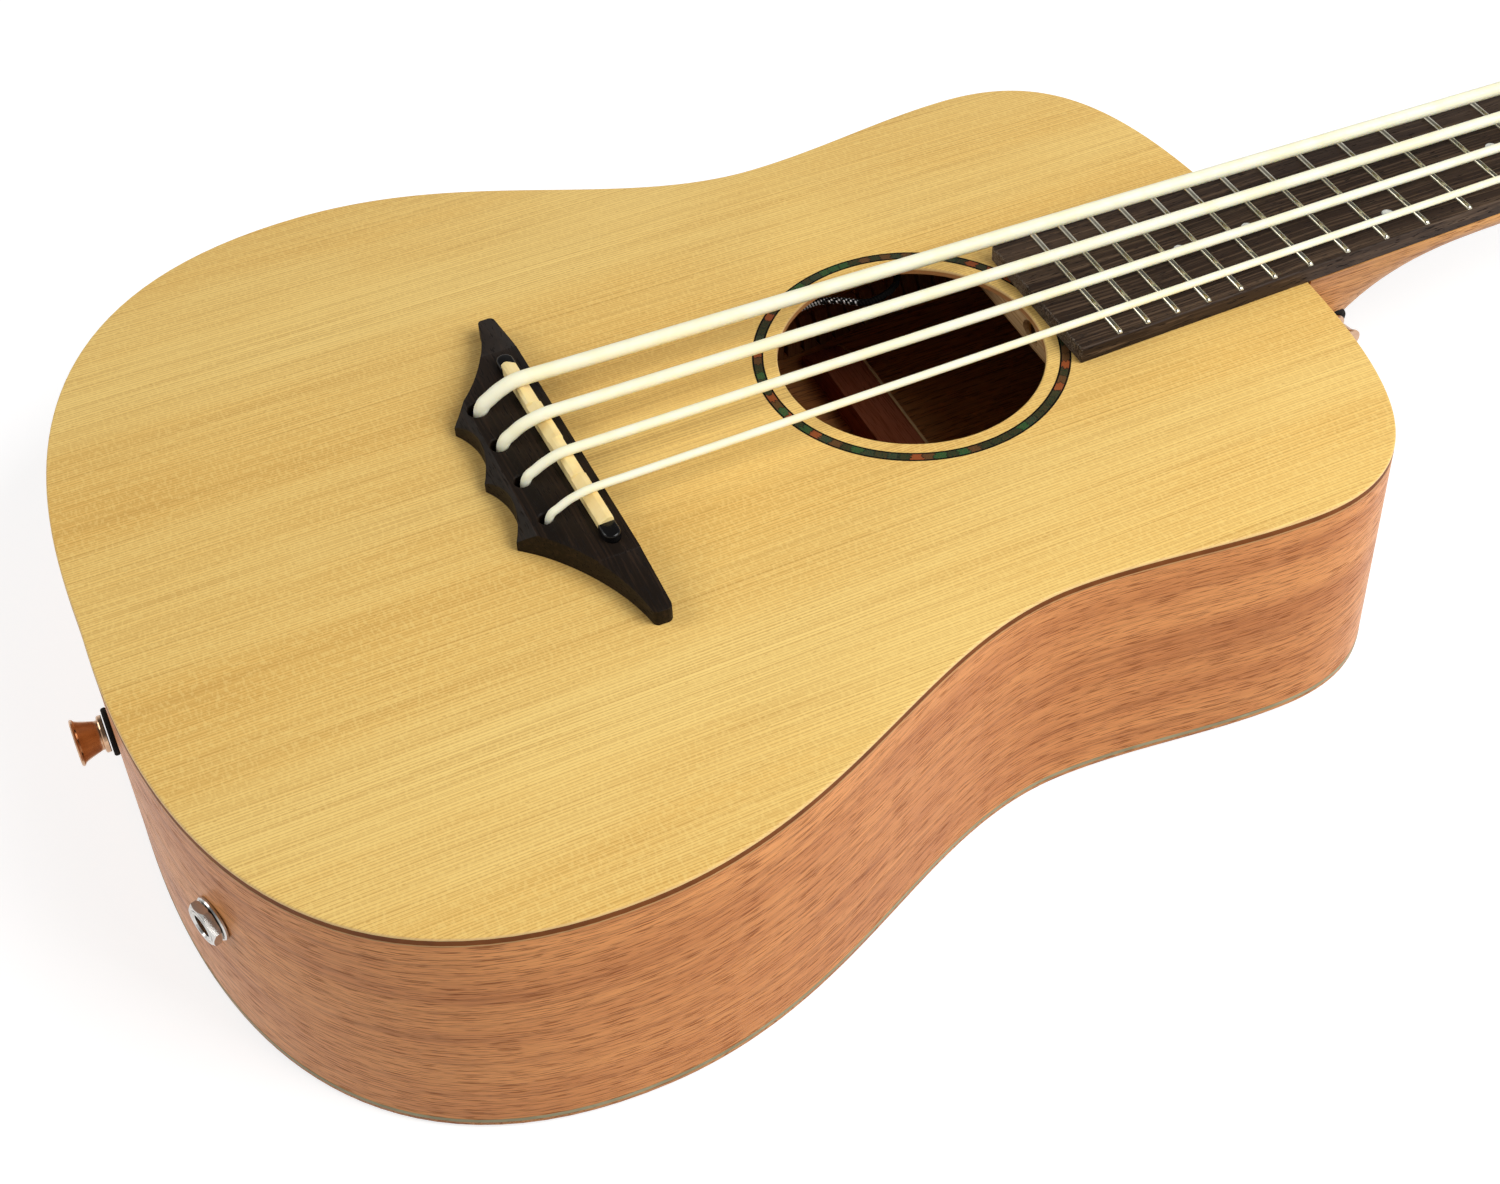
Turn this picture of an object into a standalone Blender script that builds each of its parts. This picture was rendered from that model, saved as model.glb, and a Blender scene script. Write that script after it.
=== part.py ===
"""Four-string bass ukulele with a dreadnought-style body, lying on its flat back.

Units are metres. X runs from the tail to the headstock, +Y is the bass side and +Z is the soundboard's side.
Every size below is measured in the instrument's own frame, whose X is 0 under the theoretical saddle line and
whose Z is 0 on the underside of the back. An empty carries that frame, with the middle of the length at X 0.
"""
import math

import bmesh
import bpy
import numpy as np
from mathutils import Matrix, Vector

# General clearance between pieces that touch
FIT = 0.0003
# How far a cutter runs past the faces it opens
OVERCUT = 0.002

# Scale and body
SCALE_LENGTH = 0.534
FRET_COUNT = 20
BODY_FRET = 14
BODY_DEPTH = 0.0817
TAIL_X = -0.1378
LOWER_BOUT_X = -0.0344
LOWER_BOUT_HALF = 0.1487
WAIST_X = 0.1063
WAIST_HALF = 0.1061
UPPER_BOUT_X = 0.1817
UPPER_BOUT_HALF = 0.1128
TAIL_FLAT = 0.0244
TAIL_SWELL = 0.1113
LOWER_SWELL = 0.0571
WAIST_REACH_TAIL = 0.0465
WAIST_REACH_HEAD = 0.0259
UPPER_REACH = 0.0258
SHOULDER_SWELL = 0.0449
SHOULDER_FLAT = 0.0745
CURVE_STEPS = 8
TAIL_STEPS = 9

# Plates, rims and linings
TOP_THICKNESS = 0.0026
TOP_LIP = 0.0009
EDGE_ROUND = 0.0005
BACK_THICKNESS = 0.0026
SIDE_THICKNESS = 0.0022
LINING_WIDTH = 0.0060
LINING_FOOT = 0.0024
LINING_HEIGHT = 0.0125
KERF_PITCH = 0.0150
KERF_WIDTH = 0.0016
KERF_WEB = 0.0012

# Sound hole and rosette
HOLE_X = 0.1115
HOLE_RADIUS = 0.0405
ROSETTE_INNER = 0.0447
ROSETTE_OUTER = 0.0481
ROSETTE_DEPTH = 0.0012
HOLE_STEPS = 44

# Blocks and braces
NECK_BLOCK_LENGTH = 0.052
NECK_BLOCK_WIDTH = 0.066
TAIL_BLOCK_LENGTH = 0.018
TAIL_BLOCK_WIDTH = 0.064
BRACE_WIDTH = 0.0075
BRACE_HEIGHT = 0.0110
BRACE_CREST = 0.0030
BRACE_END_HEIGHT = 0.0030
BRACE_INSET = 0.0120
BRACE_TAPER = 0.030
BRACE_SHOULDER_SHARE = 0.4
BLOCK_TO_BRACE = 0.0265
UPPER_BRACE_HEIGHT = 0.0140
X_BRACE_X = 0.049
X_BRACE_ANGLE = 53.0
X_BRACE_REACH_HEAD = 0.100
X_BRACE_REACH_TAIL = 0.130
TONE_BAR_X = -0.062
BRIDGE_PLATE_LENGTH = 0.034
BRIDGE_PLATE_WIDTH = 0.112
BRIDGE_PLATE_THICKNESS = 0.0025
BACK_BRACE_XS = (-0.085, 0.010, 0.098)
CENTRE_STRIP_WIDTH = 0.016
CENTRE_STRIP_THICKNESS = 0.0022

# Bridge and saddle
BRIDGE_HEIGHT = 0.0080
BRIDGE_FRONT_X = 0.0071
BRIDGE_CUSP_X = -0.0237
BRIDGE_CUSP_Y = 0.0260
SCALLOP_DEPTH = 0.0038
BRIDGE_SHOULDER_Y = 0.0470
BRIDGE_TIP_Y = 0.0690
BRIDGE_TIP_FRONT_X = 0.0050
BRIDGE_TIP_BACK_X = -0.0006
BRIDGE_TIP_HEIGHT = 0.0052
BRIDGE_TIP_CORNER = 0.0012
WING_LEAVES_TIP = (-0.0022, -0.0150)
WING_MEETS_CUSP = (0.0105, 0.0085)
WING_STEP = 0.0003
BEVEL_TOP_X = -0.0187
BEVEL_LOW_Z = 0.0032
SADDLE_X = -0.0016
SADDLE_SLANT = 1.2
SADDLE_THICKNESS = 0.0044
SADDLE_LENGTH = 0.0720
SADDLE_CROWN = 0.0120
SADDLE_CREST_HALF = 0.0005
SADDLE_SHOULDER = 0.0011
SADDLE_SLOT_DEPTH = 0.0050
SADDLE_END_LENGTH = 0.0066
SADDLE_END_RISE = 0.0025
PICKUP_THICKNESS = 0.0016
PICKUP_WIDTH = 0.0030

# Strings, from the thickest to the thinnest
STRING_NAMES = ("e", "a", "d", "g")
STRING_RADII = (0.00225, 0.00190, 0.00152, 0.00120)
BREAK_OFFSETS = (-0.0009, 0.0008, -0.0006, 0.0009)
SPREAD_AT_SADDLE = 0.0507
SPREAD_AT_NUT = 0.0340
STRING_HOLE_X = -0.0153
STRING_HOLE_SLANT = 2.0
STRING_HOLE_CLEARANCE = 0.0009
STRING_HOLE_REACH = 0.0120
ARCH_FORWARD = (0.0012, 0.0050)
ARCH_RISE = (0.45, 0.84)
ARCH_STRAIGHT = 0.0120
ARCH_STEP = 0.0028
BEAD_SHAPE = ((0.0, 0.8), (0.15, 1.45), (0.42, 1.75), (0.75, 1.6), (1.0, 1.0))
BEAD_LENGTH = 0.0056
NUT_ACTION = 0.0006
WINDING_TURNS = 1.5
WINDING_STEPS = 10
WINDING_GAP = 0.0005
STRING_TAIL = 0.0060

# Fingerboard and neck
BOARD_SURFACE = 0.0058
BOARD_OVERHANG = 0.0141
BOARD_END_HALF = 0.0280
NUT_HALF = 0.0210
FRET_WIDTH = 0.0022
FRET_HEIGHT = 0.0011
FRET_INSET = 0.0008
FRET_SINK = 0.0006
FRET_ARC = (0, 60, 120, 180)
FRET_END_LEAN = 0.5
NUT_THICKNESS = 0.0050
NUT_RISE = 0.0036
NECK_DEPTH_AT_NUT = 0.0143
NECK_DEPTH_AT_HEEL = 0.0148
HEEL_LENGTH = 0.0740
HEEL_HALF_TOP = 0.0280
HEEL_HALF_LOW = 0.0100
HEEL_FALL = 2.8
HEEL_SIDE_CURVE = 0.8
HEEL_KEEL_HALF_ANGLE = 30.0
HEEL_SHARES = (0.0, 0.04, 0.09, 0.15, 0.22, 0.30, 0.40, 0.52, 0.66, 0.82, 1.0)
NECK_SHARES = (0.17, 0.33, 0.50, 0.67, 0.83, 1.0)
NECK_ROUND_Y = 0.96
NECK_ROUND_Z = 0.97
HEEL_CAP_THICKNESS = 0.0025
HEEL_CAP_SHAPE = ((0.0, 1.0), (0.7, 0.8), (1.0, 0.4))
HEEL_CAP_LENGTH = 0.0036
TENON_LENGTH = 0.0180
TENON_WIDTH = 0.0180
TENON_HEIGHT = 0.0480
TENON_ROOT = 0.0080
ROD_WIDTH = 0.0060
ROD_HEIGHT = 0.0060
ROD_COVER = 0.0030
ROD_END_GAP = 0.0120
ROD_NUT_RADIUS = 0.0042
ROD_NUT_LENGTH = 0.0120
ROD_NUT_OUT = 0.0286
ROD_KEY_RADIUS = 0.0028
ROD_KEY_DEPTH = 0.0072
ROD_BORE_OUT = 0.0340

# Headstock
HEAD_ANGLE = 13.0
HEAD_FACE_DROP = 0.0005
HEAD_LENGTH = 0.1480
HEAD_THICKNESS = 0.0135
HEAD_SHOULDER_U = 0.0300
HEAD_SHOULDER_HALF = 0.0365
HEAD_TIP_HALF = 0.0330
HEAD_FLARE = 0.0120
HEAD_CORNER = 0.0140
HEAD_CROWN = 0.0050
VENEER_THICKNESS = 0.0015

# Tuners: one post for each string, counted from the thickest
POST_US = (0.0470, 0.0970, 0.0970, 0.0470)
POST_VS = (0.0235, 0.0215, -0.0215, -0.0235)
POST_RADIUS = 0.0040
POST_RISE = 0.0190
POST_ROUND = 0.0005
BUSHING_RADIUS = 0.0054
BUSHING_FLANGE = 0.0066
BUSHING_RISE = 0.0016
BUSHING_DEPTH = 0.0080
PLATE_THICKNESS = 0.0012
PLATE_LENGTH = 0.0300
PLATE_WIDTH = 0.0190
PLATE_CORNER = 0.0030
EAR_THICKNESS = 0.0018
EAR_WIDTH = 0.0070
EAR_SPREAD = 0.0136
GEAR_TEETH = 16
GEAR_MODULE = 0.0008
GEAR_THICKNESS = 0.0034
GEAR_STANDOFF = 0.0019
TOOTH_THICKNESS = 0.00092
TOOTH_ADDENDUM = 0.00060
TOOTH_DEDENDUM = 0.00095
TOOTH_TIP_SHARE = 0.36
GEAR_ROOT_SHARE = 0.65
WORM_ROOT_SHARE = 0.75
WORM_PITCH_RADIUS = 0.0026
WORM_TURNS = 2.75
WORM_STEPS = 8
WORM_SINK = 0.0004
KEY_SHAFT_RADIUS = 0.0017
KEY_STEM_RADIUS = 0.0024
KEY_SHAFT_OUT = 0.0008
KEY_STEM_SINK = 0.0030
KEY_REACH = 0.0100
BUTTON_LENGTH = 0.0170
BUTTON_WIDTH = 0.0210
BUTTON_THICKNESS = 0.0060
GEAR_SCREW_RADIUS = 0.0028
GEAR_SCREW_HEIGHT = 0.0016
GEAR_SCREW_ROUND = 0.0007

# Strap buttons and output jack
STRAP_RIM_RADIUS = 0.0068
STRAP_WAIST_RADIUS = 0.0043
STRAP_FOOT_RADIUS = 0.0054
STRAP_LENGTH = 0.0086
STRAP_RIM_THICKNESS = 0.0008
STRAP_RIM_ROUND = 0.0003
STRAP_WAIST_HIGH = 0.0022
STRAP_WAIST_LOW = 0.0018
STRAP_FOOT_HEIGHT = 0.0014
STRAP_SCREW_RADIUS = 0.0017
STRAP_SCREW_LENGTH = 0.0140
FELT_RADIUS = 0.0070
FELT_THICKNESS = 0.0014
TAIL_BUTTON_Z = 0.0392
HEEL_BUTTON_OUT = 0.0171
HEEL_BUTTON_Z = 0.0518
HEEL_BUTTON_Y = -0.0160
JACK_Y = -0.0805
JACK_Z = 0.0470
JACK_THREAD_RADIUS = 0.0044
JACK_BORE_RADIUS = 0.0034
JACK_BORE_DEPTH = 0.0240
JACK_BODY_RADIUS = 0.0070
JACK_BODY_LENGTH = 0.0260
JACK_OUT = 0.0042
WASHER_RADIUS = 0.0065
WASHER_THICKNESS = 0.0009
HEX_ACROSS_FLATS = 0.0112
HEX_THICKNESS = 0.0025
LEAD_RADIUS = 0.0013
LEAD_DROP = 0.0050
LEAD_MIDDLE = ((-0.030, -0.062, 0.042), (-0.060, -0.068, 0.036))
LEAD_STRAIGHT = 0.0120
LEAD_STEP = 0.0080

# Colours: red, green, blue, roughness, metallic
LOOKS = {
    "spruce": (0.80, 0.56, 0.27, 0.35, 0.0),
    "mahogany": (0.44, 0.23, 0.12, 0.45, 0.0),
    "dark_wood": (0.16, 0.07, 0.03, 0.50, 0.0),
    "rosewood": (0.06, 0.04, 0.035, 0.50, 0.0),
    "inner_spruce": (0.72, 0.55, 0.36, 0.70, 0.0),
    "abalone": (0.10, 0.22, 0.18, 0.20, 0.0),
    "bone": (0.90, 0.78, 0.52, 0.35, 0.0),
    "black_plastic": (0.01, 0.01, 0.01, 0.20, 0.0),
    "polymer": (0.95, 0.92, 0.72, 0.40, 0.0),
    "chrome": (0.80, 0.80, 0.80, 0.15, 1.0),
    "brass": (0.75, 0.60, 0.30, 0.30, 1.0),
    "steel": (0.55, 0.55, 0.55, 0.35, 1.0),
    "felt": (0.015, 0.015, 0.015, 0.95, 0.0),
    "braid": (0.60, 0.60, 0.60, 0.40, 1.0),
}

# Levels and places that follow from the sizes above
TOP_Z = BODY_DEPTH
TOP_UNDER_Z = TOP_Z - TOP_THICKNESS
STRIP_HIGH_Z = TOP_Z - TOP_LIP - FIT
STRIP_LOW_Z = TOP_UNDER_Z
SIDE_HIGH_Z = STRIP_LOW_Z - FIT
SIDE_LOW_Z = BACK_THICKNESS + FIT
INNER_HIGH_Z = TOP_UNDER_Z - FIT
INNER_LOW_Z = BACK_THICKNESS + FIT
BOARD_LOW_Z = TOP_Z + FIT
BOARD_Z = TOP_Z + BOARD_SURFACE
BRIDGE_LOW_Z = TOP_Z + FIT
BRIDGE_Z = TOP_Z + BRIDGE_HEIGHT
HEEL_X = SCALE_LENGTH * 2 ** (-BODY_FRET / 12)
BOARD_END_X = SCALE_LENGTH * 2 ** (-FRET_COUNT / 12) - BOARD_OVERHANG
BLOCK_FACE_X = HEEL_X - SIDE_THICKNESS - 2 * FIT - NECK_BLOCK_LENGTH
UPPER_BRACE_X = BLOCK_FACE_X - BLOCK_TO_BRACE
HEEL_FOOT = BODY_DEPTH - HEEL_CAP_THICKNESS - FIT
NUT_X = SCALE_LENGTH
HEAD_X = NUT_X + NUT_THICKNESS + FIT
HEAD_FACE_Z = TOP_Z - HEAD_FACE_DROP
CENTRE_DISTANCE = GEAR_TEETH * GEAR_MODULE / 2 + WORM_PITCH_RADIUS
WORM_LEAD = math.pi * GEAR_MODULE
HEAD_MATRIX = Matrix.Translation((HEAD_X, 0, HEAD_FACE_Z)) @ Matrix.Rotation(math.radians(HEAD_ANGLE), 4, "Y")
TAIL_END_X = TAIL_X - FIT - FELT_THICKNESS - FIT - STRAP_LENGTH
VENEER_FACE = FIT + VENEER_THICKNESS
HEAD_END_X = (HEAD_MATRIX @ Vector((HEAD_LENGTH, 0, VENEER_FACE))).x
MIDDLE_X = (TAIL_END_X + HEAD_END_X) / 2


# Scene, materials and small helpers
def clear_scene():
    """Remove what the scene holds, so that the model starts empty."""
    for item in list(bpy.data.objects):
        bpy.data.objects.remove(item, do_unlink=True)


def new_collection(name):
    """Return a new collection of the scene."""
    collection = bpy.data.collections.new(name)
    bpy.context.scene.collection.children.link(collection)
    return collection


clear_scene()
PARTS = new_collection("bass_ukulele")
CUTTERS = new_collection("cutters")


def new_empty(name, matrix, parent=None):
    """Return an empty that carries a frame or a joint axis."""
    empty = bpy.data.objects.new(name, None)
    empty.empty_display_size = 0.01
    PARTS.objects.link(empty)
    empty.parent = parent
    empty.matrix_local = matrix
    return empty


FRAME = new_empty("instrument_frame", Matrix.Translation((-MIDDLE_X, 0, 0)))


def material_for(look, name):
    """Return a Principled material of the named look for one piece."""
    red, green, blue, roughness, metallic = LOOKS[look]
    material = bpy.data.materials.new(name)
    material.use_nodes = True
    shader = material.node_tree.nodes["Principled BSDF"]
    shader.inputs["Base Color"].default_value = (red, green, blue, 1)
    shader.inputs["Roughness"].default_value = roughness
    shader.inputs["Metallic"].default_value = metallic
    return material


def place(name, mesh, look=None, parent=FRAME, matrix=None, smooth=False):
    """Make an object of a mesh: a part where a look is named, otherwise a cutter."""
    item = bpy.data.objects.new(name, mesh)
    item.parent = parent
    if matrix is not None:
        item.matrix_local = matrix
    if look is None:
        CUTTERS.objects.link(item)
        item.hide_render = True
        item.display_type = "WIRE"
    else:
        PARTS.objects.link(item)
        mesh.materials.append(material_for(look, name))
    if smooth:
        mesh.shade_smooth()
        mesh.set_sharp_from_angle(angle=math.radians(35))
    return item


def mesh_of(bm, name):
    """Turn a bmesh into a mesh with its faces pointing out."""
    bmesh.ops.recalc_face_normals(bm, faces=bm.faces)
    mesh = bpy.data.meshes.new(name)
    bm.to_mesh(mesh)
    bm.free()
    return mesh


def mesh_from_curve(curve, name):
    """Evaluate a curve to a mesh and weld its caps."""
    item = bpy.data.objects.new(name + "_curve", curve)
    bpy.context.scene.collection.objects.link(item)
    depsgraph = bpy.context.evaluated_depsgraph_get()
    mesh = bpy.data.meshes.new_from_object(item.evaluated_get(depsgraph))
    bpy.data.objects.remove(item, do_unlink=True)
    bm = bmesh.new()
    bm.from_mesh(mesh)
    bmesh.ops.remove_doubles(bm, verts=bm.verts, dist=1e-6)
    bpy.data.meshes.remove(mesh)
    return mesh_of(bm, name)


def prism_mesh(name, loops, low, high):
    """Extrude a flat outline, whose further loops are holes, from one level to another."""
    curve = bpy.data.curves.new(name, "CURVE")
    curve.dimensions = "2D"
    curve.fill_mode = "BOTH"
    curve.extrude = (high - low) / 2
    for loop in loops:
        spline = curve.splines.new("POLY")
        spline.points.add(len(loop) - 1)
        spline.use_cyclic_u = True
        for point, (x, y) in zip(spline.points, loop):
            point.co = (x, y, 0, 1)
    mesh = mesh_from_curve(curve, name)
    mesh.transform(Matrix.Translation((0, 0, (low + high) / 2)))
    return mesh


def tube_mesh(name, points, radius, swells=None):
    """Sweep a round section along points, each with its own share of the radius."""
    curve = bpy.data.curves.new(name, "CURVE")
    curve.dimensions = "3D"
    curve.bevel_depth = radius
    curve.bevel_resolution = 1
    curve.use_fill_caps = True
    spline = curve.splines.new("POLY")
    spline.points.add(len(points) - 1)
    for index, (point, place_of_point) in enumerate(zip(spline.points, points)):
        point.co = (*place_of_point, 1)
        point.radius = 1.0 if swells is None else swells[index]
    return mesh_from_curve(curve, name)


def loft_mesh(name, rings):
    """Join rings of equal length into one closed body."""
    bm = bmesh.new()
    loops = [[bm.verts.new(point) for point in ring] for ring in rings]
    count = len(loops[0])
    for first, second in zip(loops, loops[1:]):
        for index in range(count):
            after = (index + 1) % count
            bm.faces.new((first[index], first[after], second[after], second[index]))
    bm.faces.new(list(reversed(loops[0])))
    bm.faces.new(loops[-1])
    return mesh_of(bm, name)


def box_mesh(name, low, high):
    """Return a box between two corners."""
    bm = bmesh.new()
    bmesh.ops.create_cube(bm, size=1)
    size = [b - a for a, b in zip(low, high)]
    middle = [(a + b) / 2 for a, b in zip(low, high)]
    bmesh.ops.scale(bm, vec=size, verts=bm.verts)
    bmesh.ops.translate(bm, vec=middle, verts=bm.verts)
    return mesh_of(bm, name)


def cylinder_mesh(name, radius, low, high, segments=24):
    """Return a cylinder along Z."""
    bm = bmesh.new()
    bmesh.ops.create_cone(
        bm, cap_ends=True, segments=segments, radius1=radius, radius2=radius, depth=high - low
    )
    bmesh.ops.translate(bm, vec=(0, 0, (low + high) / 2), verts=bm.verts)
    return mesh_of(bm, name)


def turned(name, profile, look, matrix=None, parent=FRAME, steps=24, closed=False):
    """Turn a profile of radius and height, given from the top down, about Z."""
    mesh = bpy.data.meshes.new(name)
    edges = [(index, index + 1) for index in range(len(profile) - 1)]
    if closed:
        edges.append((len(profile) - 1, 0))
    mesh.from_pydata([(radius, 0, height) for radius, height in profile], edges, [])
    item = place(name, mesh, look, parent, matrix)
    screw = item.modifiers.new("turn", "SCREW")
    screw.steps = steps
    screw.render_steps = steps
    screw.use_merge_vertices = True
    screw.merge_threshold = 0.00001
    screw.use_smooth_shade = True
    return item


def combine(item, other, operation):
    """Add a Boolean modifier that cuts or joins another solid."""
    modifier = item.modifiers.new(other.name, "BOOLEAN")
    modifier.operation = operation
    modifier.object = other
    modifier.solver = "EXACT"


def cut(item, *cutters):
    """Cut solids out of an object."""
    for cutter in cutters:
        combine(item, cutter, "DIFFERENCE")


def join(item, *others):
    """Join solids to an object."""
    for other in others:
        combine(item, other, "UNION")


def facing(direction, origin):
    """Return the matrix that turns Z to a direction and moves to an origin."""
    turn = Vector((0, 0, 1)).rotation_difference(Vector(direction)).to_matrix().to_4x4()
    return Matrix.Translation(origin) @ turn


# The body's plan outline
def bezier(start, first, second, end, steps):
    """Return points of a cubic curve without its last point."""
    ts = np.arange(steps)[:, None] / steps
    start, first, second, end = (np.array(point, float) for point in (start, first, second, end))
    outer = (1 - ts) ** 3 * start + ts**3 * end
    return outer + 3 * (1 - ts) ** 2 * ts * first + 3 * (1 - ts) * ts**2 * second


def half_outline():
    """Return the +Y half of the body's outline, from the middle of the tail to the heel."""
    tail = (TAIL_X, 0)
    lower = (LOWER_BOUT_X, LOWER_BOUT_HALF)
    waist = (WAIST_X, WAIST_HALF)
    upper = (UPPER_BOUT_X, UPPER_BOUT_HALF)
    heel = (HEEL_X, 0)
    pieces = (
        bezier(tail, (TAIL_X, TAIL_FLAT), (LOWER_BOUT_X - TAIL_SWELL, LOWER_BOUT_HALF), lower, TAIL_STEPS),
        bezier(lower, (LOWER_BOUT_X + LOWER_SWELL, LOWER_BOUT_HALF),
               (WAIST_X - WAIST_REACH_TAIL, WAIST_HALF), waist, CURVE_STEPS),
        bezier(waist, (WAIST_X + WAIST_REACH_HEAD, WAIST_HALF),
               (UPPER_BOUT_X - UPPER_REACH, UPPER_BOUT_HALF), upper, CURVE_STEPS),
        bezier(upper, (UPPER_BOUT_X + SHOULDER_SWELL, UPPER_BOUT_HALF),
               (HEEL_X, SHOULDER_FLAT), heel, CURVE_STEPS),
        np.array([heel]),
    )
    return np.concatenate(pieces)


def inset_half(inset):
    """Return the half outline moved inward by an amount."""
    points = half_outline()
    ahead = np.vstack([points[1:], points[-1] + (points[-1] - points[-2])])
    behind = np.vstack([points[0] - (points[1] - points[0]), points[:-1]])
    along = ahead - behind
    along[0] = (0, 1)
    along[-1] = (0, -1)
    along /= np.linalg.norm(along, axis=1)[:, None]
    inward = np.stack([along[:, 1], -along[:, 0]], axis=1)
    return points + inset * inward


def whole_outline(inset):
    """Return the closed outline moved inward by an amount."""
    half = inset_half(inset)
    other = half[1:-1][::-1] * (1, -1)
    return np.vstack([half, other])


def outline_y(x, inset):
    """Return the half width of the inset outline at a station."""
    half = inset_half(inset)
    order = np.argsort(half[:, 0])
    return float(np.interp(x, half[order, 0], half[order, 1]))


def plate_mesh(name, levels):
    """Stack the outline at several insets and heights into one plate."""
    rings = [[(x, y, z) for x, y in whole_outline(inset)] for inset, z in levels]
    return loft_mesh(name, rings)


def rim_samples():
    """Return distances along the half outline, with its points and inward directions."""
    points = half_outline()
    inward = inset_half(1.0) - points
    steps = np.linalg.norm(np.diff(points, axis=0), axis=1)
    return np.concatenate([[0], np.cumsum(steps)]), points, inward


def rim_points(distances, inset):
    """Return points at distances along the half outline, moved inward."""
    along, points, inward = rim_samples()
    point = np.stack([np.interp(distances, along, points[:, axis]) for axis in (0, 1)], axis=1)
    way = np.stack([np.interp(distances, along, inward[:, axis]) for axis in (0, 1)], axis=1)
    return point + inset * way / np.linalg.norm(way, axis=1)[:, None]


def rim_span(tail_y, heel_y):
    """Return the distances along the half outline where its two ends reach a half width."""
    along, points, _ = rim_samples()
    turn = int(np.argmax(points[:, 1]))
    start = np.interp(tail_y, points[:turn, 1], along[:turn])
    heel_points = points[::-1][: CURVE_STEPS + 1]
    end = np.interp(heel_y, heel_points[:, 1], along[::-1][: CURVE_STEPS + 1])
    return start, end


def rim_stations(start, end):
    """Return the outline's own distances between two ends, and the ends."""
    along = rim_samples()[0]
    inner = along[(along > start + 0.001) & (along < end - 0.001)]
    return np.concatenate([[start], inner, [end]])


def band_outline(outer, inner, tail_y, heel_y):
    """Return the closed outline of a band that follows the +Y rim."""
    stations = rim_stations(*rim_span(tail_y, heel_y))
    return np.vstack([rim_points(stations, outer), rim_points(stations, inner)[::-1]])


def side_of(name):
    """Return the sign of Y for a bass or treble piece."""
    return 1 if name.endswith("bass") else -1


def mirrored(points, sign):
    """Return the +Y side's points, mirrored where the sign is negative."""
    return np.asarray(points) * (1, sign)


# Body shell
def make_hole_cutter():
    """Return the cutter of the sound hole."""
    mesh = cylinder_mesh("hole_cutter", HOLE_RADIUS, TOP_UNDER_Z - OVERCUT, TOP_Z + OVERCUT, HOLE_STEPS)
    mesh.transform(Matrix.Translation((HOLE_X, 0, 0)))
    return place("hole_cutter", mesh)


def make_soundboard():
    """Spruce plate with a rebate for the edge strip, the sound hole and the rosette's groove."""
    rebate = SIDE_THICKNESS + FIT
    levels = (
        (rebate, TOP_UNDER_Z),
        (rebate, TOP_Z - TOP_LIP),
        (0, TOP_Z - TOP_LIP),
        (0, TOP_Z - EDGE_ROUND),
        (EDGE_ROUND, TOP_Z),
    )
    board = place("soundboard", plate_mesh("soundboard", levels), "spruce")
    groove = turned(
        "rosette_groove",
        ring_profile(ROSETTE_OUTER + FIT / 2, ROSETTE_INNER - FIT / 2, OVERCUT, -ROSETTE_DEPTH - FIT),
        None,
        Matrix.Translation((HOLE_X, 0, TOP_Z)),
        steps=HOLE_STEPS,
        closed=True,
    )
    cut(board, make_hole_cutter(), groove)
    return board


def ring_profile(outer, inner, high, low):
    """Return the closed profile of a flat ring, down the outside and up the inside."""
    return [(outer, high), (outer, low), (inner, low), (inner, high)]


def make_rosette():
    """Ring of inlay let into the soundboard round the hole."""
    turned(
        "rosette",
        ring_profile(ROSETTE_OUTER - FIT / 2, ROSETTE_INNER + FIT / 2, 0, -ROSETTE_DEPTH),
        "abalone",
        Matrix.Translation((HOLE_X, 0, TOP_Z)),
        steps=HOLE_STEPS,
        closed=True,
    )


def make_edge_strip():
    """Dark strip in the rebate under the soundboard's lip, all round the body."""
    loops = (whole_outline(0), whole_outline(SIDE_THICKNESS))
    place("edge_strip", prism_mesh("edge_strip", loops, STRIP_LOW_Z, STRIP_HIGH_Z), "dark_wood")


def make_back():
    """Mahogany plate with a rounded edge."""
    levels = ((EDGE_ROUND, 0), (0, EDGE_ROUND), (0, BACK_THICKNESS))
    place("back", plate_mesh("back", levels), "mahogany")


def make_sides(cutters):
    """Two bent ribs that meet at the tail and at the heel."""
    for name in ("side_bass", "side_treble"):
        outline = mirrored(band_outline(0, SIDE_THICKNESS, FIT / 2, FIT / 2), side_of(name))
        side = place(name, prism_mesh(name, [outline], SIDE_LOW_Z, SIDE_HIGH_Z), "mahogany")
        cut(side, *cutters[name])


def kerfed_ring(start, end, reach, web):
    """Return one level of a kerfed lining: a smooth outer face and separate blocks inside."""
    outer_inset = SIDE_THICKNESS + FIT
    outer = rim_points(rim_stations(start, end), outer_inset)
    count = int((end - start) / KERF_PITCH)
    pitch = (end - start) / count
    inner = []
    for index in reversed(range(count)):
        low = start + index * pitch + (KERF_WIDTH / 2 if index else 0)
        high = start + (index + 1) * pitch - (KERF_WIDTH / 2 if index < count - 1 else 0)
        edges = np.array([high, high, low, low])
        insets = np.array([web, reach, reach, web])[:, None] + outer_inset
        block = rim_points(edges, 0)
        block = block + insets * (rim_points(edges, 1.0) - block)
        inner.extend(block if 0 < index < count - 1 else block[1:] if index else block[:3])
    return np.vstack([outer, inner])


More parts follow.
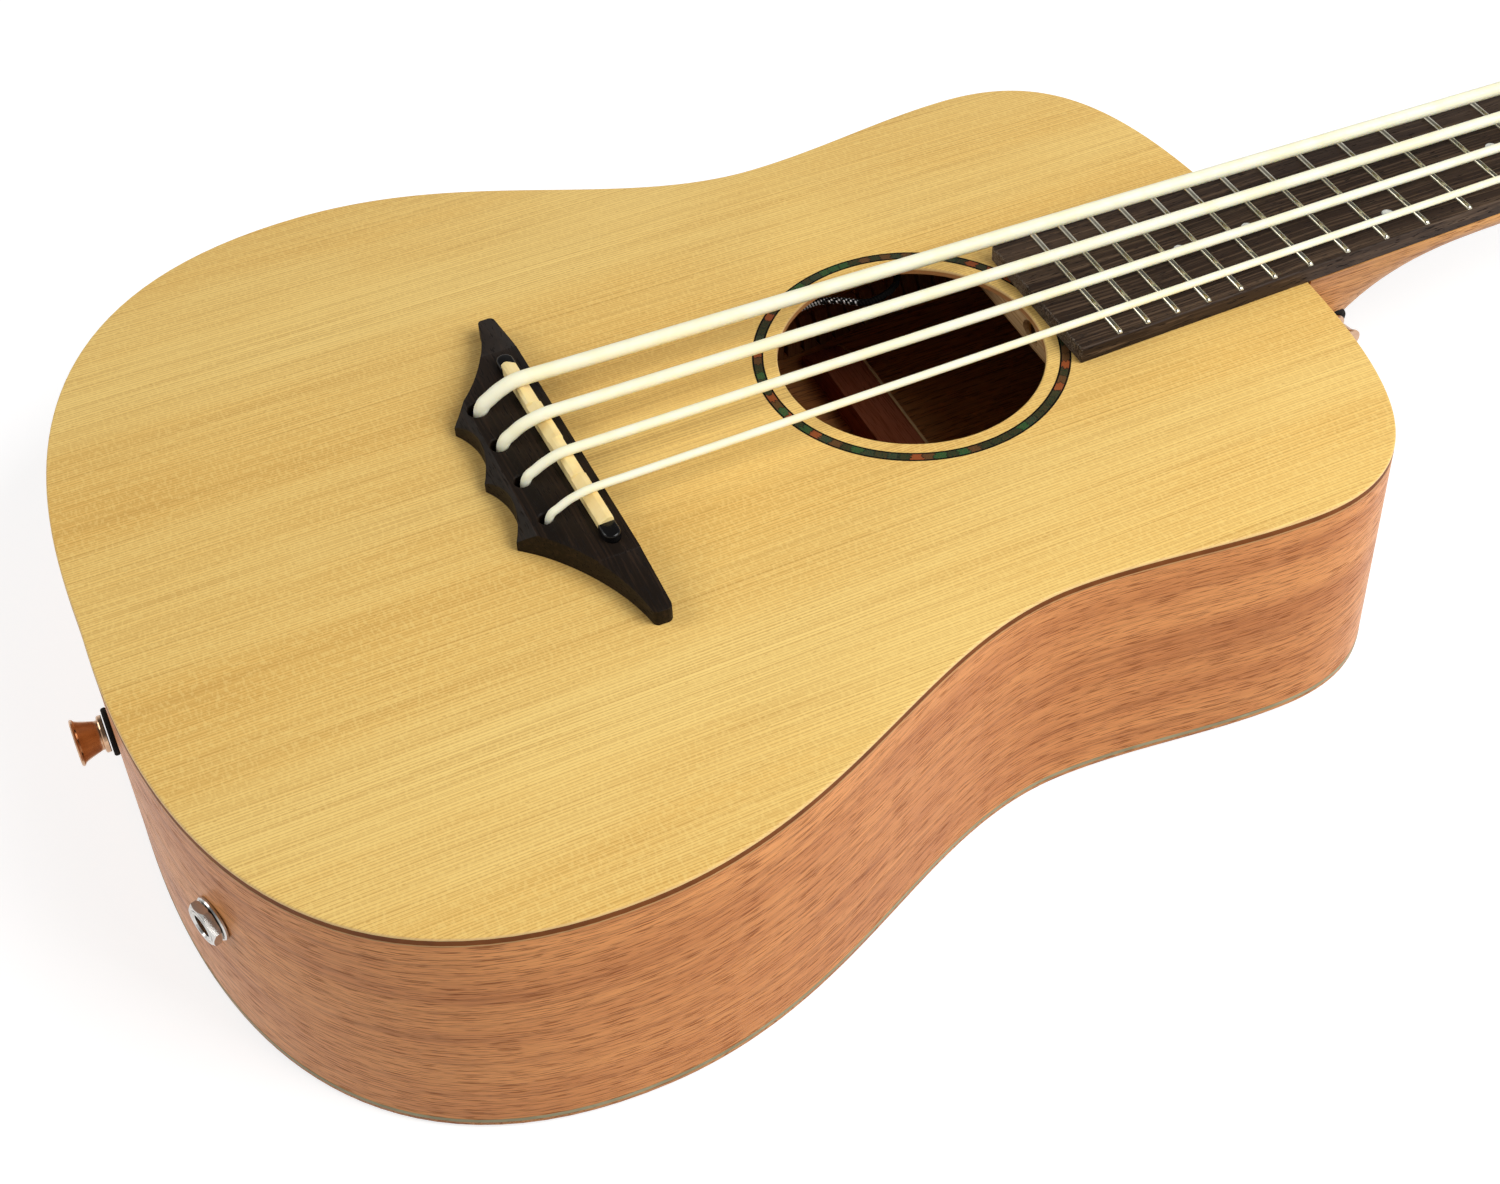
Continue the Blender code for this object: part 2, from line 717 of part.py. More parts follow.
def make_linings():
    """Four kerfed linings that glue the plates to the ribs."""
    start, end = rim_span(TAIL_BLOCK_WIDTH / 2 + 2 * FIT, NECK_BLOCK_WIDTH / 2 + 2 * FIT)
    glued = kerfed_ring(start, end, LINING_WIDTH, KERF_WEB)
    free = kerfed_ring(start, end, LINING_FOOT, KERF_WEB)
    for plate, plate_z, free_z in (
        ("top", INNER_HIGH_Z, INNER_HIGH_Z - LINING_HEIGHT),
        ("back", INNER_LOW_Z, INNER_LOW_Z + LINING_HEIGHT),
    ):
        for side in ("bass", "treble"):
            name = f"lining_{plate}_{side}"
            rings = [
                [(x, y, z) for x, y in mirrored(ring, side_of(name))]
                for ring, z in ((glued, plate_z), (free, free_z))
            ]
            place(name, loft_mesh(name, rings), "inner_spruce")


# Blocks and braces
def make_neck_block(cutters):
    """Block that holds the neck's tenon and the truss-rod nut."""
    outline = block_outline(BLOCK_FACE_X, NECK_BLOCK_WIDTH / 2, heel=True)
    mesh = prism_mesh("neck_block", [outline], INNER_LOW_Z, INNER_HIGH_Z)
    block = place("neck_block", mesh, "inner_spruce")
    cut(block, *cutters)


def block_outline(face_x, half_width, heel):
    """Return the outline of an end block between the rim and a flat inner face."""
    inset = SIDE_THICKNESS + FIT
    start, end = rim_span(half_width, half_width)
    length = rim_samples()[0][-1]
    stations = rim_stations(end, length) if heel else rim_stations(0, start)
    rim = rim_points(stations, inset)
    rim = rim[rim[:, 1] <= half_width + 1e-6]
    if heel:
        half = np.vstack([[(face_x, half_width)], rim])
        half[-1, 1] = 0
    else:
        half = np.vstack([rim, [(face_x, half_width)]])
        half[0, 1] = 0
        half = half[::-1]
    return np.vstack([half, half[:-1][::-1] * (1, -1)])


def make_tail_block(cutters):
    """Block behind the tail's strap button."""
    outline = block_outline(TAIL_X + SIDE_THICKNESS + TAIL_BLOCK_LENGTH, TAIL_BLOCK_WIDTH / 2, heel=False)
    mesh = prism_mesh("tail_block", [outline], INNER_LOW_Z, INNER_HIGH_Z)
    block = place("tail_block", mesh, "inner_spruce")
    cut(block, *cutters)


def brace_mesh(name, reach_low, reach_high, height):
    """Return a bar along X, flat above at Z 0, rounded below and tapered to its ends."""
    rings = []
    stations = (
        (-reach_low, BRACE_END_HEIGHT),
        (-reach_low + BRACE_TAPER, height),
        (reach_high - BRACE_TAPER, height),
        (reach_high, BRACE_END_HEIGHT),
    )
    half = BRACE_WIDTH / 2
    crest = BRACE_CREST / 2
    for x, depth in stations:
        shoulder = depth * BRACE_SHOULDER_SHARE
        rings.append([
            (x, -half, 0),
            (x, half, 0),
            (x, half, -shoulder),
            (x, crest, -depth),
            (x, -crest, -depth),
            (x, -half, -shoulder),
        ])
    return loft_mesh(name, rings)


def make_top_braces(rod_cutter):
    """Upper brace, X-brace and tone bar glued under the soundboard."""
    across = Matrix.Rotation(math.pi / 2, 4, "Z")
    for name, x, height in (
        ("upper_brace", UPPER_BRACE_X, UPPER_BRACE_HEIGHT),
        ("tone_bar", TONE_BAR_X, BRACE_HEIGHT),
    ):
        reach = outline_y(x, BRACE_INSET)
        mesh = brace_mesh(name, reach, reach, height)
        brace = place(name, mesh, "inner_spruce", matrix=Matrix.Translation((x, 0, INNER_HIGH_Z)) @ across)
        if name == "upper_brace":
            cut(brace, rod_cutter)
    arms = []
    for sign, look in ((1, "inner_spruce"), (-1, None)):
        mesh = brace_mesh("x_brace", X_BRACE_REACH_TAIL, X_BRACE_REACH_HEAD, BRACE_HEIGHT)
        turn = Matrix.Rotation(math.radians(sign * X_BRACE_ANGLE), 4, "Z")
        name = "x_brace" if look else "x_brace_arm"
        arms.append(place(name, mesh, look, matrix=Matrix.Translation((X_BRACE_X, 0, INNER_HIGH_Z)) @ turn))
    join(*arms)


def make_back_braces():
    """Strip along the back's middle and three braces notched over it."""
    low = (TAIL_X + SIDE_THICKNESS + TAIL_BLOCK_LENGTH + 2 * FIT, -CENTRE_STRIP_WIDTH / 2, INNER_LOW_Z)
    high = (
        BLOCK_FACE_X - FIT,
        CENTRE_STRIP_WIDTH / 2,
        INNER_LOW_Z + CENTRE_STRIP_THICKNESS,
    )
    place("back_centre_strip", box_mesh("back_centre_strip", low, high), "mahogany")
    room = [a - FIT if index else a for index, a in enumerate(low)]
    room_high = [high[0], high[1] + FIT, high[2] + FIT]
    notch = place("strip_notch", box_mesh("strip_notch", room, room_high))
    for index, x in enumerate(BACK_BRACE_XS):
        name = f"back_brace_{index + 1}"
        reach = outline_y(x, BRACE_INSET)
        mesh = brace_mesh(name, reach, reach, BRACE_HEIGHT)
        turn = Matrix.Rotation(math.pi, 4, "X") @ Matrix.Rotation(math.pi / 2, 4, "Z")
        brace = place(name, mesh, "mahogany", matrix=Matrix.Translation((x, 0, INNER_LOW_Z)) @ turn)
        cut(brace, notch)


# Bridge, saddle and pickup
SADDLE_TURN = Matrix.Rotation(math.radians(SADDLE_SLANT), 4, "Z")
SADDLE_MATRIX = Matrix.Translation((SADDLE_X, 0, 0)) @ SADDLE_TURN
SLOT_LOW_Z = BRIDGE_Z - SADDLE_SLOT_DEPTH
SLOT_HALF = SADDLE_LENGTH / 2 + FIT + SADDLE_END_LENGTH + FIT
SADDLE_CROWN_Z = TOP_Z + SADDLE_CROWN


def bridge_outline():
    """Return the bat-wing outline: straight front, concave wings and three cusps behind."""
    front = [(BRIDGE_FRONT_X, 0), (BRIDGE_FRONT_X, BRIDGE_SHOULDER_Y)]
    corner_y = BRIDGE_TIP_Y - BRIDGE_TIP_CORNER
    tip = [(BRIDGE_TIP_FRONT_X, corner_y), (BRIDGE_TIP_FRONT_X - BRIDGE_TIP_CORNER, BRIDGE_TIP_Y)]
    wing_start = np.array((BRIDGE_TIP_BACK_X, corner_y))
    cusp = np.array((BRIDGE_CUSP_X, BRIDGE_CUSP_Y))
    wing = bezier(wing_start, wing_start + WING_LEAVES_TIP, cusp + WING_MEETS_CUSP, cusp, 9)
    chord = BRIDGE_CUSP_Y / 2
    radius = (chord**2 + SCALLOP_DEPTH**2) / (2 * SCALLOP_DEPTH)
    spread = math.asin(chord / radius)
    centre_x = BRIDGE_CUSP_X - (radius - SCALLOP_DEPTH)
    scallop = [
        (centre_x + radius * math.cos(angle), chord + radius * math.sin(angle))
        for angle in np.linspace(spread, -spread, 8)
    ]
    half = np.vstack([front, tip, wing, scallop])
    return np.vstack([half, half[1:-1][::-1] * (1, -1)])


def make_string_cutter():
    """Return one cutter for the four holes through bridge, soundboard and bridge plate."""
    bm = bmesh.new()
    for index, radius in enumerate(STRING_RADII):
        x, y = string_hole(index)
        low = TOP_Z - STRING_HOLE_REACH
        hole = cylinder_mesh("hole", radius + STRING_HOLE_CLEARANCE, low, BRIDGE_Z + OVERCUT, 10)
        hole.transform(Matrix.Translation((x, y, 0)))
        bm.from_mesh(hole)
        bpy.data.meshes.remove(hole)
    return place("string_holes", mesh_of(bm, "string_holes"))


def string_share(index):
    """Return a string's place across the spread, from 0.5 on the bass side to -0.5."""
    return 0.5 - index / (len(STRING_NAMES) - 1)


def string_hole(index):
    """Return the middle of a string's hole in the bridge."""
    y = string_share(index) * SPREAD_AT_SADDLE
    return STRING_HOLE_X - y * math.tan(math.radians(STRING_HOLE_SLANT)), y


def wing_cutter(sign):
    """Return the wedge that lowers a wing of the bridge from its step to its tip."""
    reach = BRIDGE_TIP_Y + OVERCUT
    fall = (BRIDGE_HEIGHT - WING_STEP - BRIDGE_TIP_HEIGHT) / (BRIDGE_TIP_Y - BRIDGE_SHOULDER_Y)
    low = BRIDGE_Z - WING_STEP - fall * (reach - BRIDGE_SHOULDER_Y)
    profile = [
        (BRIDGE_SHOULDER_Y, BRIDGE_Z + OVERCUT),
        (BRIDGE_SHOULDER_Y, BRIDGE_Z - WING_STEP),
        (reach, low),
        (reach, BRIDGE_Z + OVERCUT),
    ]
    ends = (BRIDGE_CUSP_X - OVERCUT, BRIDGE_FRONT_X + OVERCUT)
    rings = [[(x, sign * y, z) for y, z in profile] for x in ends]
    return place(f"wing_cutter_{sign}", loft_mesh("wing_cutter", rings))


def bevel_cutter():
    """Return the wedge that slopes the bridge's back down to its cusps."""
    slope = (BRIDGE_Z - TOP_Z - BEVEL_LOW_Z) / (BEVEL_TOP_X - BRIDGE_CUSP_X)
    reach = BRIDGE_CUSP_X - OVERCUT
    profile = [
        (BEVEL_TOP_X + OVERCUT / slope, BRIDGE_Z + OVERCUT),
        (reach, BRIDGE_Z + OVERCUT),
        (reach, TOP_Z + BEVEL_LOW_Z + slope * (reach - BRIDGE_CUSP_X)),
    ]
    half = (BRIDGE_CUSP_Y + BRIDGE_SHOULDER_Y) / 2
    rings = [[(x, y, z) for x, z in profile] for y in (-half, half)]
    return place("bevel_cutter", loft_mesh("bevel_cutter", rings))


def slot_outline(half_length, half_width):
    """Return a slot's outline with round ends along Y."""
    straight = half_length - half_width
    angles = np.linspace(0, math.pi, 9)
    arc = np.stack([half_width * np.cos(angles), straight + half_width * np.sin(angles)], axis=1)
    return np.vstack([arc, -arc])


def make_bridge(string_cutter):
    """Rosewood bridge with its slot, holes, sloped back and lowered wings."""
    bridge = place("bridge", prism_mesh("bridge", [bridge_outline()], BRIDGE_LOW_Z, BRIDGE_Z), "rosewood")
    slot = prism_mesh(
        "saddle_slot",
        [slot_outline(SLOT_HALF, SADDLE_THICKNESS / 2 + FIT)],
        SLOT_LOW_Z,
        BRIDGE_Z + OVERCUT,
    )
    low = TOP_Z - STRING_HOLE_REACH
    lead_hole = cylinder_mesh("lead_hole", LEAD_RADIUS + FIT, low, SLOT_LOW_Z + OVERCUT, 10)
    lead_hole.transform(Matrix.Translation((0, lead_y(), 0)))
    slot_cutter = place("saddle_slot", slot, matrix=SADDLE_MATRIX)
    lead_cutter = place("lead_hole", lead_hole, matrix=SADDLE_MATRIX)
    cut(bridge, slot_cutter, string_cutter, lead_cutter, bevel_cutter(), wing_cutter(1), wing_cutter(-1))
    return lead_cutter


def lead_y():
    """Return where the pickup's lead leaves the slot, near its treble end."""
    return -SADDLE_LENGTH / 2 + 2 * LEAD_RADIUS


def make_saddle():
    """Saddle whose crown steps back and forth to set each string's length."""
    low = SLOT_LOW_Z + PICKUP_THICKNESS + 2 * FIT
    half = SADDLE_THICKNESS / 2
    spacing = SPREAD_AT_SADDLE / (len(STRING_NAMES) - 1)
    edges = [SADDLE_LENGTH / 2, spacing, 0, -spacing, -SADDLE_LENGTH / 2]
    rings = []
    for index, offset in enumerate(BREAK_OFFSETS):
        for y in (edges[index], edges[index + 1] + 0.00005):
            rings.append([
                (-half, y, low),
                (-half, y, SADDLE_CROWN_Z - SADDLE_SHOULDER * (half + offset) / half),
                (offset - SADDLE_CREST_HALF, y, SADDLE_CROWN_Z),
                (offset + SADDLE_CREST_HALF, y, SADDLE_CROWN_Z),
                (half, y, SADDLE_CROWN_Z - SADDLE_SHOULDER * (half - offset) / half),
                (half, y, low),
            ])
    place("saddle", loft_mesh("saddle", rings), "bone", matrix=SADDLE_MATRIX)


def make_saddle_ends():
    """Two rounded black pieces that fill the slot past the saddle."""
    half = SADDLE_THICKNESS / 2
    inner = SADDLE_LENGTH / 2 + FIT
    angles = np.linspace(0, math.pi, 9)
    straight = inner + SADDLE_END_LENGTH - half
    arc = [(half * math.cos(angle), straight + half * math.sin(angle)) for angle in angles]
    outline = np.array([(half, inner), *arc, (-half, inner)])
    high = BRIDGE_Z + SADDLE_END_RISE
    for name in ("saddle_end_bass", "saddle_end_treble"):
        mesh = prism_mesh(name, [mirrored(outline, side_of(name))], SLOT_LOW_Z + FIT, high)
        place(name, mesh, "black_plastic", matrix=SADDLE_MATRIX)


def make_pickup():
    """Pickup strip that lies in the slot under the saddle."""
    half = SADDLE_LENGTH / 2 - FIT
    low = (-PICKUP_WIDTH / 2, -half, SLOT_LOW_Z + FIT)
    high = (PICKUP_WIDTH / 2, half, SLOT_LOW_Z + FIT + PICKUP_THICKNESS)
    place("pickup_strip", box_mesh("pickup_strip", low, high), "brass", matrix=SADDLE_MATRIX)


def make_bridge_plate(cutters):
    """Hardwood plate under the soundboard where the strings' beads pull."""
    reach = BRIDGE_PLATE_LENGTH / 2
    half = BRIDGE_PLATE_WIDTH / 2
    low = (STRING_HOLE_X - reach, -half, INNER_HIGH_Z - BRIDGE_PLATE_THICKNESS)
    high = (STRING_HOLE_X + reach, half, INNER_HIGH_Z)
    plate = place("bridge_plate", box_mesh("bridge_plate", low, high), "mahogany")
    cut(plate, *cutters)


# Output jack and lead
def rim_place(y):
    """Return a point on the tail half of the rim and the direction that faces out of it."""
    along = rim_span(abs(y), abs(y))[0]
    point = rim_points([along], 0)[0]
    out = point - rim_points([along], 1.0)[0]
    sign = 1 if y > 0 else -1
    return Vector((point[0], sign * point[1], 0)), Vector((out[0], sign * out[1], 0)).normalized()


def jack_matrix():
    """Return the jack's frame: Z points out of the rim and is 0 on the rim's outer face."""
    point, out = rim_place(JACK_Y)
    return facing(out, (point.x, point.y, JACK_Z))


def make_jack(matrix):
    """Threaded jack through the treble rim, with its washer and hexagon nut outside."""
    inside = -SIDE_THICKNESS - 2 * FIT
    profile = [
        (0, JACK_OUT),
        (JACK_THREAD_RADIUS, JACK_OUT),
        (JACK_THREAD_RADIUS, inside),
        (JACK_BODY_RADIUS, inside),
        (JACK_BODY_RADIUS, inside - JACK_BODY_LENGTH),
        (0, inside - JACK_BODY_LENGTH),
    ]
    body = turned("output_jack", profile, "chrome", matrix, steps=20)
    bore = cylinder_mesh("jack_bore", JACK_BORE_RADIUS, -JACK_BORE_DEPTH, JACK_OUT + OVERCUT, 20)
    cut(body, place("jack_bore", bore, matrix=matrix))
    ring = ring_profile(WASHER_RADIUS, JACK_THREAD_RADIUS + FIT, FIT + WASHER_THICKNESS, FIT)
    turned("jack_washer", ring, "chrome", matrix, steps=24, closed=True)
    nut_low = 2 * FIT + WASHER_THICKNESS
    nut_high = nut_low + HEX_THICKNESS
    corner = HEX_ACROSS_FLATS / math.sqrt(3)
    nut = place("jack_nut", cylinder_mesh("jack_nut", corner, nut_low, nut_high, 6), "chrome", matrix=matrix)
    hole = cylinder_mesh("jack_nut_hole", JACK_THREAD_RADIUS + FIT, nut_low - OVERCUT, nut_high + OVERCUT, 20)
    cut(nut, place("jack_nut_hole", hole, matrix=matrix))


def make_jack_wall_cutter(matrix):
    """Return the cutter that lets the jack's thread through the rim."""
    low = -SIDE_THICKNESS - 2 * OVERCUT
    mesh = cylinder_mesh("jack_wall_hole", JACK_THREAD_RADIUS + FIT, low, 2 * OVERCUT, 20)
    return place("jack_wall_hole", mesh, matrix=matrix)


def smooth_route(points, step):
    """Return points along a smooth curve through the route's own points."""
    points = [Vector(point) for point in points]
    ends = [points[0] * 2 - points[1], *points, points[-1] * 2 - points[-2]]
    route = []
    for before, start, end, after in zip(ends, ends[1:], ends[2:], ends[3:]):
        count = max(1, round((end - start).length / step))
        for index in range(count):
            t = index / count
            route.append(
                0.5 * (2 * start + (end - before) * t + (2 * before - 5 * start + 4 * end - after) * t**2
                       + (3 * start - before - 3 * end + after) * t**3)
            )
    route.append(points[-1])
    return route


def make_lead(matrix):
    """Braided lead from the pickup strip, under the soundboard, to the jack's tail."""
    slot = SADDLE_MATRIX @ Vector((0, lead_y(), SLOT_LOW_Z - FIT))
    tail = matrix @ Vector((0, 0, -SIDE_THICKNESS - 3 * FIT - JACK_BODY_LENGTH))
    before_tail = matrix @ Vector((0, 0, -SIDE_THICKNESS - 3 * FIT - JACK_BODY_LENGTH - LEAD_STRAIGHT))
    plate_low = INNER_HIGH_Z - BRIDGE_PLATE_THICKNESS
    route = [
        tuple(slot),
        (slot.x, slot.y, plate_low),
        (slot.x, slot.y, plate_low - LEAD_DROP),
        (slot.x + 0.8 * LEAD_DROP, slot.y - 1.2 * LEAD_DROP, plate_low - 4 * LEAD_DROP),
        *LEAD_MIDDLE,
        tuple(before_tail),
        tuple(tail),
    ]
    tube = tube_mesh("pickup_lead", smooth_route(route, LEAD_STEP), LEAD_RADIUS)
    place("pickup_lead", tube, "braid", smooth=True)


# Neck, truss rod and fingerboard
ROD_HIGH_Z = TOP_UNDER_Z - ROD_COVER
ROD_LOW_Z = ROD_HIGH_Z - ROD_HEIGHT
ROD_Z = (ROD_HIGH_Z + ROD_LOW_Z) / 2
NECK_START_X = HEEL_X + FIT
TENON_HIGH_Z = STRIP_LOW_Z - 2 * FIT


def board_half(x):
    """Return the fingerboard's half width at a station."""
    share = (x - BOARD_END_X) / (NUT_X - BOARD_END_X)
    return BOARD_END_HALF + (NUT_HALF - BOARD_END_HALF) * share


def neck_rings():
    """Return the sections from the heel's foot to the nut."""
    rings = []
    heel_end = NECK_START_X + HEEL_LENGTH
    for share in HEEL_SHARES:
        depth = heel_depth(share)
        blend = (depth - NECK_DEPTH_AT_HEEL) / (HEEL_FOOT - NECK_DEPTH_AT_HEEL)
        rings.append(heel_ring(NECK_START_X + HEEL_LENGTH * share, depth, blend))
    for share in NECK_SHARES:
        x = heel_end + (NUT_X + NUT_THICKNESS - heel_end) * share
        depth = NECK_DEPTH_AT_HEEL + (NECK_DEPTH_AT_NUT - NECK_DEPTH_AT_HEEL) * share
        rings.append(heel_ring(x, depth, 0.0))
    return rings


def heel_depth(share):
    """Return how deep the heel hangs at a share of its length."""
    return NECK_DEPTH_AT_HEEL + (HEEL_FOOT - NECK_DEPTH_AT_HEEL) * (1 - share) ** HEEL_FALL


def heel_ring(x, depth, blend):
    """Return a section that goes from the neck's round back to the heel's narrowing wedge."""
    half = board_half(x)
    ring = []
    for angle in np.linspace(0, math.pi, 13):
        side = math.cos(angle)
        down = math.sin(angle)
        round_y = half * math.copysign(abs(side) ** NECK_ROUND_Y, side)
        round_z = -depth * down**NECK_ROUND_Z
        fall = min(1.0, down / math.cos(math.radians(HEEL_KEEL_HALF_ANGLE)))
        width = half + (HEEL_HALF_LOW - half) * fall**HEEL_SIDE_CURVE
        wedge_y = width * max(-1.0, min(1.0, side / math.sin(math.radians(HEEL_KEEL_HALF_ANGLE))))
        y = round_y + (wedge_y - round_y) * blend
        z = round_z + (-depth * fall - round_z) * blend
        ring.append((x, y, TOP_Z + z))
    return ring


def head_outline():
    """Return the headstock's outline in its own plane, from the nut outward."""
    start = np.array((0, NUT_HALF))
    shoulder = np.array((HEAD_SHOULDER_U, HEAD_SHOULDER_HALF))
    flare = bezier(start, start + (HEAD_FLARE, 0), shoulder - (HEAD_FLARE, 0), shoulder, 7)
    corner_start = np.array((HEAD_LENGTH - HEAD_CROWN - HEAD_CORNER, HEAD_TIP_HALF))
    corner_end = np.array((HEAD_LENGTH - HEAD_CROWN * 0.6, HEAD_TIP_HALF - HEAD_CORNER))
    lean = corner_end + (-HEAD_CROWN / 5, HEAD_CORNER / 2)
    corner = bezier(corner_start, corner_start + (HEAD_CORNER * 0.6, 0), lean, corner_end, 6)
    half = np.vstack([flare, [shoulder], corner, [corner_end], [(HEAD_LENGTH, 0)]])
    return np.vstack([half, half[:-1][::-1] * (1, -1)])


def make_neck(cutters):
    """Mahogany neck: heel and shaft, the tenon in the neck block and the tilted headstock."""
    neck = place("neck", loft_mesh("neck", neck_rings()), "mahogany")
    tenon_low = (NECK_START_X - TENON_LENGTH, -TENON_WIDTH / 2, TENON_HIGH_Z - TENON_HEIGHT)
    tenon_high = (NECK_START_X + TENON_ROOT, TENON_WIDTH / 2, TENON_HIGH_Z)
    tenon = place("tenon", box_mesh("tenon", tenon_low, tenon_high))
    head = prism_mesh("head", [head_outline()], -HEAD_THICKNESS, 0)
    head_item = place("head", head, matrix=HEAD_MATRIX)
    join(neck, tenon, head_item)
    cut(neck, *cutters)


def make_mortise():
    """Return the cutter of the tenon's socket in the neck block and between the ribs."""
    low = (NECK_START_X - TENON_LENGTH - FIT, -TENON_WIDTH / 2 - FIT, TENON_HIGH_Z - TENON_HEIGHT - FIT)
    high = (NECK_START_X + TENON_ROOT, TENON_WIDTH / 2 + FIT, TENON_HIGH_Z + FIT)
    return place("mortise", box_mesh("mortise", low, high))


def make_truss_rod():
    """Truss rod in its channel, reached through the sound hole at its hexagon-socket nut."""
    nut_start = BLOCK_FACE_X - ROD_NUT_OUT
    rod_start = nut_start + ROD_NUT_LENGTH + FIT
    rod_end = NUT_X - ROD_END_GAP
    low = (rod_start, -ROD_WIDTH / 2, ROD_LOW_Z)
    high = (rod_end, ROD_WIDTH / 2, ROD_HIGH_Z)
    place("truss_rod", box_mesh("truss_rod", low, high), "steel")
    turn = Matrix.Rotation(math.pi / 2, 4, "Y")
    axis = new_empty("truss_rod_nut_axis", Matrix.Translation((nut_start, 0, ROD_Z)) @ turn, FRAME)
    nut_mesh = cylinder_mesh("truss_rod_nut", ROD_NUT_RADIUS, 0, ROD_NUT_LENGTH, 20)
    nut = place("truss_rod_nut", nut_mesh, "brass", parent=axis)
    socket = cylinder_mesh("truss_socket", ROD_KEY_RADIUS, -OVERCUT, ROD_KEY_DEPTH, 6)
    cut(nut, place("truss_socket", socket, parent=axis))


def make_rod_cutters():
    """Return the cutters of the rod's channel and of the nut's bore."""
    nut_end = ROD_NUT_LENGTH - ROD_NUT_OUT + FIT
    channel_low = (BLOCK_FACE_X + nut_end - OVERCUT, -ROD_WIDTH / 2 - FIT, ROD_LOW_Z - FIT)
    channel_high = (NUT_X - ROD_END_GAP + FIT, ROD_WIDTH / 2 + FIT, ROD_HIGH_Z + FIT)
    channel = place("rod_channel", box_mesh("rod_channel", channel_low, channel_high))
    bore_mesh = cylinder_mesh("rod_bore", ROD_NUT_RADIUS + FIT, -ROD_BORE_OUT, nut_end, 20)
    turn = Matrix.Translation((BLOCK_FACE_X, 0, ROD_Z)) @ Matrix.Rotation(math.pi / 2, 4, "Y")
    bore = place("rod_bore", bore_mesh, matrix=turn)
    return channel, bore


def fret_x(number):
    """Return a fret's distance from the saddle line."""
    return SCALE_LENGTH * 2 ** (-number / 12)


def frets_mesh():
    """Return the round crowns of all frets, sunk a little into the board."""
    bm = bmesh.new()
    for number in range(1, FRET_COUNT + 1):
        x = fret_x(number)
        half = board_half(x) - FRET_INSET
        rings = []
        for sign in (1, -1):
            ring = [(x + way * FRET_WIDTH / 2, sign * half, BOARD_Z - FRET_SINK) for way in (-1, 1)]
            for angle in FRET_ARC:
                wide = FRET_WIDTH / 2 * math.cos(math.radians(angle))
                high = FRET_HEIGHT * math.sin(math.radians(angle))
                ring.append((x + wide, sign * (half - high * FRET_END_LEAN), BOARD_Z + high))
            rings.append(ring)
        fret = loft_mesh("fret", rings)
        bm.from_mesh(fret)
        bpy.data.meshes.remove(fret)
    return mesh_of(bm, "frets")


def make_fingerboard():
    """Tapered rosewood board with its frets."""
    outline = [
        (BOARD_END_X, BOARD_END_HALF),
        (NUT_X - FIT, NUT_HALF),
        (NUT_X - FIT, -NUT_HALF),
        (BOARD_END_X, -BOARD_END_HALF),
    ]
    board = place("fingerboard", prism_mesh("fingerboard", [outline], BOARD_LOW_Z, BOARD_Z), "rosewood")
    join(board, place("frets", frets_mesh()))


def string_nut_point(index):
    """Return the string's centre where it leaves the nut."""
    height = BOARD_Z + FRET_HEIGHT + NUT_ACTION + STRING_RADII[index]
    return Vector((NUT_X, string_share(index) * SPREAD_AT_NUT, height))


def make_nut():
    """Nut with a slot for each string."""
    low = (NUT_X, -NUT_HALF, BOARD_LOW_Z)
    high = (NUT_X + NUT_THICKNESS, NUT_HALF, BOARD_Z + NUT_RISE)
    nut = place("nut", box_mesh("nut", low, high), "bone")
    bm = bmesh.new()
    for index, radius in enumerate(STRING_RADII):
        middle = string_nut_point(index)
        slot = cylinder_mesh("slot", radius + FIT, -2 * NUT_THICKNESS, 2 * NUT_THICKNESS, 12)
        slot.transform(Matrix.Translation(middle) @ Matrix.Rotation(math.pi / 2, 4, "Y"))
        bm.from_mesh(slot)
        bpy.data.meshes.remove(slot)
    cut(nut, place("nut_slots", mesh_of(bm, "nut_slots")))


def make_veneer(cutters):
    """Dark veneer on the headstock's face."""
    mesh = prism_mesh("headstock_veneer", [head_outline()], FIT, FIT + VENEER_THICKNESS)
    veneer = place("headstock_veneer", mesh, "rosewood", matrix=HEAD_MATRIX)
    cut(veneer, *cutters)


def make_heel_cap():
    """Thin cap under the heel."""
    half = [(NECK_START_X + HEEL_CAP_LENGTH * reach, HEEL_HALF_LOW * wide) for reach, wide in HEEL_CAP_SHAPE]
    outline = np.vstack([half, np.array(half[::-1]) * (1, -1)])
    place("heel_cap", prism_mesh("heel_cap", [outline], 0, HEEL_CAP_THICKNESS), "rosewood")


# Tuners
HEAD_BACK = -HEAD_THICKNESS
PLATE_HIGH = HEAD_BACK - FIT
PLATE_LOW = PLATE_HIGH - PLATE_THICKNESS
GEAR_HIGH = PLATE_LOW - GEAR_STANDOFF
GEAR_LOW = GEAR_HIGH - GEAR_THICKNESS
GEAR_MIDDLE = (GEAR_HIGH + GEAR_LOW) / 2
FLANGE_TOP = VENEER_FACE + FIT + BUSHING_RISE
EAR_OUT = EAR_SPREAD / 2 + EAR_THICKNESS / 2
PITCH_RADIUS = GEAR_TEETH * GEAR_MODULE / 2


def post_matrix(index):
    """Return a post's frame: Z along its axis, 0 on the headstock's wooden face."""
    return HEAD_MATRIX @ Matrix.Translation((POST_US[index], POST_VS[index], 0))


def outward(index):
    """Return the sign of Y that leads from a post to the headstock's edge."""
    return 1 if POST_VS[index] > 0 else -1


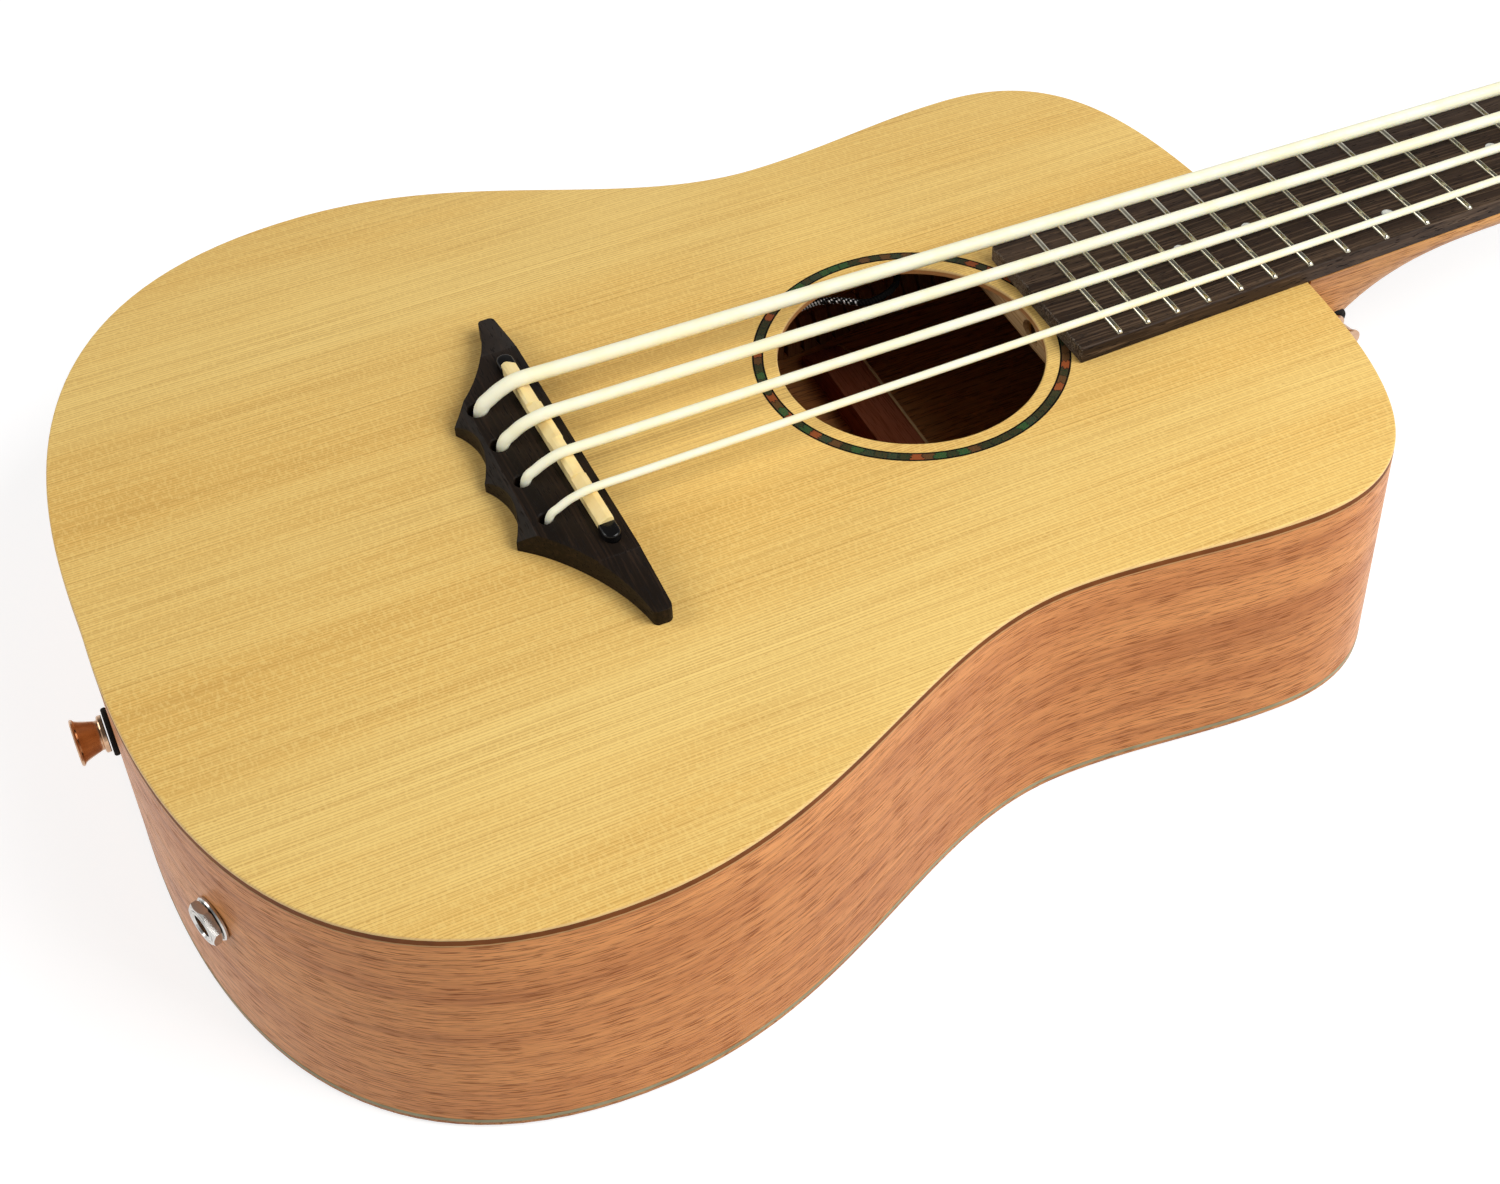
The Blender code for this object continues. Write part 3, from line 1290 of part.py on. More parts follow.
def key_matrix(index):
    """Return a key's frame: Z along its shaft to the button, X towards the gear."""
    sign = outward(index)
    turn = Matrix(((-1, 0, 0), (0, 0, sign), (0, sign, 0))).to_4x4()
    return post_matrix(index) @ Matrix.Translation((CENTRE_DISTANCE, 0, GEAR_MIDDLE)) @ turn


def rounded_rectangle(low, high, radius):
    """Return a rectangle's outline with round corners."""
    corners = (
        (high[0] - radius, high[1] - radius, 0),
        (low[0] + radius, high[1] - radius, 90),
        (low[0] + radius, low[1] + radius, 180),
        (high[0] - radius, low[1] + radius, 270),
    )
    points = []
    for x, y, start in corners:
        for turn in (0, 45, 90):
            angle = math.radians(start + turn)
            points.append((x + radius * math.cos(angle), y + radius * math.sin(angle)))
    return np.array(points)


def tooth_corners(root, tip, root_share):
    """Return a tooth's corners as radii and shares of its thickness."""
    return ((root, -root_share), (tip, -TOOTH_TIP_SHARE), (tip, TOOTH_TIP_SHARE), (root, root_share))


def gear_mesh():
    """Return a gear whose teeth lean by the worm's lead angle."""
    lean = math.atan(WORM_LEAD / (2 * math.pi * WORM_PITCH_RADIUS))
    twist = math.tan(lean) * GEAR_THICKNESS / 2 / PITCH_RADIUS
    tip = PITCH_RADIUS + TOOTH_ADDENDUM
    root = PITCH_RADIUS - TOOTH_DEDENDUM
    corners = tooth_corners(root, tip, GEAR_ROOT_SHARE)
    rings = []
    for z, turn in ((GEAR_LOW, -twist), (GEAR_HIGH, twist)):
        ring = []
        for tooth in range(GEAR_TEETH):
            middle = 2 * math.pi * (tooth + 0.5) / GEAR_TEETH + turn
            for radius, share in corners:
                angle = middle + share * TOOTH_THICKNESS / PITCH_RADIUS
                ring.append((radius * math.cos(angle), radius * math.sin(angle), z))
        rings.append(ring)
    return loft_mesh("gear", rings)


def worm_mesh():
    """Return the worm's thread, a ridge wound round the key's shaft."""
    tip = WORM_PITCH_RADIUS + TOOTH_ADDENDUM
    root = KEY_SHAFT_RADIUS - WORM_SINK
    corners = tooth_corners(root, tip, WORM_ROOT_SHARE)
    steps = round(WORM_TURNS * WORM_STEPS)
    rings = []
    for step in range(steps + 1):
        turn = step / WORM_STEPS - WORM_TURNS / 2
        angle = 2 * math.pi * turn
        rings.append([
            (radius * math.cos(angle), radius * math.sin(angle), WORM_LEAD * turn + share * TOOTH_THICKNESS)
            for radius, share in corners
        ])
    return loft_mesh("worm", rings)


def button_mesh(middle):
    """Return an oval, flattened button."""
    bm = bmesh.new()
    bmesh.ops.create_uvsphere(bm, u_segments=12, v_segments=7, radius=1)
    size = (BUTTON_THICKNESS / 2, BUTTON_WIDTH / 2, BUTTON_LENGTH / 2)
    bmesh.ops.scale(bm, vec=size, verts=bm.verts)
    bmesh.ops.translate(bm, vec=(0, 0, middle), verts=bm.verts)
    return mesh_of(bm, "button")


def make_post(index, name):
    """Post with its gear below the plate and its screw's head."""
    axis = new_empty(f"post_axis_{name}", post_matrix(index), FRAME)
    screw_end = GEAR_LOW - GEAR_SCREW_HEIGHT
    profile = [
        (0, POST_RISE),
        (POST_RADIUS - POST_ROUND, POST_RISE),
        (POST_RADIUS, POST_RISE - POST_ROUND),
        (POST_RADIUS, GEAR_HIGH),
        (GEAR_SCREW_RADIUS, GEAR_HIGH),
        (GEAR_SCREW_RADIUS, screw_end + GEAR_SCREW_ROUND),
        (GEAR_SCREW_RADIUS - GEAR_SCREW_ROUND, screw_end),
        (0, screw_end),
    ]
    post = turned(f"tuner_post_{name}", profile, "chrome", parent=axis, steps=16)
    join(post, place(f"gear_{name}", gear_mesh(), parent=axis))


def make_key(index, name):
    """Key: shaft with the worm between the ears, stem and button."""
    axis = new_empty(f"key_axis_{name}", key_matrix(index), FRAME)
    stem_start = EAR_OUT + FIT
    stem_end = EAR_OUT + KEY_REACH
    profile = [
        (0, stem_end + KEY_STEM_SINK),
        (KEY_STEM_RADIUS, stem_end + KEY_STEM_SINK),
        (KEY_STEM_RADIUS, stem_start),
        (KEY_SHAFT_RADIUS, stem_start),
        (KEY_SHAFT_RADIUS, -EAR_OUT - KEY_SHAFT_OUT),
        (0, -EAR_OUT - KEY_SHAFT_OUT),
    ]
    key = turned(f"tuner_key_{name}", profile, "chrome", parent=axis, steps=12)
    button = button_mesh(stem_end + BUTTON_LENGTH / 2)
    join(key, place(f"worm_{name}", worm_mesh(), parent=axis), place(f"button_{name}", button, parent=axis))


def make_plate(index, name):
    """Base plate on the headstock's back with two ears that carry the key."""
    matrix = post_matrix(index)
    low = (-PLATE_LENGTH / 2 + CENTRE_DISTANCE / 2, -PLATE_WIDTH / 2)
    high = (PLATE_LENGTH / 2 + CENTRE_DISTANCE / 2, PLATE_WIDTH / 2)
    outline = rounded_rectangle(low, high, PLATE_CORNER)
    mesh = prism_mesh("plate", [outline], PLATE_LOW, PLATE_HIGH)
    plate = place(f"tuner_plate_{name}", mesh, "chrome", matrix=matrix)
    ears = []
    for sign in (1, -1):
        middle = sign * EAR_SPREAD / 2
        ear_low = (CENTRE_DISTANCE - EAR_WIDTH / 2, middle - EAR_THICKNESS / 2, GEAR_MIDDLE - EAR_WIDTH / 2)
        ear_high = (CENTRE_DISTANCE + EAR_WIDTH / 2, middle + EAR_THICKNESS / 2, PLATE_LOW + FIT)
        ears.append(place(f"ear_{name}_{sign}", box_mesh("ear", ear_low, ear_high), matrix=matrix))
    join(plate, *ears)
    hole = cylinder_mesh("post_hole", POST_RADIUS + FIT, PLATE_LOW - OVERCUT, PLATE_HIGH + OVERCUT, 16)
    reach = EAR_OUT + OVERCUT
    shaft_hole = cylinder_mesh("shaft_hole", KEY_SHAFT_RADIUS + FIT, -reach, reach, 12)
    cut(
        plate,
        place(f"post_hole_{name}", hole, matrix=matrix),
        place(f"shaft_hole_{name}", shaft_hole, matrix=key_matrix(index)),
    )


def make_bushing(index, name):
    """Flanged bushing round the post on the headstock's face."""
    profile = [
        (BUSHING_FLANGE, FLANGE_TOP),
        (BUSHING_FLANGE, VENEER_FACE + FIT),
        (BUSHING_RADIUS, VENEER_FACE + FIT),
        (BUSHING_RADIUS, -BUSHING_DEPTH),
        (POST_RADIUS + FIT, -BUSHING_DEPTH),
        (POST_RADIUS + FIT, FLANGE_TOP),
    ]
    turned(f"tuner_bushing_{name}", profile, "chrome", post_matrix(index), steps=16, closed=True)


def make_post_holes():
    """Return the cutters of the four post holes through the headstock and its veneer."""
    holes = []
    for index, name in enumerate(STRING_NAMES):
        low = HEAD_BACK - OVERCUT
        mesh = cylinder_mesh("head_hole", BUSHING_RADIUS + FIT, low, VENEER_FACE + OVERCUT, 16)
        holes.append(place(f"head_hole_{name}", mesh, matrix=post_matrix(index)))
    return holes


def make_tuners():
    """Four open tuners, two on each side."""
    for index, name in enumerate(STRING_NAMES):
        make_plate(index, name)
        make_bushing(index, name)
        make_key(index, name)
        make_post(index, name)


# Strings
def winding_route(index, start):
    """Return the string's way from the nut to its post, its turns round the post and its end."""
    radius = STRING_RADII[index]
    reach = POST_RADIUS + FIT + radius
    pitch = 2 * radius + WINDING_GAP
    high = FLANGE_TOP + FIT + radius + WINDING_TURNS * pitch
    local = HEAD_MATRIX.inverted() @ start
    away = Vector((POST_US[index] - local.x, POST_VS[index] - local.y))
    sense = outward(index)
    travel = math.atan2(away.y, away.x) - sense * math.asin(reach / away.length)
    first = travel - sense * math.pi / 2
    steps = round(WINDING_TURNS * WINDING_STEPS)
    turns = []
    for step in range(steps + 1):
        angle = first + sense * 2 * math.pi * step / WINDING_STEPS
        turns.append(Vector((
            POST_US[index] + reach * math.cos(angle),
            POST_VS[index] + reach * math.sin(angle),
            high - pitch * step / WINDING_STEPS,
        )))
    last = turns[-1] - turns[-2]
    last.z = 0
    turns.append(turns[-1] + last.normalized() * STRING_TAIL)
    least = least_self_gap(turns, radius)
    print(f"string_{STRING_NAMES[index]}: least gap between turns {least * 1000:.2f} mm")
    return [HEAD_MATRIX @ point for point in turns]


def least_self_gap(points, radius):
    """Return the least gap between points of a tube that are over half a turn apart."""
    least = 1.0
    half_turn = WINDING_STEPS // 2
    for index, point in enumerate(points):
        for other in points[index + half_turn:]:
            least = min(least, (point - other).length - 2 * radius)
    return least


def make_strings():
    """Four strings, each whole: bead, hole, saddle, nut and turns round its post."""
    plate_low = INNER_HIGH_Z - BRIDGE_PLATE_THICKNESS
    for index, name in enumerate(STRING_NAMES):
        radius = STRING_RADII[index]
        x, y = string_hole(index)
        bead_start = plate_low - FIT - BEAD_LENGTH
        points = [Vector((x, y, bead_start + share * BEAD_LENGTH)) for share, _ in BEAD_SHAPE]
        swells = [swell for _, swell in BEAD_SHAPE]
        crown = SADDLE_MATRIX @ Vector((BREAK_OFFSETS[index], y, SADDLE_CROWN_Z + radius + FIT))
        nut_in = string_nut_point(index)
        nut_out = nut_in + Vector((NUT_THICKNESS, 0, 0))
        along = (nut_in - crown).normalized()
        rise = crown.z - BRIDGE_Z
        arch = [
            (x, y, TOP_Z),
            (x, y, BRIDGE_Z),
            *((x + forward, y, BRIDGE_Z + share * rise) for forward, share in zip(ARCH_FORWARD, ARCH_RISE)),
            tuple(crown),
            tuple(crown + along * ARCH_STRAIGHT),
        ]
        bend = smooth_route(arch, ARCH_STEP)
        route = points + bend + [nut_in, nut_out] + winding_route(index, nut_out)
        swells += [1.0] * (len(route) - len(swells))
        mesh = tube_mesh(f"string_{name}", route, radius, swells)
        place(f"string_{name}", mesh, "polymer", smooth=True)


# Strap buttons
def make_strap_button(where, matrix):
    """Make a conical button on a felt washer, and return the cutter of its screw's hole."""
    foot = 2 * FIT + FELT_THICKNESS
    top = foot + STRAP_LENGTH
    profile = [
        (0, top),
        (STRAP_RIM_RADIUS - STRAP_RIM_ROUND, top),
        (STRAP_RIM_RADIUS, top - STRAP_RIM_ROUND),
        (STRAP_RIM_RADIUS, top - STRAP_RIM_THICKNESS),
        (STRAP_WAIST_RADIUS, foot + STRAP_WAIST_HIGH),
        (STRAP_WAIST_RADIUS, foot + STRAP_WAIST_LOW),
        (STRAP_FOOT_RADIUS, foot + STRAP_FOOT_HEIGHT),
        (STRAP_FOOT_RADIUS, foot),
        (STRAP_SCREW_RADIUS, foot),
        (STRAP_SCREW_RADIUS, foot - STRAP_SCREW_LENGTH),
        (0, foot - STRAP_SCREW_LENGTH - STRAP_SCREW_RADIUS),
    ]
    turned(f"strap_button_{where}", profile, "chrome", matrix, steps=16)
    ring = ring_profile(FELT_RADIUS, STRAP_SCREW_RADIUS + FIT, FIT + FELT_THICKNESS, FIT)
    turned(f"strap_felt_{where}", ring, "felt", matrix, steps=16, closed=True)
    depth = STRAP_SCREW_LENGTH + 2 * OVERCUT
    hole = cylinder_mesh("strap_hole", STRAP_SCREW_RADIUS + FIT, -depth, 2 * OVERCUT, 12)
    return place(f"strap_hole_{where}", hole, matrix=matrix)


def make_heel_seat(matrix):
    """Return the cutter that makes the flat seat of the heel's button."""
    mesh = cylinder_mesh("heel_seat", FELT_RADIUS + FIT, 0, STRAP_LENGTH, 24)
    return place("heel_seat", mesh, matrix=matrix)


def build():
    """Build the whole instrument, from the shell outward."""
    tail_matrix = facing((-1, 0, 0), (TAIL_X, 0, TAIL_BUTTON_Z))
    heel_matrix = facing((0, -1, 0), (HEEL_X + HEEL_BUTTON_OUT, HEEL_BUTTON_Y, HEEL_BUTTON_Z))
    tail_hole = make_strap_button("tail", tail_matrix)
    heel_hole = make_strap_button("heel", heel_matrix)
    jack = jack_matrix()
    jack_hole = make_jack_wall_cutter(jack)
    mortise = make_mortise()
    channel, bore = make_rod_cutters()
    string_cutter = make_string_cutter()

    board = make_soundboard()
    make_rosette()
    make_edge_strip()
    make_back()
    make_sides({"side_bass": (tail_hole, mortise), "side_treble": (tail_hole, mortise, jack_hole)})
    make_linings()
    make_neck_block((mortise, bore, channel))
    make_tail_block((tail_hole,))
    make_top_braces(bore)
    make_back_braces()

    lead_cutter = make_bridge(string_cutter)
    make_saddle()
    make_saddle_ends()
    make_pickup()
    make_bridge_plate((string_cutter, lead_cutter))
    cut(board, string_cutter, lead_cutter)
    make_jack(jack)
    make_lead(jack)

    post_holes = make_post_holes()
    make_neck((channel, heel_hole, make_heel_seat(heel_matrix), *post_holes))
    make_truss_rod()
    make_fingerboard()
    make_nut()
    make_heel_cap()
    make_veneer(post_holes)
    make_tuners()
    make_strings()


build()
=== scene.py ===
"""Bass ukulele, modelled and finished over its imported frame, with its studio and camera.

Lengths are in metres. The pieces are drawn in the maker's own frame, X from the saddle line to the
headstock, Y to the thickest string and Z up from the back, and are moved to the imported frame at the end.
"""

import logging
import math
from dataclasses import dataclass
from enum import Enum
from typing import Callable, Optional, Sequence, Union

import bmesh
import bpy
from mathutils import Matrix, Quaternion, Vector


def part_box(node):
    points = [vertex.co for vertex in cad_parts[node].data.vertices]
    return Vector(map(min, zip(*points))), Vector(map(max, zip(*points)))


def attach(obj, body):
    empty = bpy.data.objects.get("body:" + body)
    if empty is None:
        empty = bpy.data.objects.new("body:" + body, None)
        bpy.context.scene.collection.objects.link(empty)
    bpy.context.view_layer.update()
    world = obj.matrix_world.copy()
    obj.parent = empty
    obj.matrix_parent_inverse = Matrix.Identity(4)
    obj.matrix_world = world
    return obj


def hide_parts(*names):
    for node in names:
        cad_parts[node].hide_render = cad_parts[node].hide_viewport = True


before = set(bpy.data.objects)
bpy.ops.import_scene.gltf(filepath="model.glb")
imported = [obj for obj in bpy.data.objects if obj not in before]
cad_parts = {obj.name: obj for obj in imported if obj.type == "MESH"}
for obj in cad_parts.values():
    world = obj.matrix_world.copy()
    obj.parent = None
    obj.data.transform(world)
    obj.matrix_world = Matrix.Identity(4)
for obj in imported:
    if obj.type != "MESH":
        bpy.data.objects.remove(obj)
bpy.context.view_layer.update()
LOG = logging.getLogger("bass_ukulele")

FIT = 0.0003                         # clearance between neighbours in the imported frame
OVERCUT = 0.002                      # how far a cutting tool reaches past what it cuts
SCALE_LENGTH = 0.534
FRET_COUNT = 20
BODY_FRET = 14
BODY_DEPTH = 0.0817
TOP_THICKNESS = 0.0026
BRIDGE_PLATE_THICKNESS = 0.0025
PLATE_LOW = BODY_DEPTH - TOP_THICKNESS - FIT - BRIDGE_PLATE_THICKNESS
BOARD_THICKNESS = 0.0058
BOARD_OVERHANG = 0.0141              # from the last fret to the board's end
BOARD_HALVES = (0.0280, 0.0210)      # half widths at the sound hole's end and at the nut
FRET_HEIGHT = 0.0011
STRING_CLEARANCE = 0.0006            # from the frets' height to a string at the nut
BUSHING_RISE = 0.0016
STRING_NAMES = ("e", "a", "d", "g")
STRING_RADII = (0.00225, 0.00190, 0.00152, 0.00120)
POST_PLACES = ((0.0470, 0.0235), (0.0970, 0.0215), (0.0970, -0.0215), (0.0470, -0.0235))
BOARD_END_X = SCALE_LENGTH * 2 ** (-FRET_COUNT / 12) - BOARD_OVERHANG
HEEL_X = SCALE_LENGTH * 2 ** (-BODY_FRET / 12)
MIDDLE_X = BOARD_END_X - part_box("fingerboard")[0][0]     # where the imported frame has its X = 0
BRAID_END_X = -0.1535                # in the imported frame: the lead's braid ends and its black cover starts

Point = Sequence[float]
Ring = list[Point]


def sun_tone(red: float, green: float, blue: float) -> tuple[float, float, float, float]:
    """Turn a colour as a screen shows it into the light values that a shader takes.

    Args:
        red: Red from 0 to 255.
        green: Green from 0 to 255.
        blue: Blue from 0 to 255.

    Returns:
        The linear colour with a full alpha.
    """
    linear = [(part / 255 / 12.92) if part < 10.3 else ((part / 255 + 0.055) / 1.055) ** 2.4
              for part in (red, green, blue)]
    return (linear[0], linear[1], linear[2], 1.0)


def curve_points(start: Point, first: Point, second: Point, end: Point,
                 steps: int) -> list[tuple[Vector, Vector]]:
    """Walk along a cubic curve in the plane.

    Args:
        start: Where the curve starts.
        first: Its first handle.
        second: Its second handle.
        end: Where it ends.
        steps: How many points, the end left out.

    Returns:
        Each point with its direction of travel.
    """
    a, b, c, d = (Vector(point[:2]) for point in (start, first, second, end))
    walk = []
    for step in range(steps):
        t = step / steps
        point = a * (1 - t) ** 3 + b * 3 * (1 - t) ** 2 * t + c * 3 * (1 - t) * t * t + d * t**3
        way = (b - a) * (1 - t) ** 2 + (c - b) * 2 * (1 - t) * t + (d - c) * t * t
        walk.append((point, way.normalized()))
    return walk


def smooth_route(points: Sequence[Point], step: float) -> list[Vector]:
    """Lay a smooth curve through a route's own points.

    Args:
        points: The route's points.
        step: About how far apart the new points are.

    Returns:
        The points of the curve.
    """
    knots = [Vector(point) for point in points]
    ends = [knots[0] * 2 - knots[1], *knots, knots[-1] * 2 - knots[-2]]
    route = []
    for before, start, end, after in zip(ends, ends[1:], ends[2:], ends[3:]):
        count = max(1, round((end - start).length / step))
        for index in range(count):
            t = index / count
            route.append(0.5 * (2 * start + (end - before) * t
                                + (2 * before - 5 * start + 4 * end - after) * t**2
                                + (3 * start - before - 3 * end + after) * t**3))
    route.append(knots[-1])
    return route


def facing(direction: Point, origin: Point) -> Matrix:
    """Return the matrix that turns Z to a direction and moves to an origin."""
    turn = Vector((0, 0, 1)).rotation_difference(Vector(direction)).to_matrix().to_4x4()
    return Matrix.Translation(origin) @ turn


def half_round(radius: float, centre: float, steps: int) -> list[tuple[float, float]]:
    """Return a half circle's points, from +X over +Y to -X, round a point on the Y axis."""
    angles = [math.pi * step / steps for step in range(steps + 1)]
    return [(radius * math.cos(angle), centre + radius * math.sin(angle)) for angle in angles]


def hexagon_outline(radius: float) -> list[tuple[float, float]]:
    """Return a hexagon's corners at a distance from its middle."""
    angles = [math.pi * step / 3 for step in range(6)]
    return [(radius * math.cos(angle), radius * math.sin(angle)) for angle in angles]


def string_share(index: int) -> float:
    """Return where a string lies across the set, from 0.5 for the thickest to -0.5."""
    return 0.5 - index / (len(STRING_NAMES) - 1)


def rectangle(half_x: float, half_y: float, x: float = 0.0, y: float = 0.0) -> list[tuple[float, float]]:
    """Return a rectangle's corners round a middle."""
    return [(x + way_x * half_x, y + way_y * half_y) for way_x, way_y in ((-1, -1), (1, -1), (1, 1), (-1, 1))]


class Signal:
    """A number that a shader works out, which takes part in arithmetic."""

    def __init__(self, graph: "Graph", socket: bpy.types.NodeSocket) -> None:
        """Wrap a socket of a graph."""
        self.graph = graph
        self.socket = socket

    def _math(self, operation: str, *values: "Value") -> "Signal":
        """Add a Math node and return its result."""
        node = self.graph.node("ShaderNodeMath", {"operation": operation}, dict(enumerate(values)))
        return Signal(self.graph, node.outputs[0])

    def __add__(self, other: "Value") -> "Signal":
        """Return the sum."""
        return self._math("ADD", self, other)

    __radd__ = __add__

    def __sub__(self, other: "Value") -> "Signal":
        """Return the difference."""
        return self._math("SUBTRACT", self, other)

    def __rsub__(self, other: "Value") -> "Signal":
        """Return the difference from a number."""
        return self._math("SUBTRACT", other, self)

    def __mul__(self, other: "Value") -> "Signal":
        """Return the product."""
        return self._math("MULTIPLY", self, other)

    __rmul__ = __mul__

    def __abs__(self) -> "Signal":
        """Return the size without the sign."""
        return self._math("ABSOLUTE", self)

    def most(self, other: "Value") -> "Signal":
        """Return the larger of two values."""
        return self._math("MAXIMUM", self, other)

    def wave(self) -> "Signal":
        """Return the sine."""
        return self._math("SINE", self)

    def whole(self) -> "Signal":
        """Return the whole number below."""
        return self._math("FLOOR", self)

    def remainder(self) -> "Signal":
        """Return what is left above the whole number."""
        return self._math("FRACT", self)

    def fade(self, low: float, high: float) -> "Signal":
        """Return 0 below low and 1 above high, with a soft passage, or the reverse where low is higher."""
        lower, upper, start, end = (low, high, 0.0, 1.0) if low < high else (high, low, 1.0, 0.0)
        settings = {"interpolation_type": "SMOOTHSTEP"}
        inputs = {"Value": self, "From Min": lower, "From Max": upper, "To Min": start, "To Max": end}
        return Signal(self.graph, self.graph.node("ShaderNodeMapRange", settings, inputs).outputs[0])


Value = Union[Signal, bpy.types.NodeSocket, float, Sequence[float]]


class Graph:
    """The nodes of one material or of the studio's air."""

    def __init__(self, name: str, air: Optional[bpy.types.World] = None) -> None:
        """Start an empty material of that name, or clear the air's nodes."""
        owner = air or bpy.data.materials.new(name)
        owner.use_nodes = True
        self.material = owner
        self.tree = owner.node_tree
        self.tree.nodes.clear()

    def node(self, kind: str, settings: Optional[dict] = None,
             inputs: Optional[dict] = None) -> bpy.types.Node:
        """Add a node.

        Args:
            kind: The node's type.
            settings: Its properties, and under "stops" a ramp's places and colours.
            inputs: Values or links of its sockets, by name or number.

        Returns:
            The node.
        """
        node = self.tree.nodes.new(kind)
        for key, value in (settings or {}).items():
            if key == "stops":
                ramp = node.color_ramp.elements
                while len(ramp) < len(value):
                    ramp.new(1.0)
                for element, (place, colour) in zip(ramp, value):
                    element.position = place
                    element.color = colour
            else:
                setattr(node, key, value)
        for key, value in (inputs or {}).items():
            socket = node.inputs[key]
            if isinstance(value, Signal):
                self.tree.links.new(value.socket, socket)
            elif isinstance(value, bpy.types.NodeSocket):
                self.tree.links.new(value, socket)
            else:
                socket.default_value = value
        return node

    def place(self, source: str = "Object") -> tuple[Signal, Signal, Signal]:
        """Return the three parts of a place on the piece: Object coordinates or its UV map."""
        place = self.node("ShaderNodeTexCoord").outputs[source]
        parts = self.node("ShaderNodeSeparateXYZ", inputs={0: place}).outputs
        return Signal(self, parts[0]), Signal(self, parts[1]), Signal(self, parts[2])

    def point(self, x: Value, y: Value, z: Value) -> bpy.types.NodeSocket:
        """Return a vector of three values."""
        return self.node("ShaderNodeCombineXYZ", inputs={0: x, 1: y, 2: z}).outputs[0]

    def noise(self, x: Value, y: Value, z: Value, detail: float = 2.0, rough: float = 0.5) -> Signal:
        """Return a noise at a place whose scale is already in its parts."""
        inputs = {"Vector": self.point(x, y, z), "Scale": 1.0, "Detail": detail, "Roughness": rough}
        return Signal(self, self.node("ShaderNodeTexNoise", inputs=inputs).outputs["Fac"])

    def cells(self, x: Value, y: Value, z: Value) -> Signal:
        """Return the distance to the middle of the nearest cell."""
        inputs = {"Vector": self.point(x, y, z), "Scale": 1.0}
        return Signal(self, self.node("ShaderNodeTexVoronoi", {"feature": "F1"}, inputs).outputs["Distance"])

    def blend(self, share: Value, first: Value, second: Value) -> bpy.types.NodeSocket:
        """Return a mix of two colours."""
        return self.node("ShaderNodeMix", {"data_type": "RGBA"}, {0: share, 6: first, 7: second}).outputs[2]

    def layers(self, base: Value, *coats: tuple[Value, Value]) -> Value:
        """Return a colour with coats laid over it, each as its share and its colour."""
        for share, coat in coats:
            base = self.blend(share, base, coat)
        return base

    def ramp(self, value: Value, stops: list, interpolation: str = "LINEAR") -> bpy.types.NodeSocket:
        """Return a colour from a ramp."""
        node = self.node("ShaderNodeValToRGB", {"stops": stops}, {0: value})
        node.color_ramp.interpolation = interpolation
        return node.outputs[0]

    def bump(self, height: Value, depth: float, strength: float = 1.0) -> bpy.types.NodeSocket:
        """Return the normal of a surface with a relief of a depth in metres."""
        inputs = {"Height": height, "Distance": depth, "Strength": strength}
        return self.node("ShaderNodeBump", inputs=inputs).outputs[0]

    def surface(self, colour: Value, rough: Value, extra: Optional[dict] = None) -> bpy.types.Material:
        """Close the material with its shader.

        Args:
            colour: Base colour.
            rough: Roughness.
            extra: Other sockets of the shader, by name.

        Returns:
            The finished material.
        """
        inputs = {"Base Color": colour, "Roughness": rough, **(extra or {})}
        shader = self.node("ShaderNodeBsdfPrincipled", inputs=inputs)
        self.node("ShaderNodeOutputMaterial", inputs={"Surface": shader.outputs[0]})
        return self.material


class Along(Enum):
    """Where a wood's grain runs."""

    X = "x"
    Y = "y"
    PIECE = "piece"


@dataclass(frozen=True)
class Finish:
    """A finish that is mixed once and shared by its pieces."""

    name: str

    def material(self) -> bpy.types.Material:
        """Return the finish's material, mixed on first use."""
        return bpy.data.materials.get(self.name) or self.mix(Graph(self.name))

    def mix(self, graph: Graph) -> bpy.types.Material:
        """Mix the material in a graph."""
        raise NotImplementedError


def along_grain(graph: Graph, along: Along) -> tuple[Signal, Signal, Signal]:
    """Return the place along the grain, across it and through the wood."""
    if along is Along.PIECE:
        return graph.place("UV")
    x, y, z = graph.place()
    return (y, x, z) if along is Along.Y else (x, y, z)


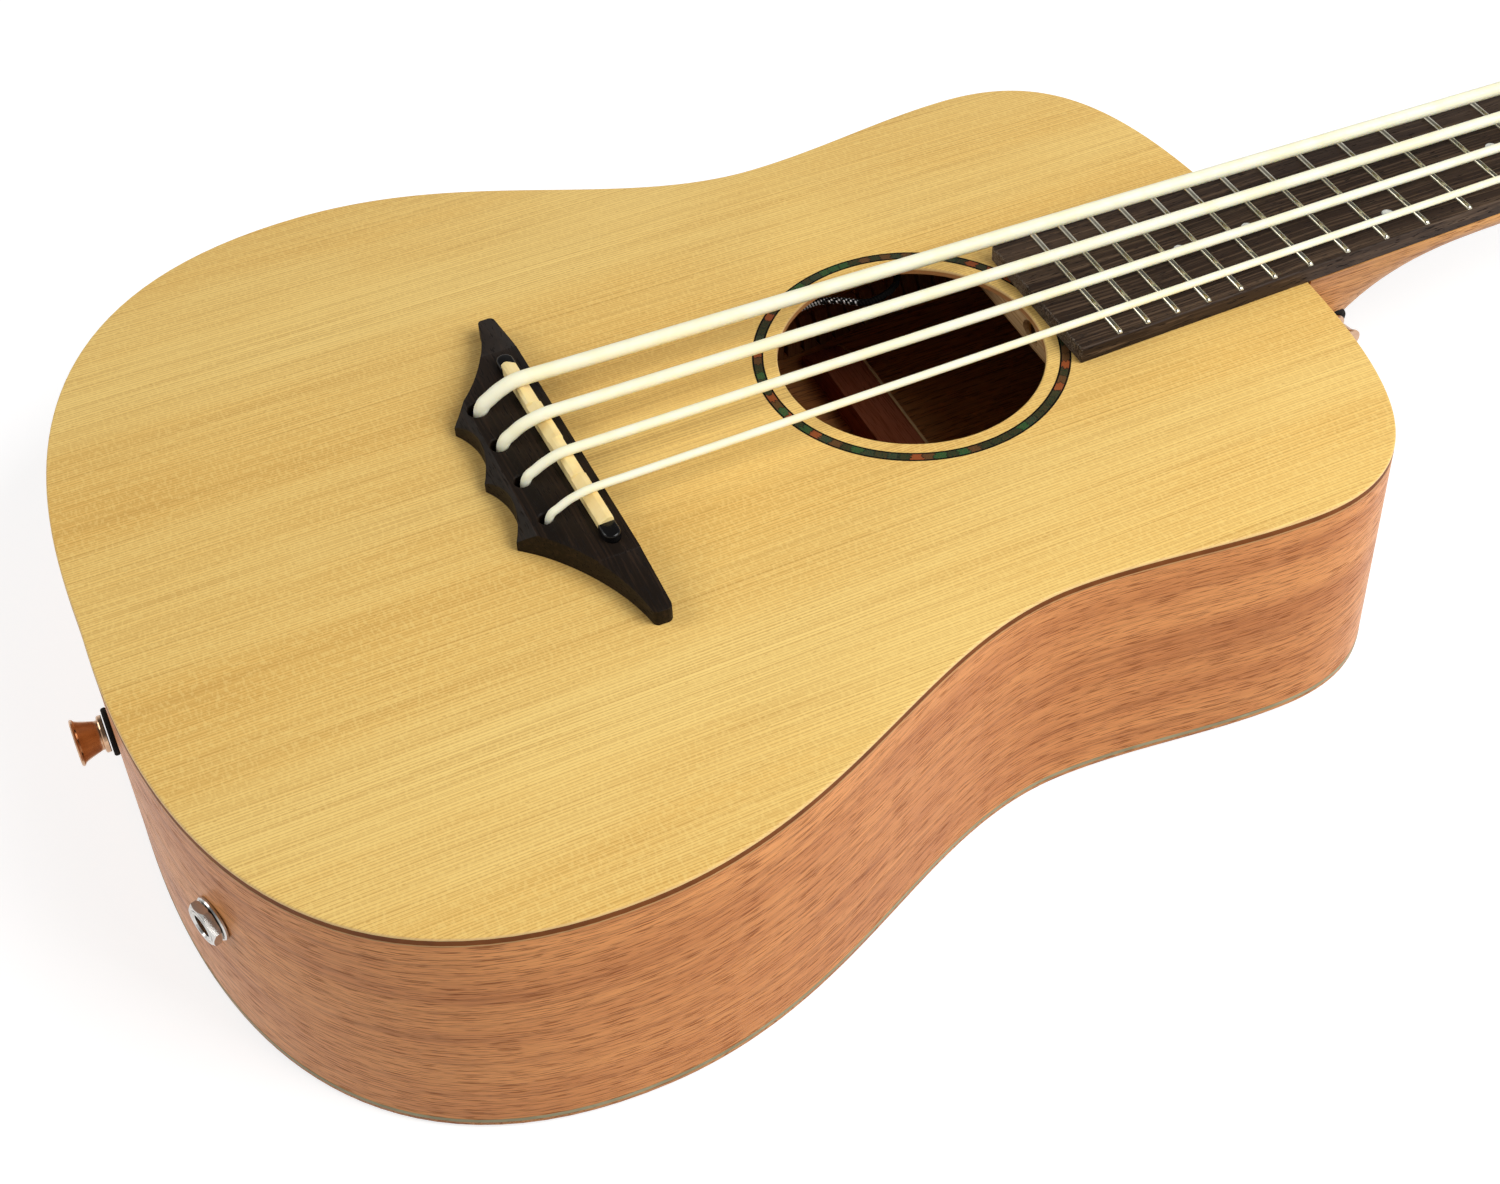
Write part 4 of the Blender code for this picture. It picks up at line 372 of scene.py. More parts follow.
@dataclass(frozen=True)
class Spruce(Finish):
    """Book-matched spruce: fine growth lines, amber bands and faint silk, under a satin varnish; a pale band on
    the rounded edges is partly lighter end grain, partly a painted highlight.
    """

    pale: tuple = sun_tone(248, 214, 132)
    amber: tuple = sun_tone(232, 182, 94)
    line: tuple = sun_tone(186, 134, 62)
    # lip: pale cream for the rounded edges, partly the lighter end grain and partly a painted highlight
    lip: tuple = sun_tone(240, 202, 140)
    ply: tuple = sun_tone(176, 112, 66)

    def mix(self, graph: Graph) -> bpy.types.Material:
        """Mix the material in a graph."""
        x, y, z = graph.place()
        half = abs(y)
        drift = graph.noise(x * 3.0, half * 20.0, 3.1) * 0.006
        ring = half + drift
        lines = graph.noise(x * 1.6, ring * 1050.0, z * 40.0, 2.0, 0.65)
        growth = (ring * 6600.0 + lines * 5.0).wave()
        hair = graph.noise(x * 14.0, ring * 3000.0, 1.0, 1.0, 0.5)
        band = graph.noise(x * 1.3, half * 24.0 + drift * 200.0, 5.0, 3.0, 0.55)
        cloud = graph.noise(x * 11.0, half * 19.0, 8.0, 3.0, 0.6)
        silk = graph.noise(x * 1100.0, half * 420.0, 2.0, 2.0, 0.6)
        rare = graph.cells(x * 150.0, half * 420.0, 0.3)
        colour = graph.layers(
            self.pale,
            (band.fade(0.30, 0.72) * 0.62, self.amber),
            (cloud.fade(0.35, 0.75) * 0.30, self.amber),
            (lines.fade(0.46, 0.72) * 0.22, self.line),
            (growth.fade(0.2, 0.95) * 0.42, self.line),
            (hair.fade(0.46, 0.70) * 0.36, self.line),
            (silk.fade(0.46, 0.66) * 0.42, self.pale),
            (rare.fade(0.11, 0.05) * 0.40, self.line),
            (half.fade(0.0004, 0.0001) * 0.30, self.line),
            # the band just under the top face, on the rounded edges: partly lighter end grain, partly a painted
            # highlight
            (z.fade(BODY_DEPTH - 0.00012, BODY_DEPTH - 0.0004) * 0.8, self.lip),
            (z.fade(BODY_DEPTH - 0.0009, BODY_DEPTH - 0.0012) * 0.85, self.ply),
        )
        relief = lines * 0.6 + hair * 0.4
        extra = {"Normal": graph.bump(relief, 0.00005, 0.4), "Coat Weight": 0.08, "Coat Roughness": 0.2,
                 "Specular IOR Level": 0.15}
        return graph.surface(colour, 0.36 + silk * 0.12, extra)


@dataclass(frozen=True)
class Mahogany(Finish):
    """Mahogany: short dark pores in rows along the grain and a slow ribbon of lighter wood."""

    along: Along = Along.X
    pale: tuple = sun_tone(242, 166, 100)
    deep: tuple = sun_tone(206, 130, 74)
    pore: tuple = sun_tone(122, 58, 26)
    sheen: float = 0.06
    rough: float = 0.36

    def mix(self, graph: Graph) -> bpy.types.Material:
        """Mix the material in a graph."""
        u, v, w = along_grain(graph, self.along)
        drift = graph.noise(u * 5.0, v * 14.0, w * 14.0) * 0.010
        across = v + drift
        ribbon = graph.noise(u * 4.5, across * 60.0, w * 60.0, 3.0, 0.55)
        fibre = graph.noise(u * 70.0, across * 2600.0, w * 2200.0, 2.0, 0.6)
        pores = graph.noise(u * 105.0, across * 2300.0, w * 2100.0, 2.0, 0.6)
        crowd = graph.noise(u * 12.0, across * 120.0, w * 90.0, 2.0, 0.5)
        shade = graph.noise(u * 42.0, across * 26.0, w * 20.0, 2.0, 0.5)
        vein = graph.noise(u * 9.0, across * 420.0, w * 380.0, 3.0, 0.6)
        mask = pores.fade(0.52, 0.62) * crowd.fade(0.10, 0.46)
        colour = graph.layers(
            self.deep,
            (ribbon.fade(0.26, 0.74), self.pale),
            (shade.fade(0.40, 0.72) * 0.30, self.pale),
            (vein.fade(0.48, 0.72) * 0.34, self.pore),
            (fibre.fade(0.42, 0.74) * 0.30, self.pore),
            (mask * 0.64, self.pore),
        )
        extra = {"Normal": graph.bump(1.0 - mask * 0.8 - fibre * 0.2, 0.00008, 0.6),
                 "Coat Weight": self.sheen, "Coat Roughness": 0.16, "Specular IOR Level": 0.12}
        return graph.surface(colour, self.rough + mask * 0.25, extra)


@dataclass(frozen=True)
class Rosewood(Finish):
    """Dark rosewood with fine streaks and open pores, oiled."""

    along: Along = Along.X
    dark: tuple = sun_tone(44, 32, 25)
    streak: tuple = sun_tone(104, 84, 66)
    pore: tuple = sun_tone(18, 12, 9)
    rough: float = 0.5
    end_x: float = -9.0

    def mix(self, graph: Graph) -> bpy.types.Material:
        """Mix the material in a graph."""
        u, v, w = along_grain(graph, self.along)
        drift = graph.noise(u * 9.0, v * 18.0, w * 18.0) * 0.008
        across = v + drift
        figure = graph.noise(u * 16.0, across * 1100.0, w * 700.0, 3.0, 0.6)
        broad = graph.noise(u * 4.0, across * 60.0, w * 50.0, 2.0, 0.5)
        pores = graph.noise(u * 240.0, across * 2400.0, w * 2000.0, 1.0, 0.5)
        mask = pores.fade(0.58, 0.70)
        colour = graph.layers(
            self.dark,
            (figure.fade(0.46, 0.72) * 0.75, self.streak),
            (broad.fade(0.45, 0.70) * 0.35, self.streak),
            (mask * 0.8, self.pore),
        )
        speckle = graph.noise(v * 2600.0, w * 2600.0, 0.5, 2.0, 0.7)
        sawn = u.fade(self.end_x + 0.0006, self.end_x + 0.0002)
        colour = graph.blend(sawn * speckle.fade(0.44, 0.66) * 0.55, colour, sun_tone(150, 138, 124))
        extra = {"Normal": graph.bump(1.0 - mask, 0.00010, 0.6), "Specular IOR Level": 0.15}
        return graph.surface(colour, self.rough + mask * 0.3, extra)


@dataclass(frozen=True)
class BareWood(Finish):
    """Unvarnished wood inside the body."""

    along: Along = Along.X
    pale: tuple = sun_tone(214, 178, 128)
    line: tuple = sun_tone(170, 124, 76)

    def mix(self, graph: Graph) -> bpy.types.Material:
        """Mix the material in a graph."""
        u, v, w = along_grain(graph, self.along)
        lines = graph.noise(u * 4.0, v * 800.0, w * 800.0, 2.0, 0.6)
        fuzz = graph.noise(u * 300.0, v * 1800.0, w * 1800.0, 2.0, 0.6)
        colour = graph.blend(lines.fade(0.42, 0.70) * 0.8, self.pale, self.line)
        colour = graph.blend(fuzz.fade(0.45, 0.8) * 0.25, colour, self.line)
        extra = {"Normal": graph.bump(fuzz, 0.00010, 0.5), "Specular IOR Level": 0.2}
        return graph.surface(colour, 0.72, extra)


@dataclass(frozen=True)
class Shell(Finish):
    """Blue-green shell laid in short pieces round a ring, with red fire in some of them."""

    segments: float = 84.0

    def mix(self, graph: Graph) -> bpy.types.Material:
        """Mix the material in a graph."""
        u, v, _ = graph.place("UV")
        lean = u * self.segments + graph.noise(u * 90.0, v * 3.0, 0.0, 1.0) * 0.9
        pick = graph.node("ShaderNodeTexWhiteNoise", {"noise_dimensions": "1D"},
                          {"W": lean.whole()}).outputs["Value"]
        stops = [(0.0, sun_tone(14, 18, 14)), (0.22, sun_tone(22, 84, 44)), (0.36, sun_tone(20, 44, 38)),
                 (0.50, sun_tone(176, 74, 34)), (0.64, sun_tone(30, 24, 18)), (0.80, sun_tone(104, 52, 28))]
        base = graph.ramp(pick, stops, "CONSTANT")
        swirl = graph.noise(u * 520.0, v * 14.0, 2.0, 3.0, 0.65)
        fire = graph.ramp(swirl, [(0.36, sun_tone(8, 12, 9)), (0.50, sun_tone(34, 92, 52)),
                                  (0.62, sun_tone(150, 70, 36)), (0.74, sun_tone(120, 150, 96))])
        colour = graph.blend(0.4, base, fire)
        gap = abs(lean.remainder() - 0.5).fade(0.43, 0.47)
        colour = graph.blend(gap * 0.9, colour, sun_tone(14, 12, 12))
        extra = {"Coat Weight": 0.1, "Coat Roughness": 0.1, "Specular IOR Level": 0.3}
        return graph.surface(colour, 0.3, extra)


@dataclass(frozen=True)
class Pearl(Finish):
    """Pale pearl of the position dots."""

    def mix(self, graph: Graph) -> bpy.types.Material:
        """Mix the material in a graph."""
        x, y, z = graph.place()
        swirl = graph.noise(x * 700.0, y * 500.0, z * 300.0, 3.0, 0.6)
        colour = graph.ramp(swirl, [(0.3, sun_tone(150, 152, 150)), (0.5, sun_tone(206, 208, 202)),
                                    (0.7, sun_tone(226, 220, 214))])
        return graph.surface(colour, 0.22, {"Coat Weight": 0.5, "Coat Roughness": 0.1})


@dataclass(frozen=True)
class Moulded(Finish):
    """A plain moulded or polished surface with faint clouds and fine marks."""

    base: tuple = sun_tone(20, 20, 20)
    cloud: tuple = sun_tone(30, 30, 30)
    rough: float = 0.25
    coat: float = 0.0
    grain: float = 0.0
    glow: float = 0.0
    gloss: float = 0.35

    def mix(self, graph: Graph) -> bpy.types.Material:
        """Mix the material in a graph."""
        x, y, z = graph.place()
        clouds = graph.noise(x * 90.0, y * 90.0, z * 90.0, 3.0, 0.6)
        fine = graph.noise(x * 3000.0, y * 3000.0, z * 3000.0, 2.0, 0.6)
        colour = graph.blend(clouds.fade(0.35, 0.7), self.base, self.cloud)
        extra = {"Normal": graph.bump(fine, 0.00002 + self.grain * 0.0004, 0.3 + self.grain),
                 "Coat Weight": self.coat, "Coat Roughness": 0.1, "Specular IOR Level": self.gloss}
        if self.glow:
            extra.update({"Subsurface Weight": self.glow, "Subsurface Radius": (0.9, 0.7, 0.4),
                          "Subsurface Scale": 0.002})
        return graph.surface(colour, self.rough + fine * 0.06, extra)


@dataclass(frozen=True)
class Plated(Finish):
    """Bright or plain metal with fine turning marks and faint smudges."""

    base: tuple = sun_tone(206, 204, 200)
    shade: tuple = sun_tone(186, 184, 178)
    rough: float = 0.12

    def mix(self, graph: Graph) -> bpy.types.Material:
        """Mix the material in a graph."""
        x, y, z = graph.place()
        smudge = graph.noise(x * 160.0, y * 160.0, z * 160.0, 3.0, 0.6)
        mark = graph.noise(x * 900.0, y * 900.0, z * 5200.0, 1.0, 0.5)
        colour = graph.blend(smudge.fade(0.35, 0.75), self.base, self.shade)
        rough = self.rough + smudge * 0.08
        return graph.surface(colour, rough, {"Metallic": 1.0, "Normal": graph.bump(mark, 0.00001, 0.25)})


@dataclass(frozen=True)
class Braid(Finish):
    """Tinned braid of the pickup's lead."""

    def mix(self, graph: Graph) -> bpy.types.Material:
        """Mix the material in a graph."""
        x, y, z = graph.place()
        over = (x * 3000.0 + y * 3000.0).wave()
        under = (x * 3000.0 - y * 3000.0 + z * 2000.0).wave()
        weave = over * under
        bare = x.fade(BRAID_END_X - 0.0004, BRAID_END_X)
        colour = graph.blend(weave.fade(0.1, 0.6), sun_tone(26, 24, 25), sun_tone(226, 224, 222))
        colour = graph.blend(bare, colour, sun_tone(9, 8, 8))
        extra = {"Metallic": 0.5 - bare * 0.5, "Specular IOR Level": 0.1,
                 "Normal": graph.bump(weave, 0.00025, 0.8)}
        return graph.surface(colour, 0.34 + bare * 0.5, extra)


class Paint(Enum):
    """The finishes of the instrument."""

    TOP = Spruce("spruce_top")
    RIB = Mahogany("mahogany_rib", along=Along.PIECE)
    BACK = Mahogany("mahogany_back", pale=sun_tone(222, 158, 96), deep=sun_tone(186, 122, 70))
    NECK = Mahogany("mahogany_neck", pale=sun_tone(240, 180, 110), deep=sun_tone(210, 146, 82))
    INSIDE = Mahogany("mahogany_bare", along=Along.Y, pale=sun_tone(178, 104, 72), deep=sun_tone(146, 78, 52),
                      sheen=0.0, rough=0.65)
    KERFED = Mahogany("kerfed_lining", along=Along.PIECE, pale=sun_tone(190, 140, 92),
                      deep=sun_tone(150, 98, 60), sheen=0.0, rough=0.7)
    BOARD = Rosewood("rosewood_board", end_x=BOARD_END_X - MIDDLE_X)
    BRIDGE = Rosewood("rosewood_bridge", along=Along.Y, dark=sun_tone(21, 14, 8), streak=sun_tone(48, 34, 23))
    VENEER = Rosewood("rosewood_veneer", rough=0.36)
    BRACE_X = BareWood("spruce_brace_long")
    BRACE_Y = BareWood("spruce_brace_cross", along=Along.Y)
    STRIP = Moulded("dark_edge_strip", sun_tone(134, 76, 32), sun_tone(114, 62, 24), 0.5, gloss=0.1)
    HAIRLINE = Moulded("pale_edge_line", sun_tone(206, 160, 106), sun_tone(190, 142, 92), 0.5, gloss=0.2)
    BACK_LINE = Moulded("back_edge_line", sun_tone(168, 162, 128), sun_tone(150, 142, 108), 0.45, gloss=0.2)
    BLACK_LINE = Moulded("black_line", sun_tone(14, 11, 10), sun_tone(20, 17, 15), 0.5, gloss=0.1)
    SHELL = Shell("shell_ring")
    DOT = Pearl("pearl_dot")
    SADDLE = Moulded("polished_bone", sun_tone(252, 228, 164), sun_tone(246, 214, 142), 0.3, 0.0, 0.0, 0.12)
    ENDS = Moulded("black_end_piece", sun_tone(9, 8, 8), sun_tone(14, 13, 13), 0.2, gloss=0.3)
    STRING = Moulded("string_polymer", sun_tone(255, 252, 224), sun_tone(254, 248, 210), 0.4, 0.0, 0.0, 0.2)
    CHROME = Plated("bright_chrome")
    BUTTON = Plated("warm_nickel", sun_tone(206, 168, 136), sun_tone(186, 146, 114))
    STEEL = Plated("fret_steel", sun_tone(222, 216, 196), sun_tone(198, 192, 170), 0.16)
    ROD = Plated("rod_steel", sun_tone(150, 150, 150), sun_tone(120, 120, 122), 0.4)
    BRASS = Plated("plain_brass", sun_tone(206, 172, 104), sun_tone(176, 140, 78), 0.25)
    FELT = Moulded("black_felt", sun_tone(16, 15, 15), sun_tone(28, 27, 27), 0.9, 0.0, 1.0)
    LEAD = Braid("lead_braid")


class Bench:
    """The work steps, each done with Blender's own operators."""

    @staticmethod
    def only(piece: bpy.types.Object) -> None:
        """Select one piece alone."""
        bpy.ops.object.select_all(action="DESELECT")
        piece.select_set(True)
        bpy.context.view_layer.objects.active = piece

    @staticmethod
    def close_mesh(threshold: float) -> None:
        """Merge the doubled points of the piece in Edit Mode, turn its faces outward and leave that mode."""
        bpy.ops.mesh.select_all(action="SELECT")
        bpy.ops.mesh.remove_doubles(threshold=threshold)
        bpy.ops.mesh.normals_make_consistent(inside=False)
        bpy.ops.object.mode_set(mode="OBJECT")

    @staticmethod
    def loft(name: str, rings: Sequence[Ring], closed: bool = False,
             uv: Optional[Callable[[int, int], tuple[float, float]]] = None) -> bpy.types.Object:
        """Extrude a ring from section to section.

        Args:
            name: The piece's name.
            rings: Sections of equally many points.
            closed: True where the last section joins the first, and the piece has no ends.
            uv: Gives a place on the UV map for a section and a point of it.

        Returns:
            The piece.
        """
        bpy.ops.object.select_all(action="DESELECT")
        bpy.ops.mesh.primitive_circle_add(vertices=len(rings[0]), fill_type="NOTHING" if closed else "NGON",
                                          location=(0, 0, 0))
        piece = bpy.context.object
        piece.name = piece.data.name = name
        bpy.ops.object.mode_set(mode="EDIT")
        bpy.ops.mesh.select_all(action="SELECT")
        form = bmesh.from_edit_mesh(piece.data)
        seat = form.verts.layers.int.new("seat")
        section = form.verts.layers.int.new("section")
        for index, vert in enumerate(form.verts):
            vert[seat] = index
            vert.co = rings[0][index]
        for step, ring in enumerate([*rings[1:], *([rings[0]] if closed else [])], 1):
            bpy.ops.mesh.extrude_region_move()
            form = bmesh.from_edit_mesh(piece.data)
            seat = form.verts.layers.int["seat"]
            section = form.verts.layers.int["section"]
            for vert in form.verts:
                if vert.select:
                    vert.co = ring[vert[seat]]
                    vert[section] = step
        layer = form.loops.layers.uv.verify()
        if uv:
            for face in form.faces:
                for loop in face.loops:
                    loop[layer].uv = uv(loop.vert[section], loop.vert[seat])
        form.verts.layers.int.remove(form.verts.layers.int["seat"])
        form.verts.layers.int.remove(form.verts.layers.int["section"])
        bmesh.update_edit_mesh(piece.data)
        Bench.close_mesh(1e-7)
        return piece

    @staticmethod
    def prism(name: str, outline: Sequence[Point], low: float, high: float) -> bpy.types.Object:
        """Extrude a flat outline from one height to another."""
        return Bench.loft(name, [[(p[0], p[1], z) for p in outline] for z in (low, high)])

    @staticmethod
    def turned(name: str, profile: Sequence[Point], matrix: Optional[Matrix] = None, steps: int = 64,
               ring: bool = False) -> bpy.types.Object:
        """Spin a profile round Z.

        Args:
            name: The piece's name.
            profile: Radii and heights.
            matrix: Where the piece goes.
            steps: Steps of the spin.
            ring: True where the profile closes on itself.

        Returns:
            The piece.
        """
        bpy.ops.object.select_all(action="DESELECT")
        bpy.ops.mesh.primitive_circle_add(vertices=len(profile), fill_type="NOTHING", location=(0, 0, 0))
        piece = bpy.context.object
        piece.name = piece.data.name = name
        bpy.ops.object.mode_set(mode="EDIT")
        form = bmesh.from_edit_mesh(piece.data)
        form.verts.ensure_lookup_table()
        for vert, (radius, height) in zip(form.verts, profile):
            vert.co = (radius, 0, height)
        if not ring:
            ends = {form.verts[0], form.verts[len(profile) - 1]}
            form.edges.remove(next(edge for edge in form.edges if set(edge.verts) == ends))
        bmesh.update_edit_mesh(piece.data)
        bpy.ops.mesh.select_all(action="SELECT")
        bpy.ops.mesh.spin(steps=steps, angle=2 * math.pi, center=(0, 0, 0), axis=(0, 0, 1))
        Bench.close_mesh(1e-6)
        Bench.move(piece, matrix or Matrix())
        return piece

    @staticmethod
    def tube(name: str, points: Sequence[Vector], radius: float, sides: int = 4,
             swells: Optional[Sequence[float]] = None) -> bpy.types.Object:
        """Bend a round bar along a route.

        Args:
            name: The piece's name.
            points: The route.
            radius: The bar's radius.
            sides: Resolution of its round, 4 for 12 sides.
            swells: How many times thicker the bar is at each point.

        Returns:
            The piece, as a mesh.
        """
        curve = bpy.data.curves.new(name, "CURVE")
        curve.dimensions = "3D"
        curve.bevel_depth = radius
        curve.bevel_resolution = sides
        curve.use_fill_caps = True
        spline = curve.splines.new("POLY")
        spline.points.add(len(points) - 1)
        for index, (knot, point) in enumerate(zip(spline.points, points)):
            knot.co = (*point, 1.0)
            knot.radius = swells[index] if swells else 1.0
        piece = bpy.data.objects.new(name, curve)
        bpy.context.scene.collection.objects.link(piece)
        Bench.only(piece)
        bpy.ops.object.convert(target="MESH")
        piece = bpy.context.object
        bpy.ops.object.mode_set(mode="EDIT")
        Bench.close_mesh(1e-7)
        return piece

    @staticmethod
    def move(piece: bpy.types.Object, matrix: Matrix) -> bpy.types.Object:
        """Move a piece and apply its place to the mesh."""
        piece.matrix_world = matrix
        Bench.only(piece)
        bpy.ops.object.transform_apply(location=True, rotation=True, scale=True)
        return piece

    @staticmethod
    def combine(piece: bpy.types.Object, tool: bpy.types.Object, how: str = "DIFFERENCE") -> bpy.types.Object:
        """Cut a piece with a tool, or join the two."""
        step = piece.modifiers.new("combine", "BOOLEAN")
        step.operation = how
        step.object = tool
        step.solver = "EXACT"
        Bench.only(piece)
        bpy.ops.object.modifier_apply(modifier=step.name)
        bpy.data.objects.remove(tool, do_unlink=True)
        return piece

    @staticmethod
    def round_edges(piece: bpy.types.Object, width: float, segments: int = 3,
                    angle: float = 35.0) -> bpy.types.Object:
        """Round the edges that turn by more than an angle."""
        step = piece.modifiers.new("round", "BEVEL")
        step.width = width
        step.segments = segments
        step.limit_method = "ANGLE"
        step.angle_limit = math.radians(angle)
        step.miter_outer = "MITER_ARC"
        Bench.only(piece)
        bpy.ops.object.modifier_apply(modifier=step.name)
        return piece

    @staticmethod
    def unite(name: str, pieces: Sequence[bpy.types.Object]) -> bpy.types.Object:
        """Join loose pieces to one object."""
        bpy.ops.object.select_all(action="DESELECT")
        for piece in pieces:
            piece.select_set(True)
        bpy.context.view_layer.objects.active = pieces[0]
        bpy.ops.object.join()
        pieces[0].name = pieces[0].data.name = name
        return pieces[0]

    @staticmethod
    def copy(piece: bpy.types.Object, name: str, matrix: Matrix) -> bpy.types.Object:
        """Copy a piece with a mesh of its own."""
        twin = piece.copy()
        twin.data = piece.data.copy()
        twin.name = twin.data.name = name
        bpy.context.scene.collection.objects.link(twin)
        return Bench.move(twin, matrix)

    @staticmethod
    def of_node(node: str) -> bpy.types.Object:
        """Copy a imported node, merged, in the maker's frame."""
        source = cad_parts[node]
        twin = bpy.data.objects.new(f"{node}_worked", source.data.copy())
        bpy.context.scene.collection.objects.link(twin)
        Bench.only(twin)
        bpy.ops.object.mode_set(mode="EDIT")
        bpy.ops.mesh.select_all(action="SELECT")
        bpy.ops.mesh.remove_doubles(threshold=1e-6)
        bpy.ops.mesh.dissolve_limited(angle_limit=math.radians(0.5))
        bpy.ops.object.mode_set(mode="OBJECT")
        return Bench.move(twin, Matrix.Translation((MIDDLE_X, 0, 0)))

    @staticmethod
    def hand_over(piece: bpy.types.Object, paint: Paint, node: str, body: str = "body", replace: bool = True,
                  angle: float = 32.0) -> None:
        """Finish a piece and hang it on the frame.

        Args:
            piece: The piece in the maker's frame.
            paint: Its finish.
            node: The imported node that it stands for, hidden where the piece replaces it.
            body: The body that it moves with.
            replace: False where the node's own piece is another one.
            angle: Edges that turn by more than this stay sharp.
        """
        Bench.move(piece, Matrix.Translation((-MIDDLE_X, 0, 0)))
        Bench.only(piece)
        bpy.ops.object.shade_smooth_by_angle(angle=math.radians(angle))
        piece.data.materials.clear()
        piece.data.materials.append(paint.value.material())
        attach(piece, body)
        if replace:
            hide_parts(node)
        LOG.info("%s: %d faces, %s", piece.name, len(piece.data.polygons), paint.value.name)

    @staticmethod
    def dress(node: str, paint: Paint) -> None:
        """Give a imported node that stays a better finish."""
        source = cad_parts[node]
        material = paint.value.material()
        if not source.material_slots:
            source.data.materials.append(material)
        for slot in source.material_slots:
            slot.material = material
        LOG.info("%s: kept, %s", node, paint.value.name)


@dataclass(frozen=True)
class BodyOutline:
    """The body's plan outline, the same on both sides."""

    tail_x: float = -0.1378
    tail_flat: float = 0.0244
    tail_swell: float = 0.1113
    lower: tuple = (-0.0344, 0.1487)
    lower_swell: float = 0.0571
    waist: tuple = (0.1063, 0.1061)
    waist_to_tail: float = 0.0465
    waist_to_head: float = 0.0259
    upper: tuple = (0.1817, 0.1128)
    upper_reach: float = 0.0258
    shoulder_swell: float = 0.0449
    shoulder_flat: float = 0.0745
    steps: int = 44

    def half(self) -> list[tuple[Vector, Vector]]:
        """Return the +Y half's points and outward directions, from the tail's middle to the heel."""
        tail, heel = (self.tail_x, 0), (HEEL_X, 0)
        (lower_x, lower_y), (waist_x, waist_y), (upper_x, upper_y) = self.lower, self.waist, self.upper
        spans = (
            (tail, (self.tail_x, self.tail_flat), (lower_x - self.tail_swell, lower_y), self.lower),
            (self.lower, (lower_x + self.lower_swell, lower_y),
             (waist_x - self.waist_to_tail, waist_y), self.waist),
            (self.waist, (waist_x + self.waist_to_head, waist_y),
             (upper_x - self.upper_reach, upper_y), self.upper),
            (self.upper, (upper_x + self.shoulder_swell, upper_y), (HEEL_X, self.shoulder_flat), heel),
        )
        walk = [step for span in spans for step in curve_points(*span, self.steps)]
        walk.append((Vector(heel), Vector((0, -1))))
        return [(point, Vector((-way.y, way.x))) for point, way in walk]

    def inset(self, inset: float, sign: int = 1) -> list[tuple[float, float]]:
        """Return a half's points moved inward, on the side that the sign gives."""
        return [(point.x - out.x * inset, sign * (point.y - out.y * inset)) for point, out in self.half()]

    def ring(self, inset: float, z: float) -> Ring:
        """Return the whole outline moved inward, at a height."""
        half = self.inset(inset)
        return [(x, y, z) for x, y in half + [(x, -y) for x, y in reversed(half[1:-1])]]

    def distances(self) -> list[float]:
        """Return how far along the half each of its points lies."""
        total, along = 0.0, [0.0]
        points = [point for point, _ in self.half()]
        for before, after in zip(points, points[1:]):
            total += (after - before).length
            along.append(total)
        return along

    def stations(self, places: Sequence[float]) -> list[tuple[Vector, Vector]]:
        """Return points and outward directions at distances along the half."""
        along, walk = self.distances(), self.half()
        found = []
        for place in places:
            index = max(1, next((i for i, far in enumerate(along) if far >= place), len(along) - 1))
            share = (place - along[index - 1]) / (along[index] - along[index - 1])
            point = walk[index - 1][0].lerp(walk[index][0], share)
            out = walk[index - 1][1].lerp(walk[index][1], share).normalized()
            found.append((point, out))
        return found

    def tail_station(self, y: float) -> tuple[Vector, Vector]:
        """Return the point of the tail's curve at a distance from the middle, on the side of its sign."""
        walk = self.half()
        index = next(i for i, (point, _) in enumerate(walk) if point.y >= abs(y))
        (low, low_out), (high, high_out) = walk[index - 1], walk[index]
        share = (abs(y) - low.y) / (high.y - low.y)
        point, out = low.lerp(high, share), low_out.lerp(high_out, share).normalized()
        sign = math.copysign(1, y)
        return Vector((point.x, point.y * sign)), Vector((out.x, out.y * sign))


def side_sign(side: str) -> int:
    """Return 1 for the bass side and -1 for the treble side."""
    return 1 if side == "bass" else -1


